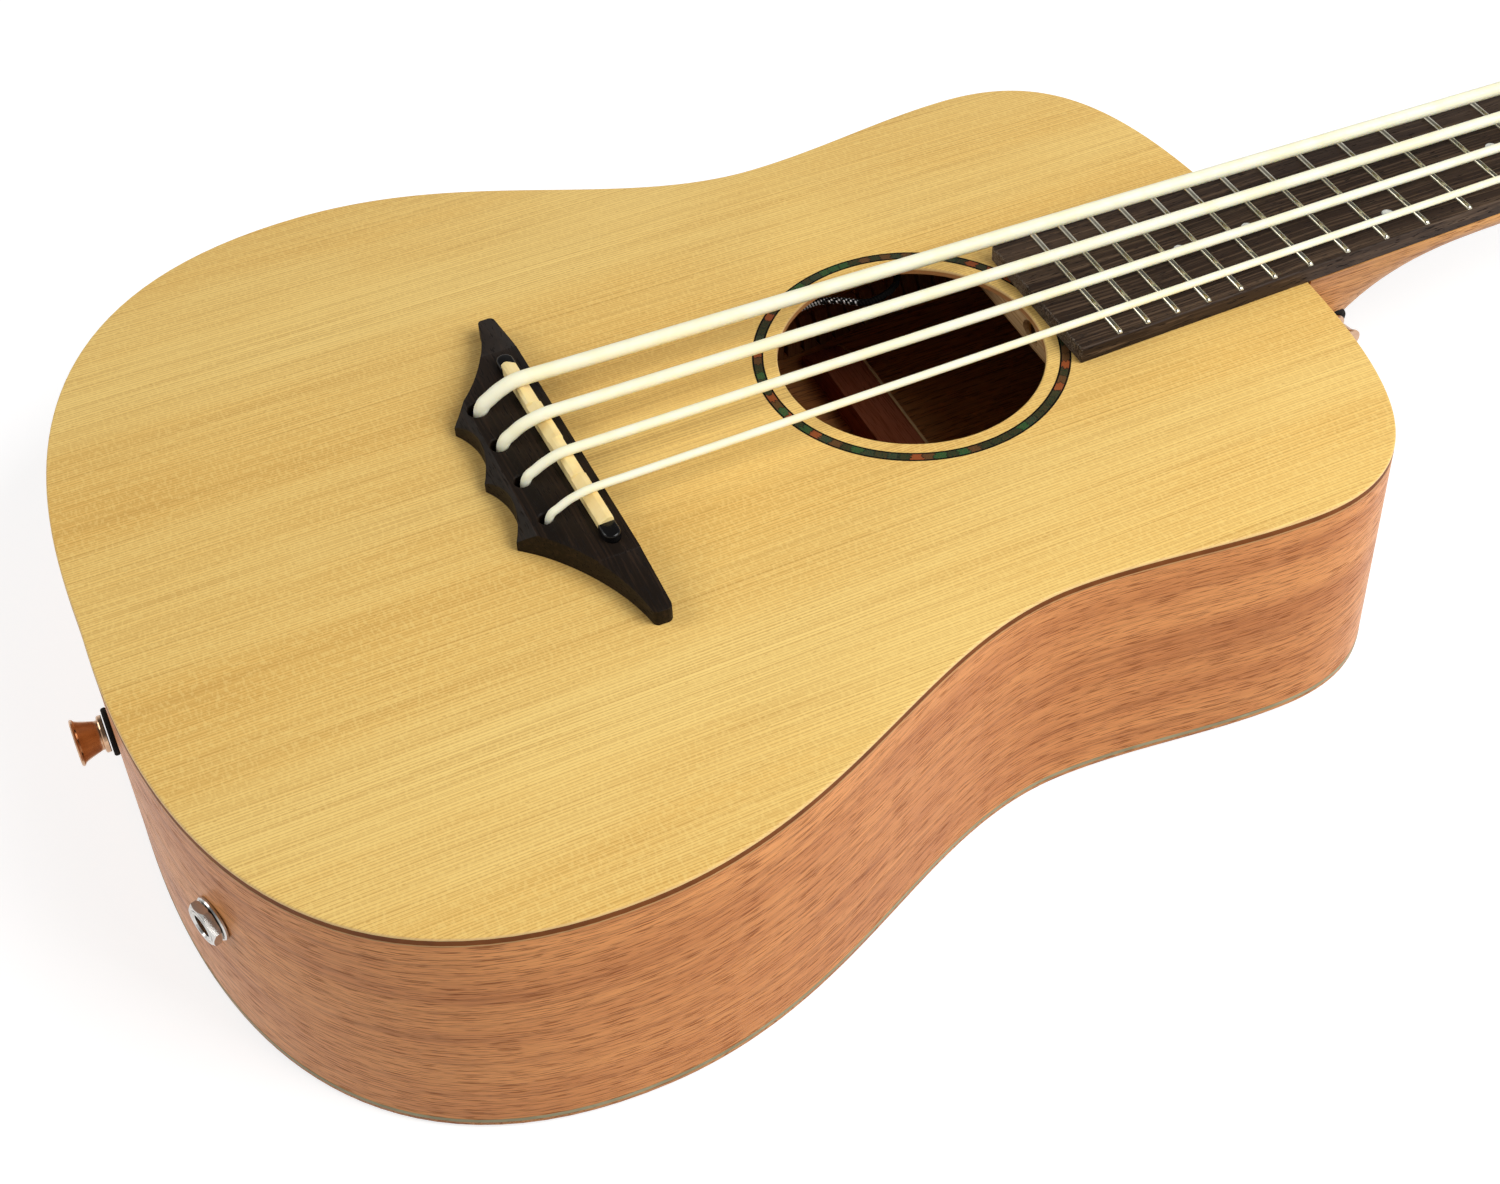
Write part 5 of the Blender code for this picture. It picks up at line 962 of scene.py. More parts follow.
@dataclass
class Soundbox:
    """Soundboard, ribs, back and what holds them together inside."""

    outline: BodyOutline
    top_thickness: float = TOP_THICKNESS
    lip: float = 0.0009
    edge_round: float = 0.0007
    strip_height: float = 0.0019
    hairline: float = 0.0004
    rib_thickness: float = 0.0022
    back_thickness: float = 0.0026
    back_round: float = 0.0011
    back_line: tuple = (0.0021, 0.0033)
    hole_x: float = 0.1115
    hole_radius: float = 0.0405
    rib_grain_shift: float = 0.37
    line_proud: tuple = (0.00005, 0.00008)
    kerf_pitch: float = 0.0062
    kerf_block: float = 0.0049
    kerf_grain: float = 3.0
    lining_width: float = 0.0060
    lining_foot: float = 0.0024
    lining_height: float = 0.0125
    block_half: float = 0.0336
    rosette_radii: tuple = (0.0447, 0.04525, 0.04755, 0.0481)
    rosette_rise: float = 0.00004
    rosette_depth: float = 0.0011
    rosette_steps: int = 240
    wide_brace_xs: tuple = (0.1168, 0.1315)
    wide_brace_height: float = 0.0120
    wide_brace_half: float = 0.0930
    wide_brace_strip: float = 0.0011
    wide_brace_end: tuple = (0.0200, 0.0030)
    round_steps: int = 5

    def arc(self, radius: float) -> list[tuple[float, float]]:
        """Return how far a rounded edge draws in and rises, step by step."""
        angles = [math.pi / 2 * step / self.round_steps for step in range(self.round_steps + 1)]
        return [(radius * (1 - math.cos(angle)), radius * math.sin(angle)) for angle in angles]

    def make_soundboard(self) -> None:
        """Model the spruce plate with its rebate, rounded edge and sound hole."""
        rebate = self.rib_thickness + FIT
        under, edge = BODY_DEPTH - self.top_thickness, BODY_DEPTH - self.edge_round
        levels = [(rebate, under), (rebate, BODY_DEPTH - self.lip), (0, BODY_DEPTH - self.lip)]
        levels += [(draw, edge + rise) for draw, rise in self.arc(self.edge_round)]
        board = Bench.loft("soundboard_plate", [self.outline.ring(inset, z) for inset, z in levels])
        flare = [(self.hole_radius + draw, edge + rise) for draw, rise in self.arc(self.edge_round)]
        profile = [(0, under - OVERCUT), (self.hole_radius, under - OVERCUT), *flare,
                   (flare[-1][0], BODY_DEPTH + OVERCUT / 2), (0, BODY_DEPTH + OVERCUT / 2)]
        hole = Bench.turned("hole_cutter", profile, Matrix.Translation((self.hole_x, 0, 0)), 128)
        Bench.hand_over(Bench.combine(board, hole), Paint.TOP, "soundboard", angle=25)

    def make_edge(self) -> None:
        """Model the dark strip under the soundboard's lip and the lines above and below the rib."""
        high = BODY_DEPTH - self.lip
        low = high - self.strip_height
        hair_proud, back_proud = self.line_proud
        lines = (
            ("edge_strip_dark", 0.0, low, high, Paint.STRIP, "edge_strip", True),
            ("edge_strip_hairline", -hair_proud, low - self.hairline, low, Paint.HAIRLINE, "edge_strip", False),
            ("back_edge_line", -back_proud, *self.back_line, Paint.BACK_LINE, "back", False),
        )
        inner = self.rib_thickness
        for name, inset, bottom, top, paint, node, replace in lines:
            levels = ((inset, bottom), (inset, top), (inner, top), (inner, bottom))
            strip = Bench.loft(name, [self.outline.ring(*level) for level in levels], closed=True)
            Bench.hand_over(strip, paint, node, replace=replace)

    def make_ribs(self) -> None:
        """Model the two bent ribs, whose grain follows them round the body."""
        top = BODY_DEPTH - self.lip - self.strip_height
        along = self.outline.distances()
        places = along + along[::-1]
        for side in ("bass", "treble"):
            sign = side_sign(side)
            band = self.outline.inset(0.0, sign) + self.outline.inset(self.rib_thickness, sign)[::-1]
            levels = (self.back_thickness, top)
            rings = [[(x, y, z) for x, y in band] for z in levels]
            shift = sign * self.rib_grain_shift
            rib = Bench.loft(f"rib_{side}", rings,
                             uv=lambda section, seat: (places[seat % len(places)], levels[section] + shift))
            Bench.hand_over(rib, Paint.RIB, f"side_{side}")

    def make_back(self) -> None:
        """Model the mahogany back with its rounded edge."""
        levels = [(draw, self.back_round - rise) for draw, rise in reversed(self.arc(self.back_round))]
        levels.append((0.0, self.back_thickness))
        back = Bench.loft("back_plate", [self.outline.ring(inset, z) for inset, z in levels])
        Bench.hand_over(back, Paint.BACK, "back")

    def make_linings(self) -> None:
        """Model the kerfed linings: one block, copied along each of the four glued edges."""
        gap = self.rib_thickness + FIT / 2
        section = ((0, 0), (self.lining_width, 0), (self.lining_width, 0.35 * self.lining_height),
                   (self.lining_foot, self.lining_height), (0, self.lining_height))
        ends = (-self.kerf_block / 2, self.kerf_block / 2)
        grain = [x * self.kerf_grain for x in ends]
        master = Bench.loft("kerf_block", [[(x, y, z) for y, z in section] for x in ends],
                            uv=lambda end, seat: (section[seat % len(section)][1], grain[end]))
        walk = self.outline.half()
        along = self.outline.distances()
        start = next(far for far, (point, _) in zip(along, walk) if point.y > self.block_half)
        end = next(far for far, (point, _) in zip(along[::-1], walk[::-1]) if point.y > self.block_half)
        count = int((end - start) / self.kerf_pitch)
        places = [start + (index + 0.5) * (end - start) / count for index in range(count)]
        for plate, z, turn in (("top", BODY_DEPTH - self.top_thickness - FIT, math.pi),
                               ("back", self.back_thickness + FIT, 0.0)):
            for side in ("bass", "treble"):
                sign = side_sign(side)
                blocks = []
                for index, (point, out) in enumerate(self.outline.stations(places)):
                    inward = Vector((-out.x, -out.y * sign, 0))
                    ahead = inward.cross(Vector((0, 0, 1)))
                    place = Matrix((ahead, inward, (0, 0, 1))).transposed().to_4x4()
                    origin = Vector((point.x, point.y * sign, z)) + inward * gap
                    place = Matrix.Translation(origin) @ place @ Matrix.Rotation(turn, 4, "Y")
                    blocks.append(Bench.copy(master, f"kerf_{index}", place))
                name = f"lining_{plate}_{side}"
                Bench.hand_over(Bench.unite(f"kerfed_{plate}_{side}", blocks), Paint.KERFED, name)
        bpy.data.objects.remove(master, do_unlink=True)

    def make_rosette(self) -> None:
        """Model the shell ring between its two black lines."""
        top, low = BODY_DEPTH + self.rosette_rise, BODY_DEPTH - self.rosette_depth
        inner, first, last, outer = self.rosette_radii
        steps = self.rosette_steps
        angles = [2 * math.pi * step / steps for step in range(steps)]
        rings = (("rosette_line_inner", inner, first, Paint.BLACK_LINE, False),
                 ("rosette_shell", first, last, Paint.SHELL, True),
                 ("rosette_line_outer", last, outer, Paint.BLACK_LINE, False))
        for name, near, far, paint, replace in rings:
            sections = [[(self.hole_x + radius * math.cos(a), radius * math.sin(a), z) for a in angles]
                        for radius, z in ((near, low), (near, top), (far, top), (far, low))]
            ring = Bench.loft(name, sections, closed=True,
                              uv=lambda section, seat: (seat / steps, float(section)))
            Bench.hand_over(ring, paint, "rosette", replace=replace)

    def make_wide_brace(self) -> None:
        """Model the wide brace that shows through the hole, with a pale strip along its far edge."""
        low, high = self.back_thickness + FIT, self.back_thickness + FIT + self.wide_brace_height
        (start, end), half, strip = self.wide_brace_xs, self.wide_brace_half, self.wide_brace_strip
        taper, rise = self.wide_brace_end
        profile = ((-half, low), (-half, low + rise), (-half + taper, high), (half - taper, high),
                   (half, low + rise), (half, low))
        for name, near, far, paint in (("wide_back_brace", start, end - strip, Paint.INSIDE),
                                       ("wide_brace_strip", end - strip, end, Paint.BRACE_Y)):
            brace = Bench.loft(name, [[(x, y, z) for y, z in profile] for x in (near, far)])
            Bench.hand_over(Bench.round_edges(brace, 0.0002, 2), paint, "back_brace_3", replace=False)

    def dress_inside(self) -> None:
        """Finish the blocks, braces and plates that stay as packed."""
        for paint, nodes in (
            (Paint.INSIDE, ("neck_block", "tail_block", "bridge_plate", "back_brace_1", "back_brace_2",
                            "back_brace_3")),
            (Paint.BRACE_X, ("x_brace",)),
            (Paint.BRACE_Y, ("upper_brace", "tone_bar", "back_centre_strip")),
        ):
            for node in nodes:
                Bench.dress(node, paint)

    def build(self) -> None:
        """Build the whole box."""
        for step in (self.make_soundboard, self.make_edge, self.make_ribs, self.make_back, self.make_linings,
                     self.make_rosette, self.make_wide_brace, self.dress_inside):
            step()


@dataclass
class Bridge:
    """Bat-wing bridge with its saddle, black end pieces, pickup and the strings' holes."""

    height: float = 0.0080
    front_x: float = 0.0041
    front_shoulders: tuple = ((0.0034, 0.0490), (0.0048, 0.0471))
    cusp: tuple = (-0.0237, 0.0260)
    scallop: float = 0.0038
    shoulder_y: float = 0.0470
    tip_ys: tuple = (0.0657, 0.0692)
    tip_front_xs: tuple = (0.0024, 0.0050)
    tip_back_xs: tuple = (-0.0028, -0.0008)
    tip_height: float = 0.0052
    tip_corner: float = 0.0018
    leaves_tip: tuple = (-0.0022, -0.0150)
    meets_cusp: tuple = (0.0105, 0.0085)
    wing_step: float = 0.0003
    slope_top_x: float = -0.0187
    slope_low: float = 0.0032
    slope_overcut: float = 0.003
    edge_round: float = 0.0006
    saddle_x: float = -0.0016
    saddle_slant: float = 1.2
    saddle_thickness: float = 0.0044
    saddle_length: float = 0.0720
    saddle_crown: float = 0.0120
    saddle_seat: float = 0.0022
    saddle_tongue: float = 0.001
    crown_step: float = 0.00025
    crest_half: float = 0.0005
    saddle_shoulder: float = 0.0011
    slot_depth: float = 0.0050
    end_length: float = 0.0066
    end_rise: float = 0.0025
    end_bulge: float = 0.0008
    end_flange: float = 0.0004
    break_offsets: tuple = (-0.0009, 0.0008, -0.0006, 0.0009)
    spread: float = 0.0507
    hole_x: float = -0.0153
    hole_slant: float = 2.0
    hole_clearance: float = 0.0009
    hole_chamfer: float = 0.0004
    curve_steps: int = 28

    def top(self) -> float:
        """Return the height of the bridge's top."""
        return BODY_DEPTH + self.height

    def saddle_matrix(self) -> Matrix:
        """Return the saddle's frame, slanted for the thick string."""
        slant = Matrix.Rotation(math.radians(self.saddle_slant), 4, "Z")
        return Matrix.Translation((self.saddle_x, 0, 0)) @ slant

    def string_hole(self, index: int) -> tuple[float, float]:
        """Return the middle of a string's hole."""
        y = string_share(index) * self.spread
        return self.hole_x - y * math.tan(math.radians(self.hole_slant)), y

    def outline(self) -> list[tuple[float, float]]:
        """Return the outline: straight front, concave wings and three cusps behind."""
        halves = []
        for side in (0, 1):
            tip_y, front, back = self.tip_ys[side], self.tip_front_xs[side], self.tip_back_xs[side]
            corner = self.tip_corner
            half = [(self.front_x, 0.0), self.front_shoulders[side], (front, tip_y - corner)]
            half += [(front - corner * (1 - math.cos(turn)), tip_y - corner * (1 - math.sin(turn)))
                     for turn in (0.4, 0.8, 1.2, math.pi / 2)]
            half += [(back + corner * (1 - math.cos(turn)), tip_y - corner * (1 - math.sin(turn)))
                     for turn in (1.2, 0.8, 0.4)]
            start, cusp = Vector((back, tip_y - corner)), Vector(self.cusp)
            wing = curve_points(start, start + Vector(self.leaves_tip), cusp + Vector(self.meets_cusp), cusp,
                                self.curve_steps)
            half += [(point.x, point.y) for point, _ in wing]
            chord = self.cusp[1] / 2
            radius = (chord**2 + self.scallop**2) / (2 * self.scallop)
            spread = math.asin(chord / radius)
            centre_x = self.cusp[0] - (radius - self.scallop)
            for step in range(self.curve_steps + 1):
                angle = spread * (1 - 2 * step / self.curve_steps)
                half.append((centre_x + radius * math.cos(angle), chord + radius * math.sin(angle)))
            halves.append(half)
        return halves[0] + [(x, -y) for x, y in reversed(halves[1][1:-1])]

    def slope_tool(self) -> bpy.types.Object:
        """Model the wedge that slopes the back down to the cusps."""
        slope = (self.height - self.slope_low) / (self.slope_top_x - self.cusp[0])
        over = self.slope_overcut
        reach = self.cusp[0] - over
        profile = ((self.slope_top_x + over / slope, self.top() + over), (reach, self.top() + over),
                   (reach, BODY_DEPTH + self.slope_low + slope * (reach - self.cusp[0])))
        half = (self.cusp[1] + self.shoulder_y) / 2
        return Bench.loft("slope_tool", [[(x, y, z) for x, z in profile] for y in (-half, half)])

    def wing_tool(self, sign: int) -> bpy.types.Object:
        """Model the wedge that lowers a wing from its step to its tip."""
        reach = self.tip_ys[1] + OVERCUT
        fall = (self.height - self.wing_step - self.tip_height) / (self.tip_ys[1] - self.shoulder_y)
        low = self.top() - self.wing_step - fall * (reach - self.shoulder_y)
        profile = ((self.shoulder_y, self.top() + OVERCUT), (self.shoulder_y, self.top() - self.wing_step),
                   (reach, low), (reach, self.top() + OVERCUT))
        ends = (self.cusp[0] - OVERCUT, self.tip_front_xs[1] + OVERCUT)
        return Bench.loft("wing_tool", [[(x, sign * y, z) for y, z in profile] for x in ends])

    def slot_outline(self, half_width: float) -> list[tuple[float, float]]:
        """Return the saddle slot's outline with its round ends."""
        straight = self.saddle_length / 2 + self.end_length + FIT - half_width
        arc = half_round(half_width, straight, 16)
        return arc + [(-x, -y) for x, y in arc]

    def make_base(self) -> None:
        """Model the rosewood bridge."""
        base = Bench.prism("bridge_base", self.outline(), BODY_DEPTH, self.top())
        for tool in (self.slope_tool(), self.wing_tool(1), self.wing_tool(-1)):
            Bench.combine(base, tool)
        Bench.round_edges(base, self.edge_round, 3, 28.0)
        floor = self.top() - self.slot_depth
        ends = self.slot_outline(self.saddle_thickness / 2)
        slot = Bench.prism("slot_tool", ends, floor, self.top() + OVERCUT)
        Bench.combine(base, Bench.move(slot, self.saddle_matrix()))
        for index, radius in enumerate(STRING_RADII):
            x, y = self.string_hole(index)
            width = radius + self.hole_clearance
            low, top, over = BODY_DEPTH - OVERCUT, self.top(), self.top() + OVERCUT / 2
            profile = [(0, low), (width, low), (width, top - self.hole_chamfer),
                       (width + self.hole_chamfer, top), (width + self.hole_chamfer, over), (0, over)]
            Bench.combine(base, Bench.turned("string_hole", profile, Matrix.Translation((x, y, 0)), 40))
        Bench.hand_over(base, Paint.BRIDGE, "bridge", angle=30)

    def make_saddle(self) -> None:
        """Model the saddle, whose crown steps back and forth to set each string's length."""
        low = self.top() - self.slot_depth + self.saddle_seat
        crown = BODY_DEPTH + self.saddle_crown
        half = self.saddle_thickness / 2
        spacing = self.spread / (len(STRING_NAMES) - 1)
        reach = self.saddle_length / 2 + self.saddle_tongue
        edges = (reach, spacing, 0.0, -spacing, -reach)
        rings = []
        for index, offset in enumerate(self.break_offsets):
            for y in (edges[index], edges[index + 1] + self.crown_step):
                rings.append([
                    (-half, y, low), (-half, y, crown - self.saddle_shoulder * (half + offset) / half),
                    (offset - self.crest_half, y, crown), (offset + self.crest_half, y, crown),
                    (half, y, crown - self.saddle_shoulder * (half - offset) / half), (half, y, low),
                ])
        saddle = Bench.round_edges(Bench.loft("saddle_body", rings), 0.00018, 2, 20.0)
        Bench.hand_over(Bench.move(saddle, self.saddle_matrix()), Paint.SADDLE, "saddle", angle=20)
        self.make_ends(half)

    def make_ends(self, half: float) -> None:
        """Model the two black pieces that close the slot past the saddle."""
        inner = self.saddle_length / 2 + self.end_bulge
        straight = self.saddle_length / 2 + self.end_length - half - self.end_flange
        width = half + self.end_flange
        turns = [math.pi * step / 12 for step in range(13)]
        bulge = [(-width * math.cos(turn), inner - self.end_bulge * 1.6 * math.sin(turn)) for turn in turns]
        arc = half_round(width, straight, 16)
        low, high = self.top() - self.slot_depth, self.top() + self.end_rise
        for side in ("bass", "treble"):
            outline = [(x, side_sign(side) * y) for x, y in bulge + arc]
            end = Bench.prism(f"saddle_stop_{side}", outline, low, high)
            Bench.round_edges(end, 0.0008, 4, 50.0)
            Bench.hand_over(Bench.move(end, self.saddle_matrix()), Paint.ENDS, f"saddle_end_{side}", angle=50)

    def build(self) -> None:
        """Build the bridge and what stands in it."""
        self.make_base()
        self.make_saddle()
        Bench.dress("pickup_strip", Paint.BRASS)


def board_half(x: float) -> float:
    """Return the fingerboard's half width at a station."""
    wide, narrow = BOARD_HALVES
    return wide + (narrow - wide) * (x - BOARD_END_X) / (SCALE_LENGTH - BOARD_END_X)


def fret_x(number: int) -> float:
    """Return a fret's distance from the saddle line."""
    return SCALE_LENGTH * 2 ** (-number / 12)


@dataclass
class Fretboard:
    """Rosewood board with its frets, pearl dots and end grain."""

    low: float = BODY_DEPTH
    surface: float = BODY_DEPTH + BOARD_THICKNESS
    edge_round: float = 0.0007
    fret_width: float = 0.0020
    fret_height: float = FRET_HEIGHT
    fret_inset: float = 0.0008
    fret_tang: float = 0.0006
    dot_radius: float = 0.0020
    dot_rise: float = 0.00004
    dot_depth: float = 0.0010
    dots: tuple = ((3, 0.0), (5, 0.0), (7, 0.0), (9, 0.0), (12, 0.0143), (12, -0.0143), (15, 0.0), (17, 0.0))

    def make_board(self) -> None:
        """Model the tapered board with its rounded edges."""
        start, end = BOARD_END_X, SCALE_LENGTH - FIT
        outline = [(x, sign * board_half(x)) for x, sign in ((start, 1), (end, 1), (end, -1), (start, -1))]
        board = Bench.prism("fretboard_wood", outline, self.low, self.surface)
        Bench.hand_over(Bench.round_edges(board, self.edge_round, 4), Paint.BOARD, "fingerboard", angle=40)

    def make_frets(self) -> None:
        """Model the frets: a rounded crown that thins at both ends."""
        frets = []
        arc = [math.pi * step / 8 for step in range(9)]
        for number in range(1, FRET_COUNT + 1):
            x = fret_x(number)
            half = board_half(x) - self.fret_inset
            rings = []
            for y, share in ((-half, 0.35), (-half + 0.0004, 0.8), (-half + 0.0010, 1.0),
                             (half - 0.0010, 1.0), (half - 0.0004, 0.8), (half, 0.35)):
                crown = [(x + self.fret_width / 2 * math.cos(a) * (0.75 + 0.25 * share), y,
                          self.surface + self.fret_height * share * math.sin(a) ** 0.8) for a in arc]
                rings.append(crown + [(x, y, self.surface - self.fret_tang)])
            frets.append(Bench.loft(f"fret_{number}", rings))
        Bench.hand_over(Bench.unite("fret_wires", frets), Paint.STEEL, "fingerboard", replace=False, angle=50)

    def make_dots(self) -> None:
        """Model the pearl dots let into the board."""
        radius, rise = self.dot_radius, self.dot_rise
        top, low = self.surface + rise, self.surface + rise - self.dot_depth
        profile = [(0, top), (radius - rise, top), (radius, top - rise), (radius, low), (0, low)]
        dots = []
        for index, (number, y) in enumerate(self.dots):
            middle = (fret_x(number - 1) + fret_x(number)) / 2
            dots.append(Bench.turned(f"dot_{index}", profile, Matrix.Translation((middle, y, 0)), 40))
        Bench.hand_over(Bench.unite("position_dots", dots), Paint.DOT, "fingerboard", replace=False)

    def build(self) -> None:
        """Build the board and what is set in it."""
        self.make_board()
        self.make_frets()
        self.make_dots()


@dataclass
class Neck:
    """Mahogany neck with its heel and headstock, the veneer, nut and heel cap."""

    depth_at_nut: float = 0.0143
    depth_at_heel: float = 0.0148
    heel_length: float = 0.0740
    heel_half_low: float = 0.0100
    heel_fall: float = 2.8
    heel_side_curve: float = 0.8
    keel_half_angle: float = 30.0
    cap_thickness: float = 0.0025
    cap_reach: float = 0.0036
    nut_thickness: float = 0.0050
    head_angle: float = 13.0
    head_drop: float = 0.0005
    head_length: float = 0.1480
    head_thickness: float = 0.0135
    head_shoulder: tuple = (0.0300, 0.0365)
    head_tip_half: float = 0.0330
    head_flare: float = 0.0120
    head_corner: float = 0.0140
    head_crown: float = 0.0050
    veneer: float = 0.0015
    heel_seat: tuple = (0.0171, -0.0160, 0.0518)
    heel_seat_radius: float = 0.0073
    heel_tilt: float = 15.0

    def head_matrix(self) -> Matrix:
        """Return the headstock's frame, tilted back behind the nut."""
        place = (SCALE_LENGTH + self.nut_thickness + FIT, 0, BODY_DEPTH - self.head_drop)
        return Matrix.Translation(place) @ Matrix.Rotation(math.radians(self.head_angle), 4, "Y")

    def heel_seat_matrix(self) -> Matrix:
        """Return the frame of the strap button's seat, square to the heel's narrowing side."""
        out, y, z = self.heel_seat
        tilt = math.radians(self.heel_tilt)
        return facing((0, -math.cos(tilt), -math.sin(tilt)), (HEEL_X + out, y, z))

    def section(self, x: float, depth: float, blend: float) -> Ring:
        """Return a section between the neck's round back and the heel's narrowing wedge."""
        half = board_half(x)
        ring = []
        for step in range(41):
            angle = math.pi * step / 40
            side, down = math.cos(angle), math.sin(angle)
            round_y = half * math.copysign(abs(side) ** 0.96, side)
            round_z = -depth * down**0.97
            fall = min(1.0, down / math.cos(math.radians(self.keel_half_angle)))
            width = half + (self.heel_half_low - half) * fall**self.heel_side_curve
            wedge_y = width * max(-1.0, min(1.0, side / math.sin(math.radians(self.keel_half_angle))))
            ring.append((x, round_y + (wedge_y - round_y) * blend,
                         BODY_DEPTH + round_z + (-depth * fall - round_z) * blend))
        return ring

    def head_outline(self) -> list[tuple[float, float]]:
        """Return the headstock's outline in its own plane."""
        start, shoulder = Vector((0, BOARD_HALVES[1])), Vector(self.head_shoulder)
        flare = Vector((self.head_flare, 0))
        corner_start = Vector((self.head_length - self.head_crown - self.head_corner, self.head_tip_half))
        corner_end = Vector((self.head_length - self.head_crown * 0.6, self.head_tip_half - self.head_corner))
        lean = corner_end + Vector((-self.head_crown / 5, self.head_corner / 2))
        half = curve_points(start, start + flare, shoulder - flare, shoulder, 16)
        half += [(shoulder, None)]
        leave = corner_start + Vector((self.head_corner * 0.6, 0))
        half += curve_points(corner_start, leave, lean, corner_end, 12)
        points = [(point.x, point.y) for point, _ in half] + [(corner_end.x, corner_end.y)]
        crown = [(self.head_length - self.head_crown * 0.6 * (1 - math.sin(math.pi / 2 * share)),
                  corner_end.y * (1 - share)) for share in (0.2, 0.4, 0.6, 0.8)]
        points += crown + [(self.head_length, 0.0)]
        return points + [(x, -y) for x, y in reversed(points[:-1])]

    def make_neck(self) -> None:
        """Model the heel and shaft in one run of sections and join the headstock."""
        foot = BODY_DEPTH - self.cap_thickness - FIT
        start, end = HEEL_X + FIT, SCALE_LENGTH + self.nut_thickness
        heel_end = start + self.heel_length
        rings = []
        for step in range(25):
            share = (step / 24) ** 1.25
            depth = self.depth_at_heel + (foot - self.depth_at_heel) * (1 - share) ** self.heel_fall
            blend = (depth - self.depth_at_heel) / (foot - self.depth_at_heel)
            rings.append(self.section(start + self.heel_length * share, depth, blend))
        for step in range(1, 9):
            share = step / 8
            depth = self.depth_at_heel + (self.depth_at_nut - self.depth_at_heel) * share
            rings.append(self.section(heel_end + (end - heel_end) * share, depth, 0.0))
        neck = Bench.loft("neck_shaft", rings)
        head = Bench.prism("head", self.head_outline(), -self.head_thickness, 0)
        Bench.round_edges(head, 0.0012, 3, 50.0)
        Bench.combine(neck, Bench.move(head, self.head_matrix()), "UNION")
        profile = [(0, 0), (self.heel_seat_radius, 0), (self.heel_seat_radius, 0.02), (0, 0.02)]
        seat = Bench.turned("heel_seat", profile, self.heel_seat_matrix(), 48)
        Bench.hand_over(Bench.combine(neck, seat), Paint.NECK, "neck", angle=38)

    def make_fittings(self) -> None:
        """Model the veneer, nut and heel cap."""
        veneer = Bench.prism("head_veneer", self.head_outline(), 0.0, FIT + self.veneer)
        Bench.round_edges(veneer, 0.0004, 2, 50.0)
        Bench.hand_over(Bench.move(veneer, self.head_matrix()), Paint.VENEER, "headstock_veneer", angle=40)
        nut = Bench.round_edges(Bench.of_node("nut"), 0.0003, 2, 50.0)
        nut.name = nut.data.name = "nut_body"
        Bench.hand_over(nut, Paint.SADDLE, "nut", angle=40)
        half = [(HEEL_X + FIT + self.cap_reach * reach, self.heel_half_low * wide)
                for reach, wide in ((0, 1.0), (0.35, 0.97), (0.7, 0.82), (0.9, 0.6), (1.0, 0.3))]
        outline = half + [(x, -y) for x, y in reversed(half)]
        cap = Bench.round_edges(Bench.prism("heel_cap_plate", outline, 0.0, self.cap_thickness), 0.0004, 2)
        Bench.hand_over(cap, Paint.VENEER, "heel_cap")

    def build(self) -> None:
        """Build the neck and its fittings."""
        self.make_neck()
        self.make_fittings()
        Bench.dress("truss_rod", Paint.ROD)


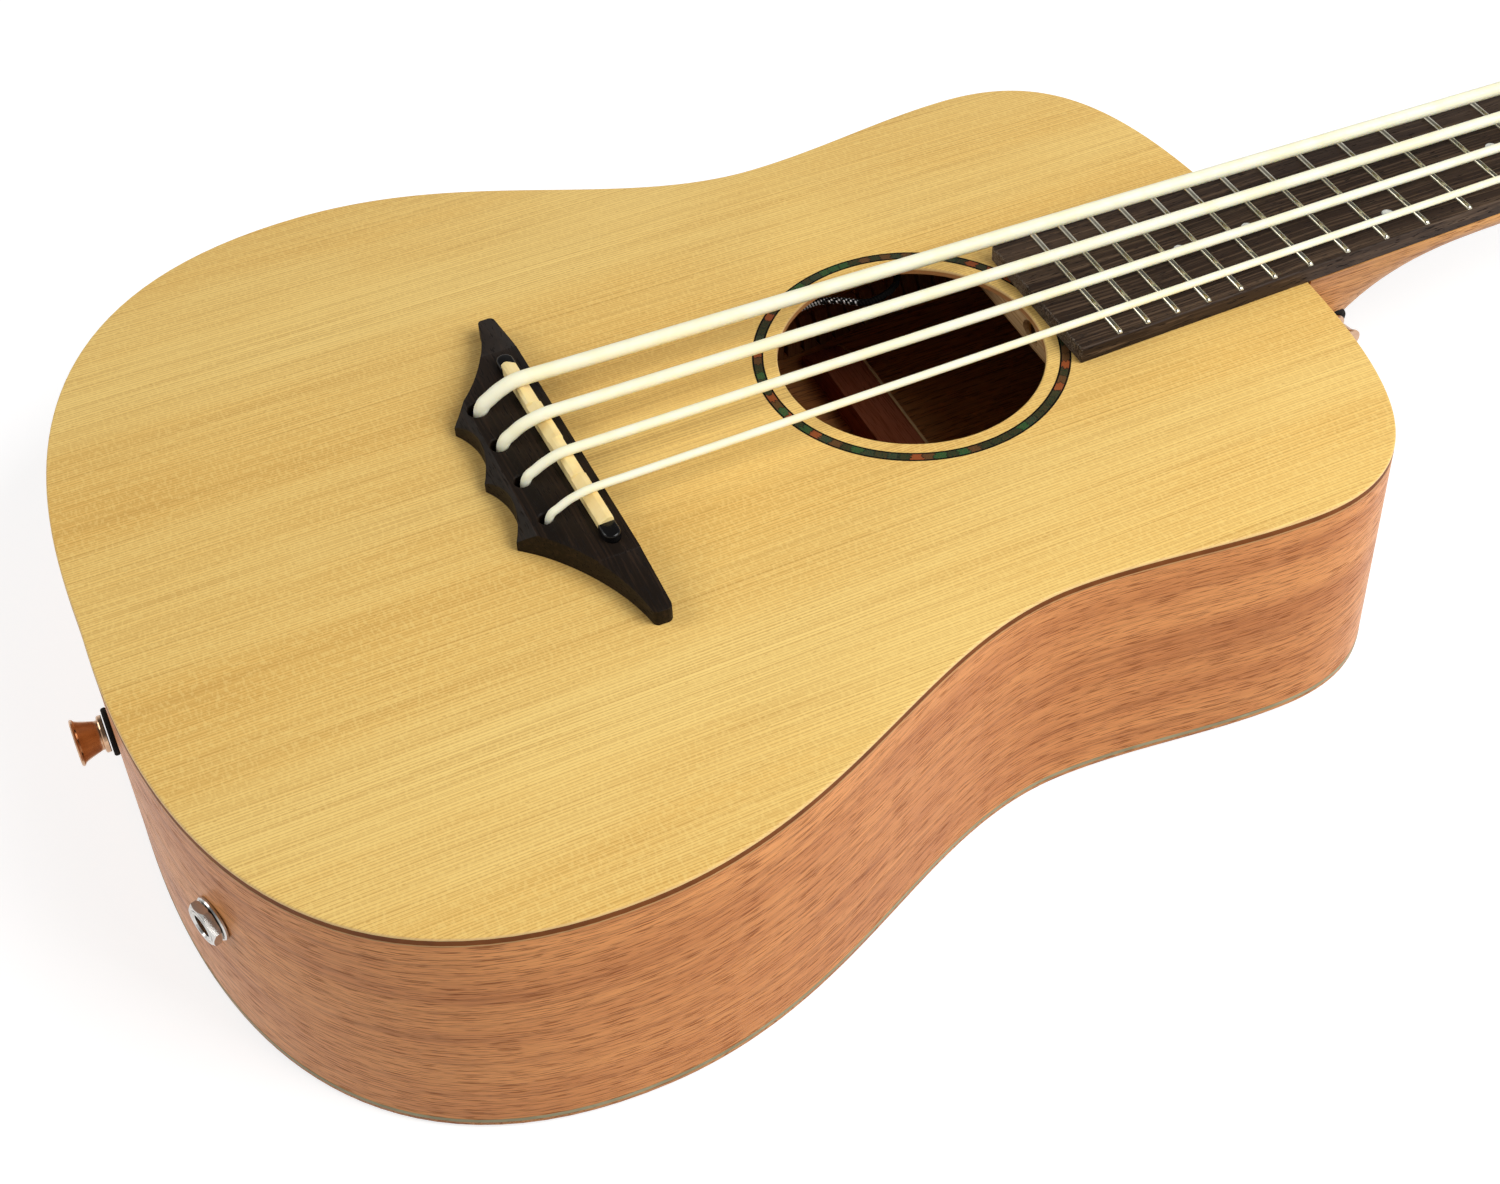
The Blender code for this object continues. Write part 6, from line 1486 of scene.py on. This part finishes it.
@dataclass
class Tuners:
    """Four open tuners: plate with ears, worm key, gear post and bushing."""

    neck: Neck
    post_radius: float = 0.0040
    post_rise: float = 0.0190
    post_screw_radius: float = 0.0028
    post_screw_height: float = 0.0016
    post_slot: tuple = (0.004, 0.0004)
    plate_size: tuple = (0.0300, 0.0190, 0.0012)
    plate_corner: float = 0.0030
    ear_thickness: float = 0.0018
    ear_width: float = 0.0070
    ear_spread: float = 0.0136
    screw_places: tuple = (0.0032, 0.0062)
    screw_head: tuple = ((0, 0.0011), (0.0008, 0.0010), (0.0016, 0.0005), (0.0019, 0), (0, 0))
    screw_slot: tuple = (0.0025, 0.00025)
    screw_slot_floor: float = 0.0006
    flange_radius: float = 0.0066
    bushing_radius: float = 0.0054
    bushing_depth: float = 0.0080
    teeth: int = 16
    module: float = 0.0008
    gear_thickness: float = 0.0034
    gear_standoff: float = 0.0019
    tooth_thickness: float = 0.00092
    addendum: float = 0.00060
    dedendum: float = 0.00095
    tooth_chamfer: float = 0.00022
    worm_radius: float = 0.0026
    worm_turns: float = 2.75
    shaft_radius: float = 0.0017
    stem_radius: float = 0.0024
    key_reach: float = 0.0100
    button: tuple = (0.0060, 0.0210, 0.0170)

    def levels(self) -> tuple[float, float, float, float]:
        """Return the plate's two faces and the gear's two faces below the headstock."""
        high = -self.neck.head_thickness - FIT
        low = high - self.plate_size[2]
        return high, low, low - self.gear_standoff, low - self.gear_standoff - self.gear_thickness

    def centre_distance(self) -> float:
        """Return how far the key's axis is from the post's."""
        return self.teeth * self.module / 2 + self.worm_radius

    def post_matrix(self, index: int) -> Matrix:
        """Return a post's frame."""
        return self.neck.head_matrix() @ Matrix.Translation((*POST_PLACES[index], 0))

    def key_matrix(self, index: int) -> Matrix:
        """Return a key's frame: Z along its shaft to the button."""
        sign = 1 if POST_PLACES[index][1] > 0 else -1
        turn = Matrix(((-1, 0, 0), (0, 0, sign), (0, sign, 0))).to_4x4()
        _, _, gear_high, gear_low = self.levels()
        axis = Matrix.Translation((self.centre_distance(), 0, (gear_high + gear_low) / 2))
        return self.post_matrix(index) @ axis @ turn

    def make_plate(self) -> bpy.types.Object:
        """Model the plate with its two ears and two screws."""
        high, low, gear_high, gear_low = self.levels()
        length, width, _ = self.plate_size
        middle_x, middle_z = self.centre_distance(), (gear_high + gear_low) / 2
        centre = middle_x / 2
        corner = self.plate_corner
        outline = []
        for x, y, start in ((1, 1, 0), (-1, 1, 90), (-1, -1, 180), (1, -1, 270)):
            for step in range(7):
                angle = math.radians(start + 15 * step)
                outline.append((centre + x * (length / 2 - corner) + corner * math.cos(angle),
                                y * (width / 2 - corner) + corner * math.sin(angle)))
        plate = Bench.round_edges(Bench.prism("plate", outline, low, high), 0.0003, 2, 50.0)
        parts = [plate]
        half = self.ear_width / 2
        turns = [math.pi * step / 12 for step in range(13)]
        profile = [(middle_x + half, low + FIT), (middle_x - half, low + FIT)]
        profile += [(middle_x - half * math.cos(turn), middle_z - half * math.sin(turn)) for turn in turns]
        for sign in (1, -1):
            ends = [sign * self.ear_spread / 2 + way * self.ear_thickness / 2 for way in (-1, 1)]
            ear = Bench.loft("ear", [[(x, y, z) for x, z in profile] for y in ends])
            parts.append(Bench.round_edges(ear, 0.0002, 2, 50.0))
        inset, side = self.screw_places
        profile = [(radius, low - height) for radius, height in self.screw_head]
        for place in (centre - length / 2 + inset, centre + length / 2 - inset):
            for y in (-side, side):
                screw = Bench.turned("screw", profile, Matrix.Translation((place, y, 0)), 24)
                slot = Bench.prism("slot", rectangle(*self.screw_slot, place, y),
                                   low - OVERCUT, low - self.screw_slot_floor)
                parts.append(Bench.combine(screw, slot))
        return Bench.unite("tuner_base", parts)

    def make_bushing(self) -> bpy.types.Object:
        """Model the flanged bushing on the headstock's face."""
        face = FIT + self.neck.veneer
        top = face + FIT + BUSHING_RISE
        inner, outer = self.post_radius + FIT, self.bushing_radius
        flange, low = self.flange_radius, -self.bushing_depth
        profile = [(flange - 0.0005, top), (flange - 0.00015, top - 0.00015), (flange, top - 0.0005),
                   (flange, face), (outer, face), (outer, low), (inner, low), (inner, top - 0.0003),
                   (inner + 0.0003, top)]
        return Bench.turned("bushing", profile, steps=48, ring=True)

    def make_post(self) -> bpy.types.Object:
        """Model the post with its string hole, gear and slotted screw."""
        _, _, gear_high, gear_low = self.levels()
        radius, rise = self.post_radius, self.post_rise
        screw = gear_low - self.post_screw_height
        head = self.post_screw_radius
        profile = [(0, rise), (radius - 0.0008, rise), (radius - 0.0002, rise - 0.0003),
                   (radius, rise - 0.0009), (radius, gear_high), (head, gear_high), (head, screw + 0.0006),
                   (head - 0.0003, screw + 0.0002), (head - 0.0008, screw), (0, screw)]
        post = Bench.turned("post", profile, steps=48)
        floor = screw + self.screw_slot_floor
        slot = Bench.prism("slot", rectangle(*self.post_slot), screw - OVERCUT / 2, floor)
        Bench.combine(post, slot)
        pitch_radius = self.teeth * self.module / 2
        tip, root = pitch_radius + self.addendum, pitch_radius - self.dedendum
        lead = math.pi * self.module
        twist = lead / (2 * math.pi * self.worm_radius) * self.gear_thickness / 2 / pitch_radius
        flank = ((root, 0.65), (pitch_radius - 0.0002, 0.52), (pitch_radius + 0.0003, 0.45), (tip, 0.34))
        corners = [(distance, -part) for distance, part in flank] + list(reversed(flank))
        rings = []
        for share in (-1.0, -0.86, 0.86, 1.0):
            z = (gear_high + gear_low) / 2 + share * self.gear_thickness / 2
            drop = self.tooth_chamfer if abs(share) == 1.0 else 0.0
            ring = []
            for tooth in range(self.teeth):
                middle = 2 * math.pi * (tooth + 0.5) / self.teeth + twist * share
                for distance, part in corners:
                    angle = middle + part * self.tooth_thickness / pitch_radius
                    reach = distance - (drop if distance > root else 0.0)
                    ring.append((reach * math.cos(angle), reach * math.sin(angle), z))
            rings.append(ring)
        return Bench.unite("gear_post", [post, Bench.loft("gear", rings)])

    def make_key(self) -> bpy.types.Object:
        """Model the key: shaft, worm, stem and oval button."""
        ear_out = self.ear_spread / 2 + self.ear_thickness / 2
        start, end = ear_out + FIT, ear_out + self.key_reach
        shaft, stem = self.shaft_radius, self.stem_radius
        waist, collar, far = stem * 0.82, stem * 1.15, -ear_out - 0.0008
        profile = [(0, end + 0.003), (stem, end + 0.003), (stem, end), (waist, end - 0.0012),
                   (waist, start + 0.0022), (collar, start + 0.0016), (collar, start + 0.0003), (stem, start),
                   (shaft, start), (shaft, -ear_out - 0.0006), (shaft - 0.0003, far), (0, far)]
        parts = [Bench.turned("shaft", profile, steps=40)]
        tip, root = self.worm_radius + self.addendum, shaft - 0.0004
        lead = math.pi * self.module
        corners = ((root, -0.75), (tip - 0.00015, -0.40), (tip, -0.28), (tip, 0.28), (tip - 0.00015, 0.40),
                   (root, 0.75))
        steps = 28
        rings = []
        for step in range(round(self.worm_turns * steps) + 1):
            turn = step / steps - self.worm_turns / 2
            angle = 2 * math.pi * turn
            rings.append([(radius * math.cos(angle), radius * math.sin(angle),
                           lead * turn + share * self.tooth_thickness) for radius, share in corners])
        parts.append(Bench.loft("worm", rings))
        thickness, width, length = self.button
        middle = end + length / 2
        turns = [math.pi * step / 20 for step in range(21)]
        dome = [(math.sin(turn) ** 0.8 * width / 2, math.cos(turn) * thickness / 2) for turn in turns]
        lens = Bench.turned("button", dome, steps=56)
        stretch = Matrix.Diagonal((1.0, length / width, 1.0, 1.0))
        turn = Matrix(((0, 0, 1), (1, 0, 0), (0, 1, 0))).to_4x4()
        parts.append(Bench.move(lens, Matrix.Translation((0, 0, middle)) @ turn @ stretch))
        return Bench.unite("worm_key", parts)

    def build(self) -> None:
        """Model each part of a tuner once and set four of each in place."""
        for node, master, matrix_of, moves in (
            ("tuner_plate", self.make_plate(), self.post_matrix, False),
            ("tuner_bushing", self.make_bushing(), self.post_matrix, False),
            ("tuner_post", self.make_post(), self.post_matrix, True),
            ("tuner_key", self.make_key(), self.key_matrix, True),
        ):
            for index, name in enumerate(STRING_NAMES):
                piece = Bench.copy(master, f"{master.name}_{name}", matrix_of(index))
                place = f"{node}_{name}"
                Bench.hand_over(piece, Paint.CHROME, place, place if moves else "body", angle=40)
            bpy.data.objects.remove(master, do_unlink=True)


@dataclass
class Strings:
    """Four polymer strings, each as its span and its turns round the post."""

    bridge: Bridge
    neck: Neck
    tuners: Tuners
    bead: tuple = ((0.0, 0.8), (0.15, 1.45), (0.42, 1.75), (0.75, 1.6), (1.0, 1.0))
    bead_length: float = 0.0056
    arch_lean: float = 0.0012
    arch_forward: tuple = (0.0041, 0.0080)
    arch_rise: tuple = (0.42, 0.78)
    arch_straight: float = 0.0120
    arch_step: float = 0.0009
    saddle_gap: float = 0.0001
    past_contact: float = 0.0004
    spread_at_nut: float = 0.0340
    nut_height: float = BOARD_THICKNESS + FRET_HEIGHT + STRING_CLEARANCE
    winding_turns: float = 1.5
    winding_gap: float = 0.0005
    tail: float = 0.0060
    turn_steps: int = 40
    overlap: int = 3

    def span_route(self, index: int) -> tuple[list[Vector], list[float]]:
        """Return the route from the bead to behind the nut, and how much thicker it is at each point."""
        radius = STRING_RADII[index]
        x, y = self.bridge.string_hole(index)
        bead_start = PLATE_LOW - FIT - self.bead_length
        points = [Vector((x, y, bead_start + share * self.bead_length)) for share, _ in self.bead]
        swells = [swell for _, swell in self.bead]
        top = self.bridge.top()
        over = BODY_DEPTH + self.bridge.saddle_crown + radius + self.saddle_gap
        crown = self.bridge.saddle_matrix() @ Vector((self.bridge.break_offsets[index], y, over))
        y_nut = string_share(index) * self.spread_at_nut
        nut_in = Vector((SCALE_LENGTH, y_nut, BODY_DEPTH + self.nut_height + radius))
        nut_out = nut_in + Vector((self.neck.nut_thickness, 0, 0))
        rise = crown.z - top
        arch = [(x, y, BODY_DEPTH), (x + self.arch_lean, y, top)]
        arch += [(x + forward, y, top + share * rise)
                 for forward, share in zip(self.arch_forward, self.arch_rise)]
        arch += [tuple(crown), tuple(crown + (nut_in - crown).normalized() * self.arch_straight)]
        route = points + smooth_route(arch, self.arch_step) + [nut_in, nut_out]
        return route, swells + [1.0] * (len(route) - len(swells))

    def winding_route(self, index: int, start: Vector) -> tuple[list[Vector], Vector]:
        """Return the turns round the post with the string's end, and where the span reaches them."""
        radius = STRING_RADII[index]
        post_x, post_y = POST_PLACES[index]
        reach = self.tuners.post_radius + FIT + radius
        pitch = 2 * radius + self.winding_gap
        head = self.neck.head_matrix()
        high = FIT + self.neck.veneer + 2 * FIT + BUSHING_RISE + radius + self.winding_turns * pitch
        local = head.inverted() @ start
        away = Vector((post_x - local.x, post_y - local.y))
        sense = 1 if post_y > 0 else -1
        first = math.atan2(away.y, away.x) - sense * math.asin(reach / away.length) - sense * math.pi / 2
        turns = []
        for step in range(-self.overlap, round(self.winding_turns * self.turn_steps) + 1):
            angle = first + sense * 2 * math.pi * step / self.turn_steps
            turns.append(Vector((post_x + reach * math.cos(angle), post_y + reach * math.sin(angle),
                                 high - pitch * max(step, 0) / self.turn_steps)))
        last = turns[-1] - turns[-2]
        last.z = 0
        turns.append(turns[-1] + last.normalized() * self.tail)
        contact = head @ turns[self.overlap]
        return [head @ point for point in turns], contact

    def build(self) -> None:
        """Build the four strings."""
        for index, name in enumerate(STRING_NAMES):
            radius = STRING_RADII[index]
            route, swells = self.span_route(index)
            turns, contact = self.winding_route(index, route[-1])
            beyond = contact + (contact - route[-1]).normalized() * self.past_contact
            span = Bench.tube(f"string_span_{name}", [*route, beyond], radius, 6, [*swells, 1.0])
            Bench.hand_over(span, Paint.STRING, f"string_{name}", angle=60)
            coil = Bench.tube(f"string_coil_{name}", turns, radius, 5)
            Bench.hand_over(coil, Paint.STRING, f"string_{name}", f"tuner_post_{name}", False, 60)


@dataclass
class Hardware:
    """Strap buttons, output jack, pickup lead and the truss rod's nut."""

    outline: BodyOutline
    bridge: Bridge
    neck: Neck
    tail_z: float = 0.0392
    felt: tuple = (0.0070, 0.0014)
    button_length: float = 0.0086
    rim_radius: float = 0.0068
    waist_radius: float = 0.0043
    foot_radius: float = 0.0054
    jack_y: float = -0.0805
    jack_z: float = 0.0470
    thread_radius: float = 0.0044
    thread_pitch: float = 0.0007
    thread_depth: float = 0.0003
    thread_inside: float = 0.002
    bore_radius: float = 0.0034
    bore_depth: float = 0.020
    barrel: tuple = (0.0070, -0.0030, -0.0290)
    lead_meets_jack: float = -0.0411
    jack_out: float = 0.0042
    washer: tuple = (0.0065, 0.0009)
    hexagon: tuple = (0.0112, 0.0025)
    rod_nut_radius: float = 0.0042
    rod_nut_length: float = 0.0120
    rod_socket: tuple = (0.0028, 0.0072)
    lead_radius: float = 0.0011
    lead_drop: float = 0.0050
    lead_step: float = 0.003
    lead_middle: tuple = ((0.0100, -0.0150, 0.0690), (0.0560, 0.0330, 0.0680), (0.0987, 0.0480, 0.0688),
                          (0.1180, 0.0405, 0.0690), (0.1290, 0.0440, 0.0725), (0.1210, 0.0590, 0.0750),
                          (0.0900, 0.0660, 0.0740), (0.0200, 0.0600, 0.0680), (-0.0450, 0.0050, 0.0450),
                          (-0.0620, -0.0600, 0.0360))

    def jack_matrix(self) -> Matrix:
        """Return the jack's frame on the treble rib."""
        point, out = self.outline.tail_station(self.jack_y)
        return facing((out.x, out.y, 0), (point.x, point.y, self.jack_z))

    def make_button(self, where: str, matrix: Matrix) -> None:
        """Model a turned strap button on its felt washer."""
        foot = 2 * FIT + self.felt[1]
        top = foot + self.button_length
        rim, waist, base = self.rim_radius, self.waist_radius, self.foot_radius
        profile = [(0, top - 0.0002), (rim * 0.55, top - 0.0002), (rim - 0.0009, top),
                   (rim - 0.0003, top - 0.00008), (rim, top - 0.0004), (rim - 0.0001, top - 0.0009),
                   (rim - 0.0007, top - 0.0013)]
        for step in range(1, 10):
            share = step / 9
            profile.append((rim - 0.0007 + (waist - rim + 0.0007) * share**0.85,
                            top - 0.0013 + (foot + 0.0022 - top + 0.0013) * share))
        profile += [(waist, foot + 0.0017), (base - 0.0002, foot + 0.0014), (base, foot + 0.0011),
                    (base, foot + 0.0002), (base - 0.0002, foot), (0, foot)]
        button = Bench.turned(f"strap_cone_{where}", profile, matrix, 72)
        Bench.hand_over(button, Paint.BUTTON, f"strap_button_{where}", angle=30)
        radius, thickness = self.felt
        felt = [(0.002, thickness + FIT), (radius - 0.0004, thickness + FIT), (radius - 0.0001, thickness),
                (radius, thickness - 0.0003), (radius, 0.0005), (radius - 0.0003, 0.0001), (0.002, 0.0001)]
        Bench.hand_over(Bench.turned(f"felt_washer_{where}", felt, matrix, 64, ring=True), Paint.FELT,
                        f"strap_felt_{where}", angle=40)

    def make_jack(self) -> None:
        """Model the threaded jack with its washer and chamfered hexagon nut."""
        matrix = self.jack_matrix()
        thread, bore, out = self.thread_radius, self.bore_radius, self.jack_out
        washer_radius, washer = self.washer
        across, nut = self.hexagon
        floor, (barrel, near, far) = -self.bore_depth, self.barrel
        pitch, depth = self.thread_pitch, self.thread_depth
        profile = [(bore, floor), (bore, out - 0.0005), (bore + 0.0004, out), (thread - 0.0004, out)]
        for ridge in range(int((out + self.thread_inside) / pitch)):
            z = out - depth - ridge * pitch
            profile += [(thread, z), (thread - depth, z - pitch / 2)]
        profile += [(thread - depth, near), (barrel, near), (barrel, far), (0.0, far), (0.0, floor)]
        jack = Bench.turned("jack_body", profile, matrix, 64, ring=True)
        Bench.hand_over(jack, Paint.CHROME, "output_jack", angle=25)
        loose, rim = thread + 0.0001, washer_radius
        profile = [(loose, 0.0001), (rim - 0.0002, 0.0001), (rim, 0.0003), (rim, washer - 0.0001),
                   (rim - 0.0003, washer + FIT), (loose, washer + FIT)]
        ring = Bench.turned("jack_washer_ring", profile, matrix, 72, ring=True)
        Bench.hand_over(ring, Paint.CHROME, "jack_washer")
        low = 2 * FIT + washer
        high, corner = low + nut, across / math.sqrt(3)
        body = Bench.prism("jack_hexagon", hexagon_outline(corner), low, high)
        chamfer = [(0, low), (corner * 0.93, low), (corner * 1.02, low + 0.0005),
                   (corner * 1.02, high - 0.0008), (corner * 0.86, high), (0, high)]
        Bench.combine(body, Bench.turned("chamfer", chamfer, steps=72), "INTERSECT")
        hole = [(0, low - 0.001), (loose, low - 0.001), (loose, high - 0.0004),
                (thread + 0.0006, high + 0.0001), (thread + 0.0006, high + 0.001), (0, high + 0.001)]
        Bench.combine(body, Bench.turned("nut_hole", hole, steps=64))
        Bench.hand_over(Bench.move(body, matrix), Paint.CHROME, "jack_nut", angle=20)

    def make_lead(self) -> None:
        """Model the braided lead from the pickup to the jack."""
        matrix = self.jack_matrix()
        saddle = self.bridge.saddle_matrix()
        slot = saddle @ Vector((0, -self.bridge.saddle_length / 2 + 2 * self.lead_radius,
                                self.bridge.top() - self.bridge.slot_depth))
        plug = [tuple(matrix @ Vector((0, 0, z))) for z in (self.lead_meets_jack, self.barrel[2])]
        route = [tuple(slot), (slot.x, slot.y, PLATE_LOW), (slot.x, slot.y, PLATE_LOW - self.lead_drop),
                 *self.lead_middle, *plug]
        lead = Bench.tube("braided_lead", smooth_route(route, self.lead_step), self.lead_radius, 4)
        Bench.hand_over(lead, Paint.LEAD, "pickup_lead", angle=60)

    def make_rod_nut(self) -> None:
        """Model the truss rod's nut with its hexagon socket."""
        low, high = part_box("truss_rod_nut")
        start = low[0] + MIDDLE_X
        radius, length = self.rod_nut_radius, self.rod_nut_length
        middle = (low[2] + high[2]) / 2
        neck = radius - 0.0003
        profile = [(0, 0.0002), (0.0030, 0), (radius - 0.0005, 0), (radius, 0.0005), (radius, 0.0040),
                   (neck, 0.0044), (neck, length - 0.0004), (radius - 0.0006, length), (0, length)]
        nut = Bench.turned("rod_nut", profile, steps=56)
        socket_radius, socket_depth = self.rod_socket
        Bench.combine(nut, Bench.prism("socket", hexagon_outline(socket_radius), -OVERCUT, socket_depth))
        Bench.move(nut, Matrix.Translation((start, 0, middle)) @ Matrix.Rotation(math.pi / 2, 4, "Y"))
        Bench.hand_over(nut, Paint.BRASS, "truss_rod_nut", "truss_rod_nut", angle=25)

    def build(self) -> None:
        """Build the hardware."""
        self.make_button("tail", facing((-1, 0, 0), (self.outline.tail_x, 0, self.tail_z)))
        self.make_button("heel", self.neck.heel_seat_matrix())
        self.make_jack()
        self.make_lead()
        self.make_rod_nut()


@dataclass
class Studio:
    """Pale floor, soft lights and the camera at the photograph's angle."""

    focal_pixels: float = 2337.710567603491
    centre_pixels: tuple = (871.74, 387.60)
    image: tuple = (1500, 1184)
    turn: tuple = (2.24661762188403, -0.5312530936223688, 0.23426199370066764)
    shift: tuple = (-0.16434188062566676, 0.04198531905388328, 1.2505655987852473)
    sensor: float = 36.0
    key_place: tuple = (0.45, -0.70, 1.05)
    key_power: float = 18.5
    fill_place: tuple = (-1.50, 0.55, 0.90)
    fill_power: float = 8.0
    lamp_size: float = 0.9
    lamp_target: tuple = (-0.2, 0, 0.05)
    wall_light: float = 0.70
    ceiling_light: float = 0.12
    floor_size: float = 8.0
    floor_z: float = -0.0006
    floor_grey: float = 0.45
    floor_white: float = 0.74

    def make_camera(self) -> None:
        """Set the camera as the frets, circles and outline of the photograph fix it."""
        axis = Vector(self.turn)
        rotation = Quaternion(axis.normalized(), axis.length).to_matrix()
        place = -(rotation.transposed() @ Vector(self.shift)) * SCALE_LENGTH
        place = Vector((place.x - MIDDLE_X, place.y, place.z + BODY_DEPTH))
        view = rotation.transposed() @ Matrix(((1, 0, 0), (0, -1, 0), (0, 0, -1)))
        bpy.ops.object.camera_add()
        camera = bpy.context.object
        camera.matrix_world = Matrix.Translation(place) @ view.to_4x4()
        width, height = self.image
        camera.data.sensor_width = self.sensor
        camera.data.lens = self.focal_pixels * self.sensor / width
        camera.data.shift_x = (width / 2 - self.centre_pixels[0]) / width
        camera.data.shift_y = (self.centre_pixels[1] - height / 2) / width
        camera.data.clip_start = 0.01
        bpy.context.scene.camera = camera

    def make_floor(self) -> None:
        """Lay the pale floor, which the camera sees as white outside the shadow."""
        bpy.ops.mesh.primitive_plane_add(size=self.floor_size, location=(0, 0, self.floor_z))
        floor = bpy.context.object
        floor.name = "studio_floor"
        bpy.ops.object.mode_set(mode="EDIT")
        bpy.ops.mesh.select_all(action="SELECT")
        bpy.ops.mesh.subdivide(number_cuts=3)
        bpy.ops.object.mode_set(mode="OBJECT")
        graph = Graph("pale_floor")
        rays = graph.node("ShaderNodeLightPath").outputs
        seen = Signal(graph, rays["Is Camera Ray"]).most(Signal(graph, rays["Is Glossy Ray"]))
        base = graph.node("ShaderNodeBsdfDiffuse", inputs={"Color": (*[self.floor_grey] * 3, 1.0)})
        shine = {"Color": (1, 1, 1, 1), "Strength": seen * self.floor_white}
        glow = graph.node("ShaderNodeEmission", inputs=shine)
        both = graph.node("ShaderNodeAddShader", inputs={0: base.outputs[0], 1: glow.outputs[0]})
        graph.node("ShaderNodeOutputMaterial", inputs={"Surface": both.outputs[0]})
        floor.data.materials.append(graph.material)

    def make_air(self) -> None:
        """Light the studio's pale walls and its dimmer ceiling, with white behind the instrument."""
        world = bpy.data.worlds.new("studio_air")
        graph = Graph(world.name, world)
        height = graph.place("Generated")[2]
        walls = height.fade(0.65, 0.15) * (self.wall_light - self.ceiling_light) + self.ceiling_light
        seen = Signal(graph, graph.node("ShaderNodeLightPath").outputs["Is Camera Ray"])
        light = {"Color": (1, 1, 1, 1), "Strength": walls + seen * (1 - walls)}
        air = graph.node("ShaderNodeBackground", inputs=light)
        graph.node("ShaderNodeOutputWorld", inputs={"Surface": air.outputs[0]})
        bpy.context.scene.world = world

    def add_lamp(self, name: str, place: Point, power: float) -> None:
        """Hang a square soft lamp that faces the instrument's body."""
        bpy.ops.object.light_add(type="AREA", location=place)
        lamp = bpy.context.object
        lamp.name = name
        lamp.data.size = self.lamp_size
        lamp.data.energy = power
        lamp.rotation_euler = (Vector(place) - Vector(self.lamp_target)).to_track_quat("Z", "Y").to_euler()

    def build(self) -> None:
        """Set up the studio."""
        self.make_camera()
        self.make_floor()
        self.make_air()
        self.add_lamp("key_softbox", self.key_place, self.key_power)
        self.add_lamp("tail_softbox", self.fill_place, self.fill_power)
        bpy.context.scene.view_settings.view_transform = "Standard"


def main() -> None:
    """Build every sub-assembly in order, then the studio."""
    logging.basicConfig(level=logging.INFO, format="%(message)s")
    outline = BodyOutline()
    bridge = Bridge()
    neck = Neck()
    tuners = Tuners(neck)
    for assembly in (Soundbox(outline), bridge, Fretboard(), neck, tuners, Strings(bridge, neck, tuners),
                     Hardware(outline, bridge, neck), Studio()):
        LOG.info("building %s", type(assembly).__name__)
        assembly.build()


if __name__ == "__main__":
    main()
